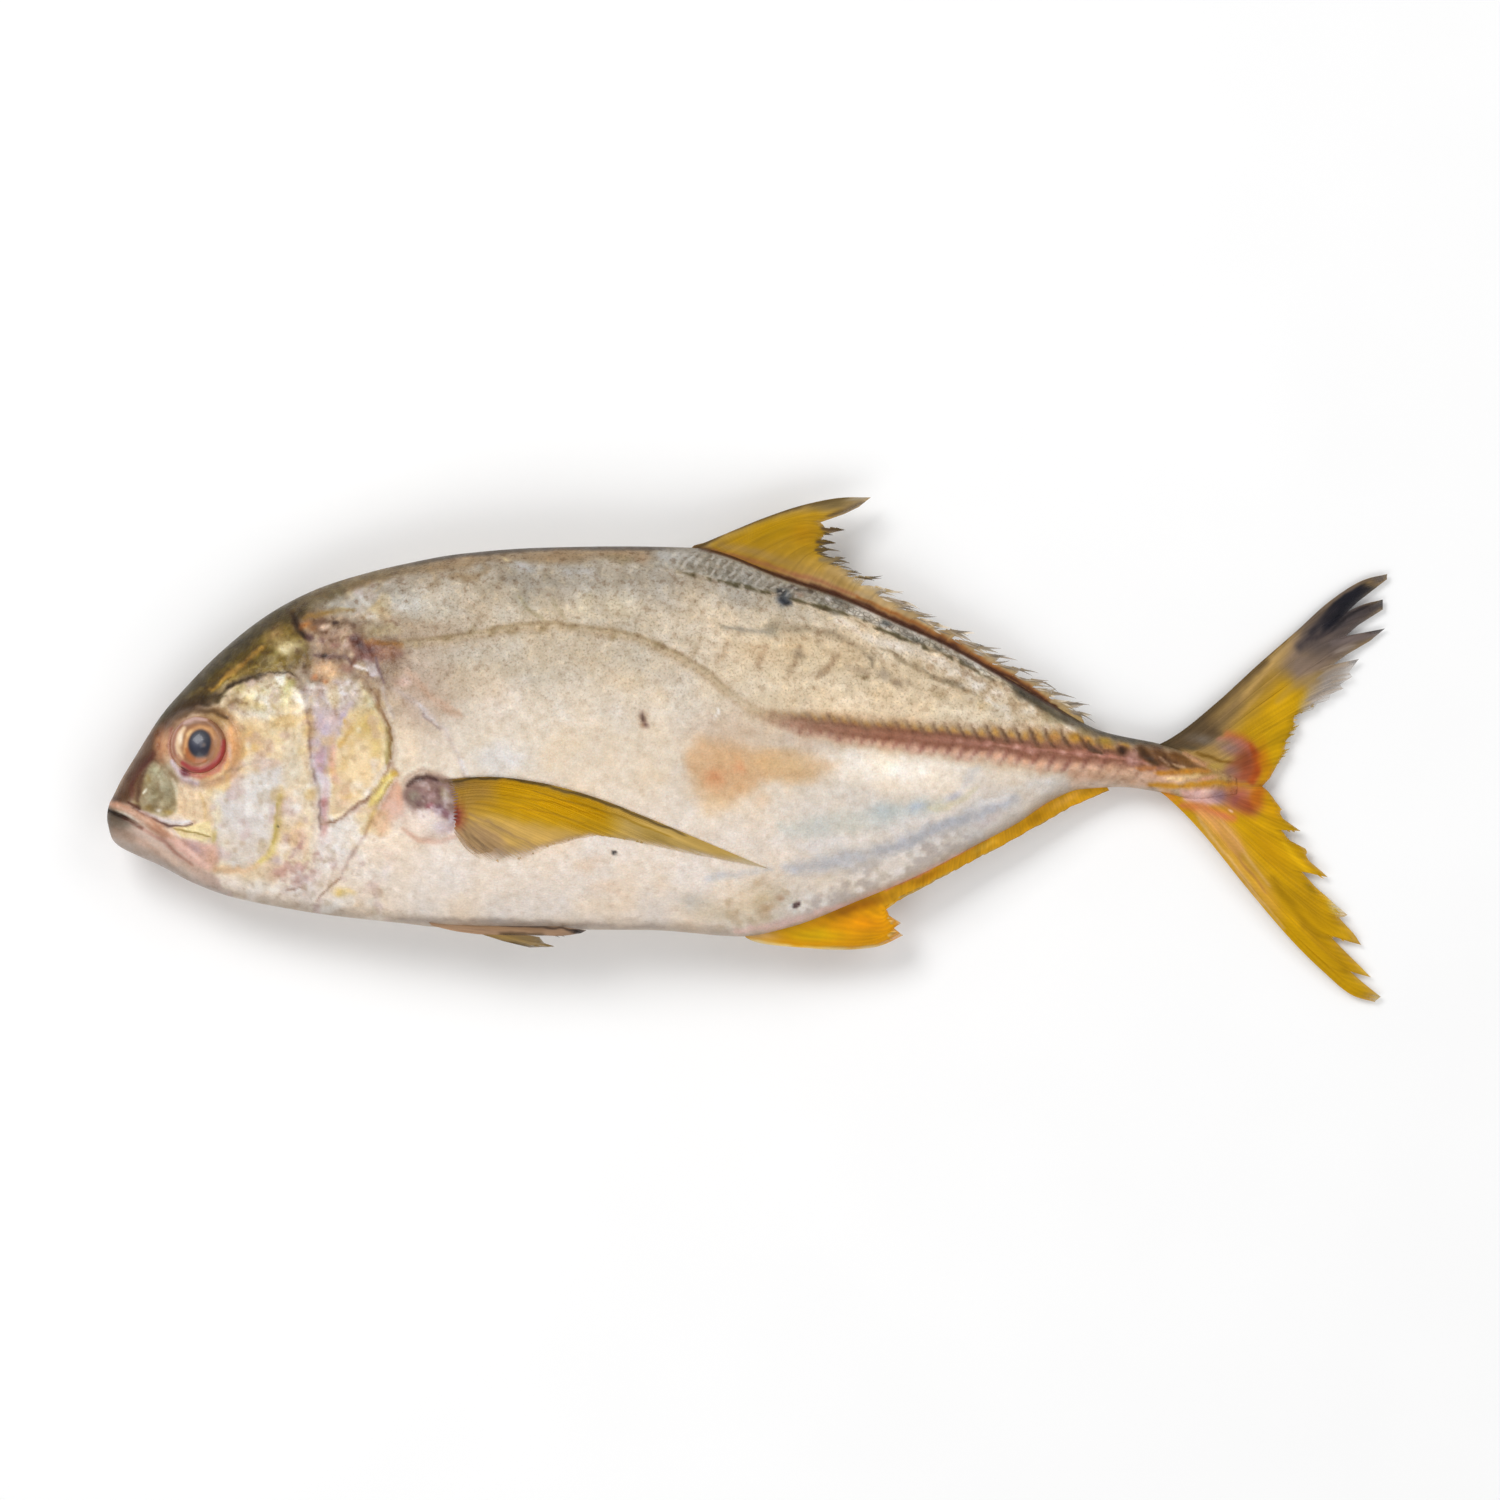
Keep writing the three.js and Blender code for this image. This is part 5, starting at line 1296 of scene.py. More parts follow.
DORSAL = {
    "root": [(-17, 50), (10, 43), (25, 38), (40, 31.5), (55, 24.5), (70, 16), (85, 7.5), (92, 3.5)],
    "lead": [
        (-17, 50), (-16.4, 56.7), (-12.6, 58.1), (-8.2, 60), (-3, 62.2), (3, 64.7), (14, 68.5), (25, 70.8),
        (34, 71),
    ],
    "rear": [(92, 3.5), (94, 7.5)],
    "tips": [
        (34, 71), (30.7, 68.3), (26.6, 66.3), (20, 64), (21.4, 62.6), (27, 61.8), (21, 60.6), (20, 59),
        (24.2, 58.2), (18.6, 57.2), (22.6, 56.2), (18.4, 55), (25, 53.8), (22, 52.4), (29, 50.4),
        (26.4, 49.2), (33, 48.4), (31, 46.6), (39.6, 45.2), (35, 43.2), (44.4, 41.6), (40, 39.8),
        (50, 38.4), (45.4, 37), (53.4, 36), (50.4, 34.4), (59.6, 33.6), (56, 31.4), (66, 29.6), (62, 28),
        (71, 26.6), (68, 24.4), (77, 23), (73.6, 21), (82, 19.8), (79, 17.6), (86.4, 17.6), (83.6, 14.6),
        (90, 13.6), (88.4, 11.4), (92.8, 11), (94, 7.5),
    ],
    "rays": 26, "per_tip": 8, "rows": 46, "fray": 0.5,
    "ground": (190, 158, 104),
    "marks": [
        area([(-14, 52), (-10, 58.6), (4, 64), (18, 68), (25, 67), (22, 62), (22, 56), (20, 50), (8, 50)],
             (172, 130, 18), 1),
        stroke([(-16.5, 57), (-12, 56), (-7, 54.4)], 0.9, (88, 60, 38), 0.85, 1.4),
        blob(6, 61.4, 9, 3.4, (178, 136, 2), 0.8, 18, 1),
        blob(15, 61, 4, 3, (182, 130, 0), 0.8, 0, 1),
        blob(12, 55.4, 9, 2.4, (164, 126, 30), 0.8, -8, 1),
        stroke([(-8, 57.4), (0, 55.4), (10, 52.6), (22, 48.6), (30, 45)], 1.5, (162, 128, 66), 0.8, 3.2),
        stroke([(-11, 56), (-2, 53.6), (8, 50.7), (20, 47), (30, 43.2)], 0.8, (152, 96, 64), 0.75, 1.4),
        blob(19, 52.4, 7, 2, (176, 140, 66), 0.7, -14, 1),
        stroke([(-17, 55), (-8, 60.6), (4, 65.2), (16, 69), (28, 71)], 0.8, (92, 72, 40), 0.9, 1.1),
        blob(24, 69.2, 8, 1.7, (118, 98, 58), 0.9, 9, 1),
        stroke([(22, 66), (27, 67.4), (32, 69.4)], 0.8, (92, 70, 36), 0.85),
        blob(31, 70.8, 4, 0.8, (176, 166, 150), 0.8, 8),
        stroke([(20.6, 62.2), (26.6, 61.9)], 1.1, (84, 64, 44)),
        stroke([(19, 58.4), (24, 58.2)], 1.0, (76, 60, 44)),
        stroke([(18.4, 56), (22.4, 56.2)], 1.0, (84, 68, 48), 0.85),
        stroke([(19.4, 53.4), (25, 53.4)], 1.2, (124, 108, 82), 0.8, 1.2),
        blob(29, 49.6, 3.6, 1.2, (142, 124, 94), 0.8, -14, 1),
        blob(33, 46.2, 6, 1.8, (198, 176, 136), 0.8, -16, 1),
        stroke([(36, 44), (46, 39.6), (56, 34), (66, 28), (76, 22), (86, 15.6), (93, 10.6)],
               1.8, (150, 134, 112), 0.9, 1.8),
        stroke([(30, 44), (40, 40), (50, 35.2), (60, 29.8), (70, 24), (80, 17.8), (88, 12.4)],
               1.1, (178, 150, 108), 0.85, 1.4),
        stroke([(30, 42.6), (40, 38.4), (50, 33.6), (60, 28.4), (70, 22.6), (84, 14.2)],
               0.8, (150, 94, 46)),
        stroke([(-15, 56), (-8, 54), (0, 51.4), (10, 48.4), (25, 43.6), (40, 36.9), (55, 30.1), (70, 21.7),
                (86, 12.4)], 0.8, (84, 46, 28), 0.95, 0.9),
    ],
    "clear": [
        blob(27, 56, 5, 7, CLEAR, 0.35, 0, 1),
        stroke([(30, 49), (44, 43), (60, 34.6), (82, 20.4), (95, 12)], 3.2, CLEAR, 0.8, 3),
    ],
    "strands": [
        (0.1, 0.2, 9, 3.4, -6, 0.45, (92, 74, 46)), (0.2, 0.42, 26, 4.4, -4, 0.4, (112, 96, 74)),
        (0.42, 0.98, 52, 6.2, -10, 0.34, (168, 154, 138)), (0.42, 0.98, 60, 4.6, -16, 0.4, (212, 198, 176)),
    ],
}

ANAL = {
    "root": [(-4, -47), (10.6, -44.5), (31, -37), (47.6, -30), (64, -21.5), (80, -11.5), (99, -8)],
    "lead": [(-4, -47), (-1, -52.6), (17, -55.6), (28, -56), (36.5, -55), (43, -52)],
    "rear": [(99, -8), (101, -11.4)],
    "tips": [
        (43, -52), (40.6, -50), (42.6, -48.6), (39.4, -46.6), (38, -44.2), (42, -41.2), (50.5, -37.2),
        (59, -33), (70, -27.5), (81, -21.5), (91, -15.8), (101, -11.4),
    ],
    "rays": 21, "per_tip": 16, "rows": 40, "fray": 0.4,
    "ground": (204, 148, 20),
    "marks": [
        area([(0, -52.6), (12, -50.6), (22, -46.6), (34, -42.4), (40, -44), (45, -48), (44, -52), (34, -57),
              (16, -57)], (218, 150, 0), 1, 2),
        blob(32, -48.6, 8, 2.8, (230, 148, 0), 0.9, -6),
        blob(18, -51.8, 9, 2.2, (216, 172, 0), 0.85, -4),
        blob(30, -43.6, 9, 1.9, (162, 98, 0), 0.9, 17),
        blob(1, -51.4, 8, 2.4, (212, 172, 126), 0.9, -8),
        stroke([(-2, -53.4), (16, -55.9), (28, -56.3), (38, -55)], 0.9, (220, 200, 156), 0.85, 1.2),
        stroke([(40, -44), (43, -48), (43.4, -52)], 1.1, (216, 190, 146), 0.75, 1.8),
        blob(50, -35.6, 5, 1.1, (172, 114, 0), 0.85, 26),
        blob(66, -27.2, 4, 1.0, (226, 176, 60), 0.8, 28),
        blob(80, -19.8, 6, 1.3, (184, 130, 0), 0.9, 32),
        blob(89, -13.8, 6, 1.3, (226, 168, 62), 0.85, 34),
        stroke([(38, -39.2), (48, -34.9), (58, -29.6), (68, -24), (78, -18), (86, -13.2)],
               0.55, (204, 128, 92), 0.9, 0.8),
        stroke([(42, -41.8), (50.5, -37.6), (59, -33.4), (70, -27.9), (81, -21.9), (91, -16.2),
                (100, -11.9)], 0.45, (176, 152, 106), 0.8, 0.8),
    ],
    "clear": [stroke([(20, -57), (36, -56), (44, -52), (42, -46)], 1.4, CLEAR, 0.5, 2.2)],
    "strands": [(0.0, 0.3, 16, 2.2, -8, 0.4, (218, 176, 96))],
}

TAIL_UPPER = {
    "root": [(106, -1), (120, -3), (128, -6), (131, -9.8)],
    "lead": [
        (106, -1), (115, 1.6), (121, 5), (131.5, 13.5), (143, 24), (154, 33.6), (163.4, 42), (172.6, 47.8),
        (179.6, 49.6),
    ],
    "rear": [(131, -9.8), (144, -10.4)],
    "tips": [
        (179.6, 49.6), (179.6, 48.2), (171.6, 42), (163.3, 34.2), (172, 39.2), (178.6, 42.6), (178.6, 39.8),
        (172, 35.6), (166.6, 31), (172, 33), (179.2, 34.4), (174.8, 30.8), (168.6, 27.2), (161.2, 21.9),
        (166.2, 24.4), (171.8, 25.8), (169.4, 22.2), (170, 20.8), (166.4, 18.6), (167.4, 17.4),
        (163.6, 15.8), (163.6, 14.4), (159.6, 12.9), (158.6, 11.4), (154, 10.2), (153, 8.4), (154, 6),
        (151, 2.6), (151, -0.6), (148.6, -4), (146.4, -8), (144, -10.4),
    ],
    "rays": 12, "per_tip": 10, "rows": 70, "fray": 0.5,
    "ground": (166, 132, 74),
    "marks": [
        # olive rays in front, pale between them
        area([(118, 2), (126, 8.6), (136, 17.4), (148, 28), (158, 37), (160, 33), (150, 22), (140, 11),
              (131, 6)], (158, 126, 70)),
        stroke([(126, 8), (136, 16.4), (148, 27), (157, 35)], 0.8, (180, 150, 98), 0.7, 1.4),
        stroke([(132, 10), (142, 19.4), (152, 28)], 0.7, (186, 152, 88), 0.7, 1.3),
        # gold at the back of the lobe
        area([(134, 2), (142, 12.6), (149, 21.4), (156, 16.6), (155, 8), (152, 0), (149, -10), (143, -11),
              (140, -2)], (180, 136, 14), 1, 9),
        area([(141, 3), (147, 12), (151, 18.4), (156, 15), (155, 8), (153, 1), (149, -8), (144, -8),
              (141, -1)], (190, 146, 2), 0.9, 8),
        blob(149.6, 11, 4, 5, (198, 152, 8), 0.7, -40, 1),
        stroke([(146, 17), (150, 21.4), (153.4, 24.6)], 1.2, (170, 132, 48), 0.7, 3.4),
        stroke([(148.6, 14), (153, 18), (156.6, 20.4)], 1.0, (176, 138, 52), 0.7, 3),
        stroke([(131, 6.4), (138, 14), (147, 24)], 0.6, (192, 154, 92), 0.65, 1.2),
        stroke([(133, 5), (141, 13.4), (149, 21.6)], 0.5, (186, 146, 72), 0.6),
        # grey towards the tips, then nearly black
        area([(149, 23), (153.6, 32), (160, 38.6), (170, 42), (174, 34), (168, 25), (160, 20), (154, 19)],
             (132, 112, 96), 0.95, 8),
        area([(155, 30.6), (160, 38), (172, 46), (178, 40), (172, 31), (164, 27), (158, 27)],
             (92, 80, 76), 0.9, 7),
        blob(159, 34.4, 4, 3.4, (96, 82, 72), 0.8, 44, 1),
        stroke([(155, 29), (160, 34.6), (166, 40.6)], 2.0, (66, 58, 58), 0.8, 3.4),
        area([(161.4, 37.6), (164, 41.6), (168, 45), (173, 47.2), (176.6, 46), (170, 40.4), (164.8, 34.6),
              (161.6, 33)], (30, 29, 36), 1, 2),
        stroke([(158, 33), (161.6, 36.6), (165, 40)], 1.1, (44, 40, 44), 0.75, 2),
        stroke([(157, 31), (161, 32.4), (164.4, 33.8)], 0.6, (58, 50, 52), 0.7, 1.4),
        stroke([(154, 33.4), (160, 38.8), (166.6, 44), (173, 47.6), (178, 49.2)],
               0.5, (112, 96, 84), 0.8, 0.9),
        blob(177.2, 48.2, 3, 1.5, (98, 84, 76), 0.95, 24),
        stroke([(164.4, 34.2), (170, 37.6), (175, 40), (179, 42)], 1.6, (72, 64, 64), 0.95, 1.4),
        stroke([(164, 34), (168.6, 37.6), (174, 40.8)], 0.5, (40, 36, 38), 0.8, 0.8),
        blob(178.6, 41, 1.0, 1.4, (44, 38, 40), 0.85),
        stroke([(164, 30.4), (170, 31.4), (175.4, 32.4), (179, 34)], 1.5, (116, 102, 98), 0.9, 1.5),
        stroke([(173, 33.2), (176, 33.4), (179, 34)], 0.7, (62, 52, 52), 0.9, 0.8),
        stroke([(165, 28), (170, 29.4)], 0.9, (152, 138, 128), 0.7, 1.1),
        area([(158, 17), (163, 22.6), (172, 27.6), (173, 22), (167, 14), (158, 8.6), (155.6, 12)],
             (176, 162, 150), 0.95),
        stroke([(156.6, 19), (161, 21.6)], 1.2, (150, 124, 76), 0.7, 2),
        blob(170.6, 24.8, 1.9, 0.9, (84, 76, 72), 0.85, 14),
        blob(167, 18.6, 1.4, 0.6, (120, 108, 100), 0.8, 30),
        stroke([(160, 20), (165, 22.8), (170, 24)], 0.5, (148, 134, 122), 0.7, 0.7),
        stroke([(157, 14), (162, 16.4), (167, 18.8)], 0.5, (150, 136, 124), 0.7, 0.7),
        stroke([(156.4, 10.4), (154, 7), (152.8, 3), (151, -3)], 0.7, (206, 174, 90), 0.8, 1.2),
        # dark leading edge
        stroke([(112, 2), (121, 6.2), (131, 14), (142, 24), (153, 34), (160, 40)],
               0.7, (70, 54, 34), 0.9, 1.2),
        area([(110, -1), (117, 4), (124, 9.6), (129, 13), (133, 14.4), (129, 8), (124, 3), (118, -1)],
             (66, 50, 28), 0.9, 6),
        stroke([(124, 6.4), (131, 12), (138, 18.6), (145, 25)], 1.2, (92, 72, 44), 0.75, 3.4),
        area([(122, 1.6), (130, 8.6), (138, 15.6), (137, 10.6), (133, 5), (128, 1)],
             (104, 84, 58), 0.65, 6),
    ],
    "clear": [
        area([(160, 19), (164, 24), (177, 28), (173, 18), (166, 12), (156, 9.4)], CLEAR, 0.45),
        stroke([(163, 14.6), (155, 10), (153.6, 6), (151.6, 1), (149, -5)], 0.9, CLEAR, 0.5, 1.4),
    ],
    "strands": [(0.7, 0.94, 26, 2.2, 14, 0.34, (206, 172, 84))],
}

TAIL_LOWER = {
    "root": [(106, -8), (120, -11), (128, -11.6), (131, -10.2)],
    "lead": [
        (106, -8), (115, -11.6), (119, -14.8), (127, -23), (139.5, -38.4), (152.5, -53.6), (161, -62),
        (169.5, -69), (176, -71),
    ],
    "rear": [(131, -10.2), (143.8, -9.8)],
    "tips": [
        (176, -71), (178, -69.8), (173, -65.8), (169, -62.3), (175.5, -64.5), (172, -61), (168, -57),
        (163, -52), (173, -55.5), (170, -51.6), (166.4, -47.6), (168.5, -46.6), (165, -43.6), (161, -40),
        (155.6, -34.4), (163, -36), (158, -31.5), (156.5, -27.8), (153, -26), (149.6, -22.6), (155.5, -23),
        (150.5, -19.5), (149, -15.5), (146, -11.6), (143.8, -9.8),
    ],
    "rays": 12, "per_tip": 11, "rows": 70, "fray": 0.8,
    "ground": (198, 150, 0),
    "marks": [
        area([(124, -15), (134, -18), (147, -38), (150, -48), (139, -40), (127, -25)], (202, 152, 58)),
        stroke([(126, -19), (133, -28), (142, -40), (150, -50)], 0.5, (216, 174, 112), 0.7),
        stroke([(129, -18.6), (136, -28), (145, -40)], 0.4, (182, 130, 66), 0.7, 0.7),
        stroke([(132, -18.6), (138, -27), (146, -38)], 0.5, (222, 176, 104), 0.75, 0.8),
        blob(146, -28, 9, 3, (186, 136, 0), 0.8, -52, 1),
        blob(158, -45, 10, 3, (182, 136, 0), 0.8, -50, 1),
        stroke([(147, -36), (154, -46), (161, -55), (168, -62)], 1.0, (162, 120, 0), 0.7, 2.4),
        blob(158, -39.6, 2.6, 1.4, (150, 116, 8), 0.7, -40),
        stroke([(150, -26), (156, -33), (164, -44), (172, -53)], 0.8, (216, 168, 8), 0.8, 1.6),
        blob(168, -51, 3.4, 2, (226, 176, 20), 0.85, -40),
        blob(173, -62, 3, 1.2, (230, 184, 20), 0.9, -40),
        blob(172, -66, 5, 1.6, (216, 168, 0), 0.8, -36),
        blob(165, -44, 3, 2, (222, 196, 112), 0.85, -40),
        stroke([(139, -40.6), (147, -49.8), (156, -60), (164, -67), (172, -71.6)], 0.8, (204, 176, 116)),
        blob(177, -70, 2, 1.4, (206, 180, 112), 0.85, -20),
        area([(106, -7), (120, -12), (130, -16), (142, -19), (146, -16), (144, -11), (136, -8)],
             (190, 128, 60), 0.9, 4),
        blob(147, -16, 3, 5, (198, 144, 0), 0.85, 10),
    ],
    "clear": [
        blob(166, -45, 4, 2.4, CLEAR, 0.45, -40),
        stroke([(147, -50), (156, -60.4), (164, -67.4), (173, -72)], 0.8, CLEAR, 0.4, 1.2),
        blob(176, -70, 3, 1.6, CLEAR, 0.3, -20, 1),
    ],
    "strands": [(0.06, 0.94, 46, 2.2, -34, 0.36, (208, 164, 40))],
}

PECTORAL = {
    "root": [(-86.8, -8.8), (-84, -12), (-82.8, -17), (-82.4, -22.6)],
    "lead": [(-86.8, -8.8), (-79, -7.7), (-70, -7.5), (-56, -9.5), (-42, -13.5), (-28, -19), (5, -33)],
    "rear": [(-82.4, -22.6), (-79, -27.4), (-75, -30.4)],
    "tips": [
        (5, -33), (-8.5, -30.4), (-17, -28.8), (-25, -27), (-34, -25), (-42, -23.8), (-47, -24.8),
        (-53, -26.4), (-58.6, -28.8), (-64.4, -30.8), (-70, -31.4), (-75, -30.4),
    ],
    "rays": 19, "per_tip": 11, "rows": 110, "fray": 1.1,
    "ground": (196, 156, 70),
    "marks": [
        area([(-82, -9), (-64, -8.4), (-48, -12), (-34, -18), (-28, -22.6), (-40, -23), (-54, -21),
              (-68, -18.6), (-82, -15)], (184, 138, 4), 1),
        blob(-57, -15, 14, 3.4, (202, 152, 0), 0.9, -18, 1),
        area([(-84, -18), (-70, -19.6), (-56, -22.6), (-44, -24), (-58, -31), (-76, -33), (-86, -26)],
             (198, 160, 88)),
        stroke([(-80, -26), (-73, -29.4), (-66, -30.4), (-58, -28.4), (-48, -25.4)],
               2.2, (184, 152, 110), 0.85, 3),
        area([(-84, -21), (-76, -20.4), (-70, -23), (-66, -31), (-74, -33), (-84, -27)],
             (176, 142, 104), 0.8, 4),
        area([(-88, -7), (-78, -6.4), (-71, -9), (-71, -15), (-79, -19), (-84, -14)],
             (164, 126, 56), 0.9, 7),
        stroke([(-82.4, -24), (-79.6, -28), (-75.6, -30.8), (-70, -31.6), (-63, -30.6), (-56, -28.4)],
               0.7, (208, 184, 152), 0.9, 3),
        stroke([(-80.6, -21), (-78, -25.4), (-75.6, -30)], 0.45, (150, 120, 84), 0.65, 0.7),
        stroke([(-80, -20.4), (-75.4, -25.6), (-71.6, -31)], 0.45, (150, 120, 84), 0.65, 0.7),
        stroke([(-79.4, -19.8), (-72.6, -25.4), (-67.4, -31)], 0.45, (158, 126, 88), 0.55, 0.7),
        stroke([(-79, -19), (-70, -24.6), (-62.4, -30)], 0.45, (158, 126, 88), 0.55, 0.7),
        stroke([(-78, -17.8), (-67, -23), (-57, -28)], 0.45, (158, 126, 88), 0.55, 0.7),
        blob(-81.2, -18.4, 2.3, 3.8, (142, 72, 54), 0.9, 0, 1),
        blob(-81.9, -18.6, 1.3, 2.8, (130, 54, 46), 0.85, 0, 1),
        blob(-83, -9.4, 4.6, 1.6, (138, 110, 80), 0.85, -4, 1),
        area([(-38, -15.6), (-20, -22.6), (-4, -29.4), (8, -34.8), (-8, -32), (-22, -29.4), (-38, -26.4)],
             (186, 156, 92), 0.9, 9),
        blob(-26, -24.4, 6, 1.9, (160, 130, 60), 0.7, -22, 1),
        blob(0, -31.6, 6, 1.5, (200, 182, 140), 0.85, -20),
        stroke([(-84, -9.2), (-76, -7.9), (-68, -7.8), (-56, -9.9), (-44, -13.2), (-32, -17.8),
                (-18, -23.6)], 0.6, (102, 82, 48), 0.95, 0.7),
        stroke([(-60, -11.4), (-46, -15.2), (-34, -19.2), (-22, -24.2)], 0.3, (150, 112, 20), 0.7, 0.5),
        stroke([(-70, -12), (-54, -14.6), (-40, -18.8)], 0.3, (160, 116, 4), 0.6, 0.5),
        stroke([(-76, -14.6), (-60, -16.6), (-46, -20)], 0.3, (164, 120, 16), 0.6, 0.5),
    ],
    "clear": [
        stroke([(-82.6, -23), (-79, -28.4), (-75, -31)], 0.8, CLEAR, 0.9, 3),
        stroke([(-82, -27), (-76, -30), (-70, -31.2), (-64, -30.6), (-54, -27.8), (-44, -25)],
               0.6, CLEAR, 0.9, 5),
        area([(-84, -24), (-78, -24), (-68, -27), (-58, -26), (-56, -30), (-66, -33), (-80, -32)],
             CLEAR, 0.35, 3),
        area([(-34, -24), (-14, -28), (8, -34), (-10, -34), (-34, -29)], CLEAR, 0.45, 3),
        blob(0, -32, 8, 2, CLEAR, 0.35, -20, 1),
    ],
    "strands": [(0.3, 0.9, 24, 0.9, -40, 0.3, (204, 172, 128))],
}

PELVIC_LEFT = {
    "root": [(-91, -46.5), (-89, -49)],
    "lead": [(-91, -46.5), (-70, -48.4), (-56, -49), (-45.6, -50.4)],
    "rear": [(-89, -49), (-83, -50.5), (-76, -51.5)],
    "tips": [(-45.6, -50.4), (-47, -51.2), (-52, -52), (-59, -51.9), (-68, -51.8), (-76, -51.5)],
    "rays": 6, "per_tip": 10, "rows": 60, "fray": 0.3,
    "ground": (164, 132, 104),
    "marks": [
        stroke([(-90, -47.4), (-72, -49.4), (-58, -50)], 0.7, (150, 118, 88), 0.9, 0.9),
        stroke([(-72, -48.6), (-58, -49.2), (-48, -50.3)], 0.45, (78, 62, 52), 0.9, 0.5),
        blob(-47.6, -50.8, 3, 0.9, (52, 42, 38), 0.95, -8, 0.8),
        area([(-70, -50.6), (-58, -50.8), (-56, -52.6), (-70, -52.6)], (90, 70, 50), 0.85, 1.2),
    ],
    "clear": [area([(-74, -51), (-56, -51.2), (-56, -53), (-74, -53)], CLEAR, 0.3, 1.4)],
    "strands": [(0.1, 0.5, 8, 1.8, -8, 0.25, (74, 60, 50))],
}

PELVIC_RIGHT = {
    "root": [(-90, -46), (-87, -48)],
    "lead": [(-90, -46), (-76, -49), (-65, -51.4), (-59, -52.4)],
    "rear": [(-87, -48), (-76, -51.4), (-69, -53.6)],
    "tips": [(-59, -52.4), (-57.4, -54.2), (-54.4, -55.2), (-61.6, -55.4), (-69, -53.6)],
    "rays": 6, "per_tip": 10, "rows": 50, "fray": 0.3,
    "ground": (184, 156, 108),
    "marks": [
        stroke([(-74, -50.6), (-64, -53.4), (-56, -55)], 0.8, (190, 158, 96)),
        stroke([(-70, -53.4), (-62, -55), (-55, -55.3)], 0.5, (120, 100, 66), 0.8, 0.7),
    ],
    "clear": [blob(-60, -54.4, 7, 1.6, CLEAR, 0.35, -8, 1)],
    "strands": [(0.2, 0.7, 8, 1.8, -16, 0.25, (170, 140, 80))],
}


def fin_edge(tips):
    """A fin's free edge, ragged as it is, and the smooth line through the middle of its notches."""
    points = np.array(tips, float)
    weights = np.array([1, 3, 4, 3, 1]) / 12
    reach = len(weights) // 2
    before, after = points[reach:0:-1], points[-2:-2 - reach:-1]
    padded = np.vstack((2 * points[0] - before, points, 2 * points[-1] - after))
    smooth = np.stack([np.convolve(padded[:, c], weights, "valid") for c in (0, 1)], axis=1)
    smooth[[0, -1]] = points[[0, -1]]
    return points, smooth


def fin_places(fin):
    """Grids of x, y, share of the way from root to tip, and rays passed."""
    root, lead, rear = (smooth_path(fin[key]) for key in ("root", "lead", "rear"))
    tips, smooth = fin_edge(fin["tips"])
    knots = np.linspace(0, 1, len(tips))
    t = np.linspace(0, 1, (len(tips) - 1) * fin["per_tip"] + 1)
    s = np.linspace(0, 1, fin["rows"] + 1)
    ragged, even = (np.stack([np.interp(t, knots, c) for c in line.T], axis=1) for line in (tips, smooth))
    rays = np.concatenate(([0.0], np.cumsum(np.linalg.norm(np.diff(even, axis=0), axis=1))))
    rays = rays / rays[-1] * fin["rays"]
    outward = ragged - root(t)
    outward /= np.linalg.norm(outward, axis=1)[:, None]
    fray = fin["fray"] * (noise(rays * 4, 0 * rays, 1.1, 61) - 0.6) * np.sin(math.pi * t) ** 0.3
    ragged = ragged + outward * fray[:, None]
    a, b, c, d = root(0.0), root(1.0), lead(1.0), rear(1.0)
    from_lead, from_rear, from_root = lead(s)[None], rear(s)[None], root(t)[:, None]
    t, s = t[:, None, None], s[None, :, None]
    place = from_lead * (1 - t) + from_rear * t + from_root * (1 - s) + even[:, None] * s
    place = place - (a * (1 - t) + b * t) * (1 - s) - (c * (1 - t) + d * t) * s
    place = place + (ragged - even)[:, None] * s ** 1.7
    shape = place.shape[:2]
    s = np.broadcast_to(s[..., 0], shape)
    return place[..., 0], place[..., 1], s, np.broadcast_to(rays[:, None], shape)


def ray_crest(rays, s):
    """Height of the rays from 0 to 1: each splits in two, and near the tip in four."""

    def crest(splits):
        return np.abs(np.cos(math.pi * rays * splits)) ** 3

    once, twice, four = crest(1), crest(2), crest(4)
    split = ease(0.3, 0.55, s)
    again = ease(0.62, 0.85, s)
    return once * (1 - split) + (twice * (1 - again) + four * again) * split


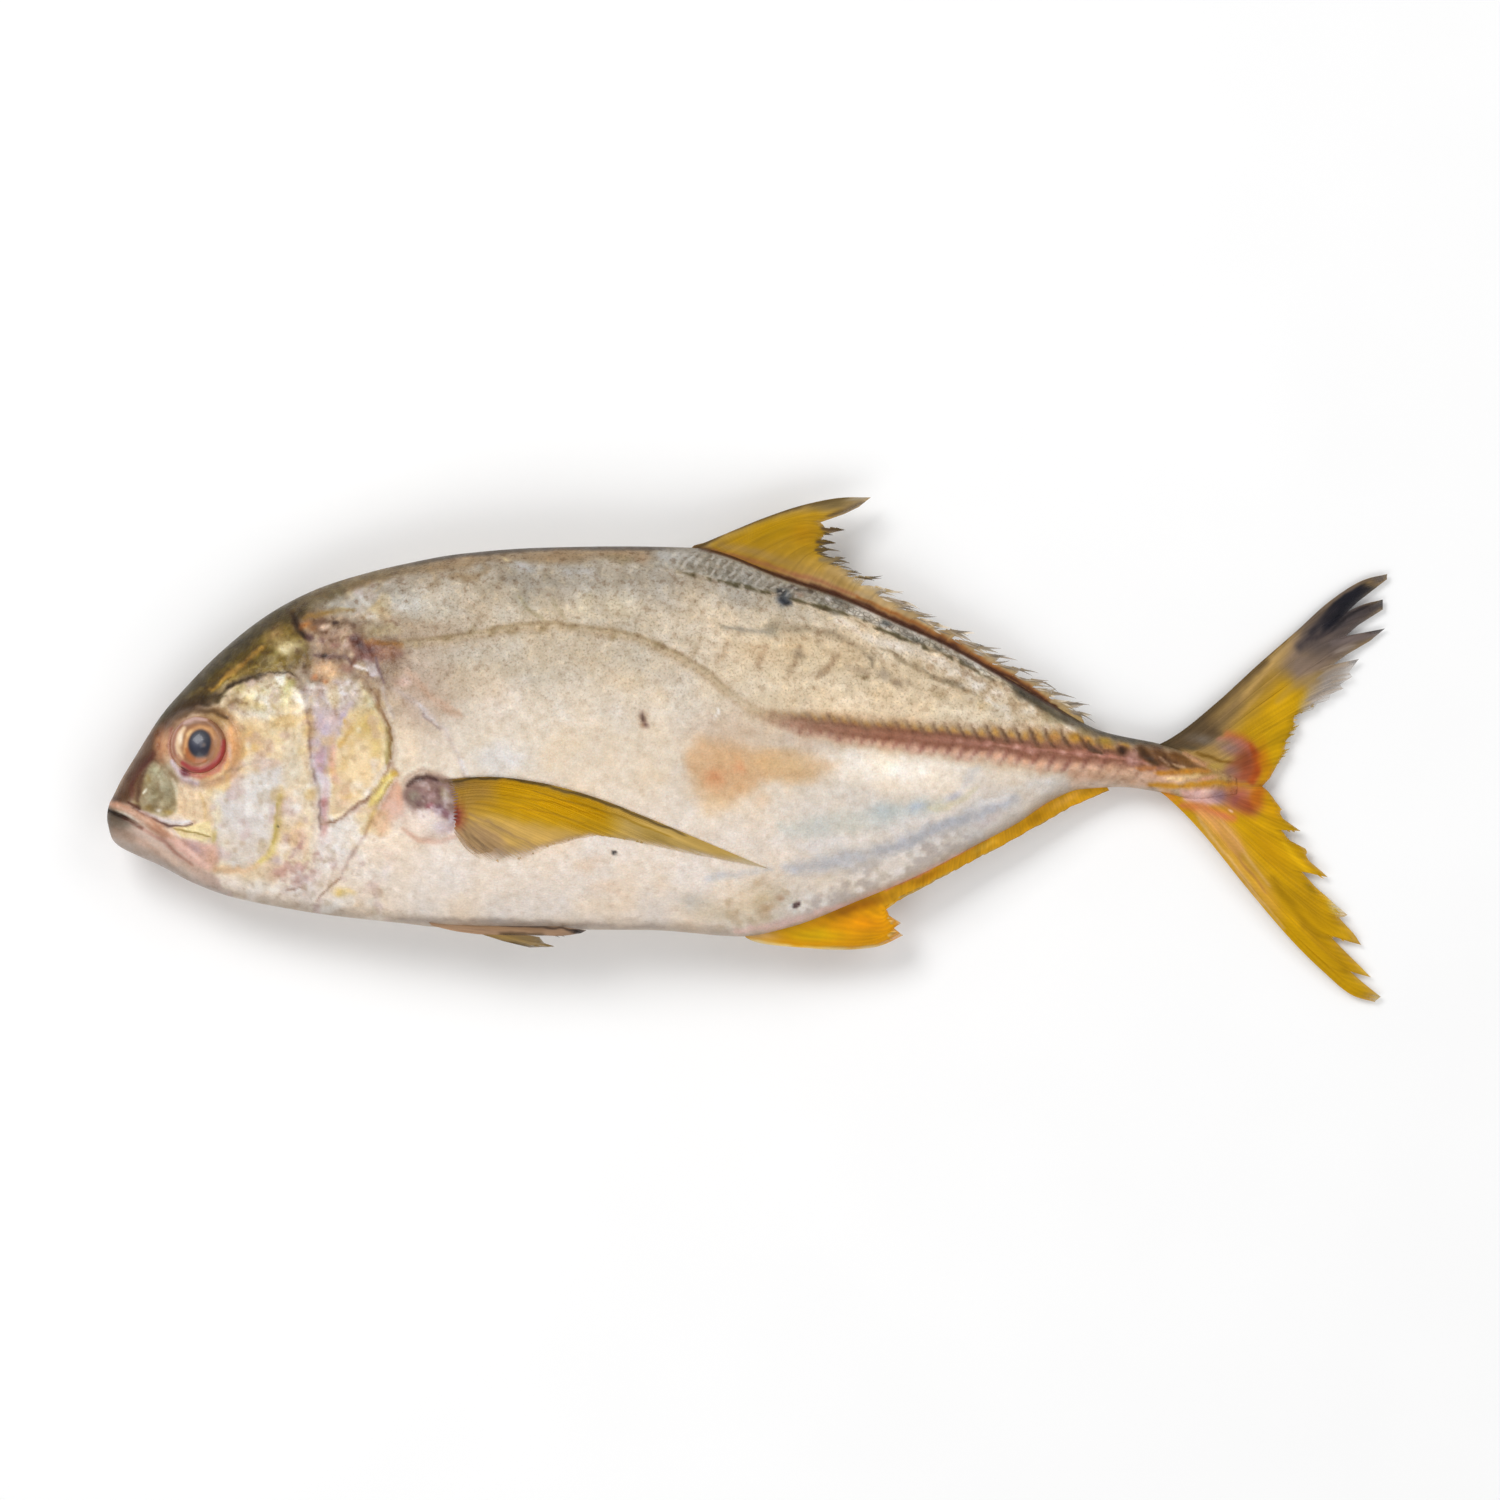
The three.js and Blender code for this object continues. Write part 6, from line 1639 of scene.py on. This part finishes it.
def strand_shells(fin, edge_x, edge_y, edge_z, edge_rays, edge_rgb, seed):
    """Fine rays that stand free of a fin's ragged edge, as closed slivers.

    Each entry of fin["strands"] has the shares of the edge that it spans, a count, a length, an angle in
    degrees, half a width and its tip's colour. Returns points, quads, colours, clearness, rays passed and
    places along the rays.
    """
    rng = np.random.default_rng(seed)
    t = np.linspace(0, 1, len(edge_x))
    cuts = np.linspace(0, 1, STRAND_CUTS)[None, :, None]
    ring = np.array([(1, 0), (0, 1), (-1, 0), (0, -1)], float)[None, None]
    shells = []
    for first, last, count, length, angle, half, colour in fin["strands"]:
        place = np.sort(rng.uniform(first, last, count))
        start = np.stack([np.interp(place, t, edge) for edge in (edge_x, edge_y, edge_z)], axis=1)
        start = start[:, None, None]
        turn = np.radians(angle + rng.normal(0, 6, count))[:, None, None]
        reach = (length * rng.uniform(0.35, 1.15, count))[:, None, None]
        bend = rng.normal(0, 0.12, count)[:, None, None]
        wide = half * rng.uniform(0.6, 1.2, count)[:, None, None] * (1 - 0.92 * cuts ** 1.6)
        thick = 0.12 * (1 - 0.7 * cuts)
        out = reach * cuts
        side = reach * bend * cuts ** 2 + ring[..., 0] * wide
        x = start[..., 0] + out * np.cos(turn) - side * np.sin(turn)
        y = start[..., 1] + out * np.sin(turn) + side * np.cos(turn)
        z = start[..., 2] + ring[..., 1] * thick - 0.25 * out * abs(FIN_SAG)
        own = np.stack([np.interp(place, t, edge_rgb[:, c]) for c in range(3)], axis=1)[:, None, None]
        shade = rng.uniform(0.8, 1.2, count)[:, None, None, None]
        rgb = own + (np.array(colour) / 255 * shade - own) * ease(0, 0.55, cuts)[..., None]
        shells.append((np.stack([x, y, z], axis=-1).reshape(-1, 3),
                       np.broadcast_to(rgb, x.shape + (3,)).reshape(-1, 3),
                       np.broadcast_to(0.95 - 0.5 * cuts, x.shape).ravel(),
                       np.broadcast_to(np.interp(place, t, edge_rays)[:, None, None], x.shape).ravel(),
                       np.broadcast_to(0.9 + 0.1 * cuts, x.shape).ravel()))
    points, rgb, clear, rays, along = (np.concatenate(parts) for parts in zip(*shells))
    sections, corners = cuts.shape[1], ring.shape[2]
    row = np.arange(sections - 1)[:, None] * corners
    k = np.arange(corners)[None]
    after = (k + 1) % corners
    sides = np.stack([row + k, row + after, row + after + corners, row + k + corners], axis=-1).reshape(-1, 4)
    caps = np.array([[3, 2, 1, 0], np.arange(4) + (sections - 1) * corners])
    single = np.vstack((sides, caps))
    starts = np.arange(len(points) // (sections * corners)) * sections * corners
    return points, (single[None] + starts[:, None, None]).reshape(-1, 4), rgb, clear, rays, along


def fin_sheet(fin, name, material, heights):
    """A fin as a closed sheet with loose rays. heights(x, y, s, crest) gives its upper and lower surfaces."""
    x, y, s, rays = fin_places(fin)
    crest = ray_crest(rays, s)
    upper, lower = heights(x, y, s, crest)
    columns, rows = x.shape
    points = np.vstack([np.stack([x, y, z], axis=-1).reshape(-1, 3) for z in (upper, lower)])
    shift = columns * rows
    faces = grid_faces(columns, rows)
    index = np.arange(shift).reshape(columns, rows)
    rim = np.concatenate((index[0], index[1:, -1], index[-1, -2::-1], index[-2:0:-1, 0]))
    after = np.roll(rim, -1)
    turned = np.sum(points[rim, 0] * points[after, 1] - points[after, 0] * points[rim, 1]) < 0
    band = np.stack([rim, rim + shift, after + shift, after], axis=1)
    quads = np.vstack((faces, faces[:, ::-1] + shift, band))
    quads = quads[:, ::-1] if turned else quads
    rgb = fin_colours(fin, x, y)
    if "tail" in name:
        rgb = paint(rgb, TAIL_MARKS, x, y, 0.5)
    streak = 0.05 * (crest - 0.45) + 0.07 * noise(rays * 1.7, s * 3, 1.0, 65) + 0.05 * clouds(x, y, 5, 66)
    rgb = rgb * (1 + streak * ease(0.05, 0.25, s))[..., None]
    clear = paint(np.ones(x.shape + (3,)), fin["clear"], x, y, 0.5)[..., 0]
    clear = 1 - (1 - clear) * (1.15 - 0.6 * crest) - 0.3 * ease(0.9, 1.0, s)
    middle = (upper + lower) / 2
    edges = (grid[:, -4] for grid in (x, y, middle, rays, rgb))
    loose_points, loose_faces, *loose_values = strand_shells(fin, *edges, seed=len(name))
    sheet = [np.tile(rgb.reshape(-1, 3), (2, 1))] + [np.tile(grid.ravel(), 2) for grid in (clear, rays, s)]
    faces = np.vstack((quads, loose_faces + 2 * shift))
    points = np.concatenate((points, loose_points))
    rgb, clear, rays, along = (np.concatenate(pair) for pair in zip(sheet, loose_values))
    numbers = {"clear": np.clip(clear, LEAST_CLEARNESS, 1), "rays": rays, "along": along}
    piece = mesh_piece(name, points, [faces], rgb, numbers, material)
    piece.data.set_sharp_from_angle(angle=math.radians(50))
    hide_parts("fish")


def ray_half(s, crest):
    """Half a fin's thickness: fleshy at the root, and thin between the rays."""
    return 0.9 * (1 - s) ** 4 + 0.12 + 0.1 * crest * (1 - 0.5 * s)


def middle_fin(fin, name, material):
    """A fin in the body's middle plane, which sags with its distance from the body."""

    def heights(x, y, s, crest):
        out = np.maximum(0, np.maximum(y - back_y(x), belly_y(x) - y))
        centre = middle_z(x) - FIN_SAG * out * (1 - ease(100, BODY_END_X, x))
        centre = centre + 0.45 * s * clouds(x, y, 14, 91)
        half = ray_half(s, crest)
        return centre + half, np.maximum(centre - half, 0.05)

    fin_sheet(fin, name, material, heights)


def side_fin(fin, name, side, material):
    """A fin that lies on the body's side. The one underneath is pressed flat."""

    def heights(x, y, s, crest):
        lift = 0.95 * ease(0, 0.12, s) - 0.5 * ease(0.3, 1, s) - 0.3
        ribs = 0.28 * crest * (1 - 0.5 * s)
        outer = skin_height(x, y) + lift + ribs + 0.25 * s * clouds(x, y, 9, 95)
        inner = outer - 0.35 - ribs
        if side > 0:
            return middle_z(x) + outer, middle_z(x) + inner
        low = pressed(middle_z(x) - outer)
        return np.maximum(pressed(middle_z(x) - inner), low + 0.2), low

    fin_sheet(fin, name, material, heights)


def pelvic_fin(fin, name, side, material):
    """A fin folded back along the belly, beside the middle plane."""

    def heights(x, y, s, crest):
        centre = middle_z(x) + side * PELVIC_OUT + 0.3 * s * clouds(x, y, 9, 97)
        half = ray_half(s, crest)
        return centre + half, centre - half

    fin_sheet(fin, name, material, heights)


# ------------------------------------------------------------------ eyes

EYE_MARKS = [
    blob(-153.6, 1.4, 7.8, 7.8, (156, 106, 70), 1, 0, 0.35),
    stroke([(-158.6, 6.6), (-155, 8), (-151, 7.8), (-148, 5.8), (-146.6, 2.6)],
           1.1, (136, 98, 72), 0.75, 1.5),
    stroke([(-158, 7.4), (-155, 8.7), (-151.6, 8.6)], 0.8, (196, 162, 154)),
    stroke([(-158, 6), (-159.4, 3.6), (-159.6, 0.6), (-158.6, -2)], 1.15, (240, 206, 164), 0.9, 1.4),
    # painted highlight on the iris, left of the pupil
    blob(-158.8, 3.2, 0.9, 2, (252, 236, 210), 0.85),
    stroke([(-157.6, -0.6), (-157, 2.6), (-155.8, 4.9), (-153.4, 6.2), (-150.4, 5.7), (-149, 3.4)],
           0.9, (214, 160, 106), 0.9, 1.2),
    blob(-156.4, 4.6, 1.4, 0.9, (240, 200, 142), 0.8, 50),
    stroke([(-149, 4.6), (-148.2, 1.4), (-149, -1.6)], 1.0, (172, 122, 80), 0.75, 1.4),
    stroke([(-157, 0.2), (-156.4, -1.8), (-154.6, -3), (-152, -3)], 0.8, (178, 104, 54), 0.9, 1.1),
    stroke([(-159.4, -1.6), (-157.6, -3.6), (-154.6, -4.8), (-151, -4.8), (-148.6, -3), (-147.4, 0)],
           0.8, (182, 130, 98), 0.85, 1.1),
    stroke([(-146.6, 2.4), (-146.9, -0.4), (-148.1, -3), (-150.4, -4.9), (-153.2, -5.8), (-156, -5.2),
            (-158.2, -3.6)], 1.1, (160, 58, 58), 0.95, 1.2),
    blob(-154, -6.9, 1.8, 0.6, (120, 40, 46), 0.8, 8),
    stroke([(-158.4, -5), (-156.4, -6.6), (-154, -7.4)], 0.6, (92, 44, 50), 0.85, 0.9),
    stroke([(-158.4, 8), (-160.4, 5.2), (-161, 1.6), (-160.4, -1.8)], 0.5, (150, 96, 80), 0.6, 1.1),
    blob(-153.3, 1.8, 3.5, 4.2, (74, 46, 38), 0.85, -10, 0.3),
    blob(-153.3, 1.85, 3.1, 3.85, (30, 32, 46), 1, -10, 0.2),
    blob(-154.4, 2.2, 1.6, 2.6, (46, 50, 72)),
    blob(-152, -0.8, 1.4, 1.4, (40, 34, 50), 0.7),
    # painted reflection: a pale glint on the pupil and a brownish one beside it
    area([(-152.9, 3.8), (-153.6, 1.9), (-153.1, 0.6), (-152.4, 0.8), (-152.3, 2.6)],
         (104, 102, 110), 0.6, 0.9),
    blob(-152.1, 1.4, 0.7, 0.8, (126, 108, 98), 0.7),
]
EYE_SKIN = (190, 144, 116)
EYE_RINGS, EYE_SEGMENTS = 100, 144
CORNEA_RADIUS, CORNEA_RISE = 6.2, 0.5


def ellipsoid(rings, segments):
    """Points of a unit sphere about +Z, thick with rings on its front, with its faces."""
    front, back = np.linspace(0, math.pi / 2, rings), np.linspace(math.pi / 2, math.pi, rings // 6)
    turn = np.concatenate((front, back[1:]))[1:-1]
    round_ = np.arange(segments) / segments * 2 * math.pi
    ring = np.stack([np.outer(np.sin(turn), np.cos(round_)), np.outer(np.sin(turn), np.sin(round_)),
                     np.repeat(np.cos(turn)[:, None], segments, axis=1)], axis=-1).reshape(-1, 3)
    points = np.vstack((ring, [[0, 0, 1], [0, 0, -1]]))
    k = np.arange(segments)
    after = (k + 1) % segments
    last = len(ring) - segments
    top = np.stack([np.full(segments, len(ring)), k, after], axis=1)
    bottom = np.stack([np.full(segments, len(ring) + 1), last + after, last + k], axis=1)
    return points, [grid_faces(len(turn), segments, wrap_columns=True, flip=True), np.vstack((top, bottom))]


def eye_piece(name, side, material):
    """An eyeball square to the skin round it, with a low clear dome over its pupil."""
    step = 3.0

    def plain(dx, dy):
        x, y = np.array(EYE_X + dx), np.array(EYE_Y + dy)
        return float(half_width(x) * section(x, y))

    slope_x, slope_y = plain(-step, 0) - plain(step, 0), plain(0, -step) - plain(0, step)
    normal = np.array([slope_x / (2 * step), slope_y / (2 * step), 1])
    normal /= np.linalg.norm(normal)
    normal[2] *= side
    across = np.cross([0, 1, 0], normal)
    across /= np.linalg.norm(across)
    up = np.cross(normal, across)
    unit, faces = ellipsoid(EYE_RINGS, EYE_SEGMENTS)
    local = unit * [EYE_RADIUS, EYE_RADIUS, EYE_DEPTH]
    r = np.hypot(local[:, 0], local[:, 1])
    dome = CORNEA_RISE * bump(r / CORNEA_RADIUS) - 0.2 * bump((r - 6.4) / 0.9)
    local[:, 2] += np.where(unit[:, 2] > 0, dome, 0)
    centre = np.array([EYE_X, EYE_Y, float(middle_z(np.array(EYE_X))) + side * (plain(0, 0) - EYE_SUNK)])
    points = centre + local @ np.array([across, up, normal])
    if np.linalg.det(np.array([across, up, normal])) < 0:
        faces = [f[:, ::-1] for f in faces]
    x, y = points[:, 0], points[:, 1]
    rgb = paint(field_of(EYE_SKIN, x), EYE_MARKS, x, y, 0.12, 0.0)
    fleck = 0.05 * clouds(x, y, 1.2, 101)
    rgb = rgb * (1 + fleck)[:, None]
    piece = mesh_piece(name, points, faces, rgb, {}, material)
    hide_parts("eye_left" if side > 0 else "eye_right")


# ------------------------------------------------------------------ materials


RIDGE_SLANT, RIDGE_PITCH = 0.85, 3.0  # lean of the sheath's ridges, and millimetres from one to the next
RAY_JOINTS = 320.0  # phase of the joints' wave over the length of a ray, in radians


def plug(tree, node, inputs):
    """Sets a node's inputs. An input is a value or another node's output."""
    for key, value in inputs.items():
        if isinstance(value, bpy.types.NodeSocket):
            tree.links.new(value, node.inputs[key])
        else:
            node.inputs[key].default_value = value


def add_node(tree, kind, inputs, **settings):
    """A shader node with its settings and inputs."""
    made = tree.nodes.new("ShaderNode" + kind)
    for key, value in settings.items():
        setattr(made, key, value)
    plug(tree, made, inputs)
    return made


def start_material(name):
    """A material, its tree of nodes, its shader and places on it in millimetres."""
    material = bpy.data.materials.new(name)
    material.use_nodes = True
    tree = material.node_tree
    spot = add_node(tree, "TexCoord", {}).outputs["Object"]
    place = add_node(tree, "VectorMath", {0: spot, "Scale": 1 / MM}, operation="SCALE").outputs[0]
    return material, tree, tree.nodes["Principled BSDF"], place


def stored(tree, name, output="Fac"):
    """A value that mesh_piece() stored at the points."""
    return add_node(tree, "Attribute", {}, attribute_name=name, attribute_type="GEOMETRY").outputs[output]


def texture_noise(tree, place, size, detail=2.0):
    """Noise from 0 to 1 in patches of a size in millimetres."""
    return add_node(tree, "TexNoise", {"Vector": place, "Scale": 1 / size, "Detail": detail}).outputs["Fac"]


def cell_edges(tree, place, scale):
    """Distance from the edges of cells, of which scale fit in a millimetre."""
    made = add_node(tree, "TexVoronoi", {"Vector": place, "Scale": scale}, feature="DISTANCE_TO_EDGE")
    return made.outputs["Distance"]


def remap(tree, value, low, high, to_low=0.0, to_high=1.0, smooth=True):
    """A value between low and high, moved to between to_low and to_high."""
    inputs = {"Value": value, "From Min": low, "From Max": high, "To Min": to_low, "To Max": to_high}
    kind = "SMOOTHSTEP" if smooth else "LINEAR"
    return add_node(tree, "MapRange", inputs, interpolation_type=kind).outputs["Result"]


def calculate(tree, operation, first, second=0.0):
    """A sum with one value or two."""
    return add_node(tree, "Math", {0: first, 1: second}, operation=operation).outputs[0]


def times(tree, first, second):
    """One value times another."""
    return calculate(tree, "MULTIPLY", first, second)


def add_up(tree, *values):
    """The sum of two or more values."""
    total = values[0]
    for value in values[1:]:
        total = calculate(tree, "ADD", total, value)
    return total


def grey(tree, level):
    """A grey of one level."""
    return add_node(tree, "CombineColor", {0: level, 1: level, 2: level}).outputs[0]


def blend_colour(tree, share, first, second, blend="MIX"):
    """The first colour with a share of the second blended into it."""
    made = add_node(tree, "Mix", {"Factor": share}, data_type="RGBA", blend_type=blend)
    inputs = [index for index, socket in enumerate(made.inputs) if socket.type == "RGBA"]
    plug(tree, made, dict(zip(inputs, (first, second))))
    return [socket for socket in made.outputs if socket.type == "RGBA"][0]


def tinted(tree, shade):
    """The colour stored at the points, times a shade."""
    return blend_colour(tree, 1.0, stored(tree, "tint", "Color"), grey(tree, shade), "MULTIPLY")


def bumps(tree, height, distance, strength):
    """Normals of a height that isn't in the mesh."""
    inputs = {"Height": height, "Distance": distance, "Strength": strength}
    return add_node(tree, "Bump", inputs).outputs["Normal"]


def sheath_scales(tree, place, colour):
    """Slanted pale ridges on the front of the back fin's sheath and a mosaic of scales on the rest."""
    spot = add_node(tree, "SeparateXYZ", {0: place})
    slant = calculate(tree, "SUBTRACT", spot.outputs[0], times(tree, spot.outputs[1], RIDGE_SLANT))
    slant = add_up(tree, slant, times(tree, texture_noise(tree, place, 5.0), 5.0))
    wave = calculate(tree, "SINE", times(tree, slant, 2 * math.pi / RIDGE_PITCH))
    uneven = remap(tree, texture_noise(tree, place, 1.7), 0.35, 0.62, 0.05, 1.0)
    share = times(tree, uneven, stored(tree, "ridges"))
    crest = times(tree, remap(tree, wave, -0.1, 0.9, 0.0, 0.6), share)
    trough = times(tree, remap(tree, wave, 0.2, -0.9, 0.0, 0.6), share)
    colour = blend_colour(tree, trough, colour, (0.55, 0.54, 0.5, 1), "MULTIPLY")
    colour = blend_colour(tree, crest, colour, (0.55, 0.5, 0.44, 1))
    seams = remap(tree, cell_edges(tree, place, 0.62), 0.02, 0.2, 0.75, 0.0)
    seams = times(tree, seams, stored(tree, "mosaic"))
    colour = blend_colour(tree, seams, colour, (0.4, 0.37, 0.32, 1), "MULTIPLY")
    return calculate(tree, "SUBTRACT", times(tree, crest, 2.0), seams), colour


def skin_material():
    """Wet skin: fine scales and flecks, olive dots on the upper side, and a thin clear coat."""
    material, tree, shader, place = start_material("fish_skin")
    mottle = stored(tree, "mottle")
    seams = remap(tree, cell_edges(tree, place, 0.85), 0.0, 0.16)
    grain = texture_noise(tree, place, 0.6, 3.0)
    flecks = texture_noise(tree, place, 2.0, 3.0)
    colour = tinted(tree, remap(tree, grain, 0.3, 0.7, 0.92, 1.06, smooth=False))
    dark = times(tree, remap(tree, flecks, 0.53, 0.7, 0.0, 0.75), mottle)
    colour = blend_colour(tree, dark, colour, (0.5, 0.36, 0.24, 1), "MULTIPLY")
    pale = times(tree, remap(tree, flecks, 0.46, 0.32, 0.0, 0.3), mottle)
    colour = blend_colour(tree, pale, colour, (1.9, 1.8, 1.6, 1), "MULTIPLY")
    dots = remap(tree, texture_noise(tree, place, 0.7), 0.5, 0.72, 0.0, 0.5)
    dots = times(tree, dots, stored(tree, "pepper"))
    colour = blend_colour(tree, dots, colour, (0.42, 0.36, 0.27, 1), "MULTIPLY")
    ridge, colour = sheath_scales(tree, place, colour)
    height = add_up(tree, times(tree, seams, 0.5), times(tree, grain, 0.6), times(tree, flecks, mottle))
    height = add_up(tree, height, ridge)
    plug(tree, shader, {
        "Base Color": colour,
        "Roughness": remap(tree, texture_noise(tree, place, 3.2), 0.3, 0.7, 0.34, 0.52),
        "Normal": bumps(tree, height, 0.00018, 0.5),
        "IOR": 1.4,
        "Specular IOR Level": 0.3,
        "Subsurface Weight": 0.1,
        "Subsurface Radius": (1.0, 0.45, 0.3),
        "Subsurface Scale": 0.0009,
        "Coat Weight": 0.14,
        "Coat Roughness": 0.16,
    })
    return material


def fin_material():
    """Fin membrane between jointed rays, clear where it is frayed."""
    material, tree, shader, place = start_material("fish_fin")
    rays, along = stored(tree, "rays"), stored(tree, "along")
    fine = texture_noise(tree, place, 0.6)
    fibre_place = add_node(tree, "CombineXYZ", {0: times(tree, rays, 4.2), 1: times(tree, along, 5.0)})
    fibres = texture_noise(tree, fibre_place.outputs[0], 1.0, 3.0)
    wave = calculate(tree, "SINE", times(tree, rays, 8 * math.pi))
    joints = calculate(tree, "SINE", times(tree, along, RAY_JOINTS))
    shade = remap(tree, fibres, 0.3, 0.7, 0.92, 1.07, smooth=False)
    shade = times(tree, shade, remap(tree, fine, 0.3, 0.7, 0.97, 1.02, smooth=False))
    shade = times(tree, shade, remap(tree, wave, -1, 1, 0.95, 1.03, smooth=False))
    shade = times(tree, shade, remap(tree, joints, -1, 1, 0.97, 1.02, smooth=False))
    height = add_up(tree, times(tree, wave, 0.12), times(tree, joints, 0.06), fibres)
    plug(tree, shader, {
        "Base Color": tinted(tree, shade),
        "Alpha": stored(tree, "clear"),
        "Roughness": remap(tree, fine, 0.3, 0.7, 0.38, 0.56),
        "Normal": bumps(tree, height, 0.00012, 0.4),
        "IOR": 1.4,
        "Specular IOR Level": 0.12,
        "Coat Weight": 0.04,
        "Coat Roughness": 0.2,
    })
    return material


def eye_material():
    """A wet eyeball under a clear cornea."""
    material, tree, shader, place = start_material("fish_eye")
    shade = remap(tree, texture_noise(tree, place, 0.4), 0.3, 0.7, 0.93, 1.05, smooth=False)
    plug(tree, shader, {
        "Base Color": tinted(tree, shade),
        "Roughness": 0.35,
        "Coat Weight": 0.4,
        "Coat Roughness": 0.06,
        "Coat IOR": 1.38,
    })
    return material


def floor_material():
    """A matt, nearly white floor."""
    material, tree, shader, place = start_material("pale_floor")
    tone = remap(tree, texture_noise(tree, place, 60.0), 0.2, 0.8, 0.945, 0.96)
    plug(tree, shader, {"Base Color": grey(tree, tone), "Roughness": 0.9})
    return material


# ------------------------------------------------------------------ camera, floor and light

PHOTO_PIXELS = 1500
MM_PER_PIXEL = 0.28
VIEW_WIDTH = PHOTO_PIXELS * MM_PER_PIXEL * MM
LENS, SENSOR = 250.0, 36.0
VIEW_HEIGHT = 0.02  # the height above the floor at which the view's width is measured


def aim(item, target):
    """Turns a lamp so that it looks at a place."""
    direction = np.array(target) - np.array(item.location)
    from_up = math.atan2(math.hypot(direction[0], direction[1]), -direction[2])
    item.rotation_euler = (from_up, 0, math.atan2(direction[1], direction[0]) - math.pi / 2)


def add_camera():
    """Looks straight down on the fish, with its back at the top of the picture."""
    data = bpy.data.cameras.new("camera")
    data.lens, data.sensor_width = LENS, SENSOR
    data.clip_end = 20
    camera = bpy.data.objects.new("camera", data)
    camera.location = (0, 0, VIEW_HEIGHT + VIEW_WIDTH * LENS / SENSOR)
    bpy.context.scene.collection.objects.link(camera)
    bpy.context.scene.camera = camera


def add_light(name, place, size, level):
    """A square lamp aimed at the fish. level is how brightly it lights a level white surface."""
    data = bpy.data.lights.new(name, "AREA")
    data.shape, data.size = "SQUARE", size
    data.energy = level * math.pi ** 2 * math.dist(place, (0, 0, 0)) ** 3 / place[2]
    light = bpy.data.objects.new(name, data)
    light.location = place
    aim(light, (0, 0, 0))
    bpy.context.scene.collection.objects.link(light)


FLOOR_REACH = 3.0
LAMP_HEIGHT = 1.25
WORLD_LEVEL = 0.32
LAMPS = [  # name, place on the plan, size and level
    ("light_key", (-0.7, 0.75), 0.7, 0.38),
    ("light_tail", (0.85, 0.6), 0.9, 0.13),
    ("light_belly", (-0.5, -0.85), 0.9, 0.19),
    ("light_rear", (0.7, -0.7), 0.9, 0.11),
]


def add_studio():
    """The floor, four lamps round the fish and a white world."""
    mesh = bpy.data.meshes.new("floor")
    corners = [(FLOOR_REACH * x, FLOOR_REACH * y, 0) for x, y in ((-1, -1), (1, -1), (1, 1), (-1, 1))]
    mesh.from_pydata(corners, [], [(0, 1, 2, 3)])
    mesh.materials.append(floor_material())
    floor = bpy.data.objects.new("floor", mesh)
    bpy.context.scene.collection.objects.link(floor)
    for name, (x, y), size, level in LAMPS:
        add_light(name, (x, y, LAMP_HEIGHT), size, level)
    world = bpy.data.worlds.new("studio")
    world.use_nodes = True
    tree = world.node_tree
    plug(tree, tree.nodes["Background"], {"Color": (1, 1, 1, 1), "Strength": WORLD_LEVEL})
    bpy.context.scene.world = world
    bpy.context.scene.view_settings.view_transform = "Standard"


# ------------------------------------------------------------------ the whole

add_camera()
add_studio()
skin, membrane, eyeball = skin_material(), fin_material(), eye_material()
skin_piece("skin_left", 1, *SHOWN_MESH, skin)
skin_piece("skin_right", -1, *HIDDEN_MESH, skin)
for fin_name, fin in (("dorsal_fin", DORSAL), ("anal_fin", ANAL)):
    middle_fin(fin, fin_name, membrane)
for lobe_name, lobe in (("upper", TAIL_UPPER), ("lower", TAIL_LOWER)):
    middle_fin(lobe, "tail_fin_" + lobe_name, membrane)
for side_name, side in (("left", 1), ("right", -1)):
    side_fin(PECTORAL, "pectoral_fin_" + side_name, side, membrane)
    eye_piece("eyeball_" + side_name, side, eyeball)
pelvic_fin(PELVIC_LEFT, "pelvic_fin_left", 1, membrane)
pelvic_fin(PELVIC_RIGHT, "pelvic_fin_right", -1, membrane)
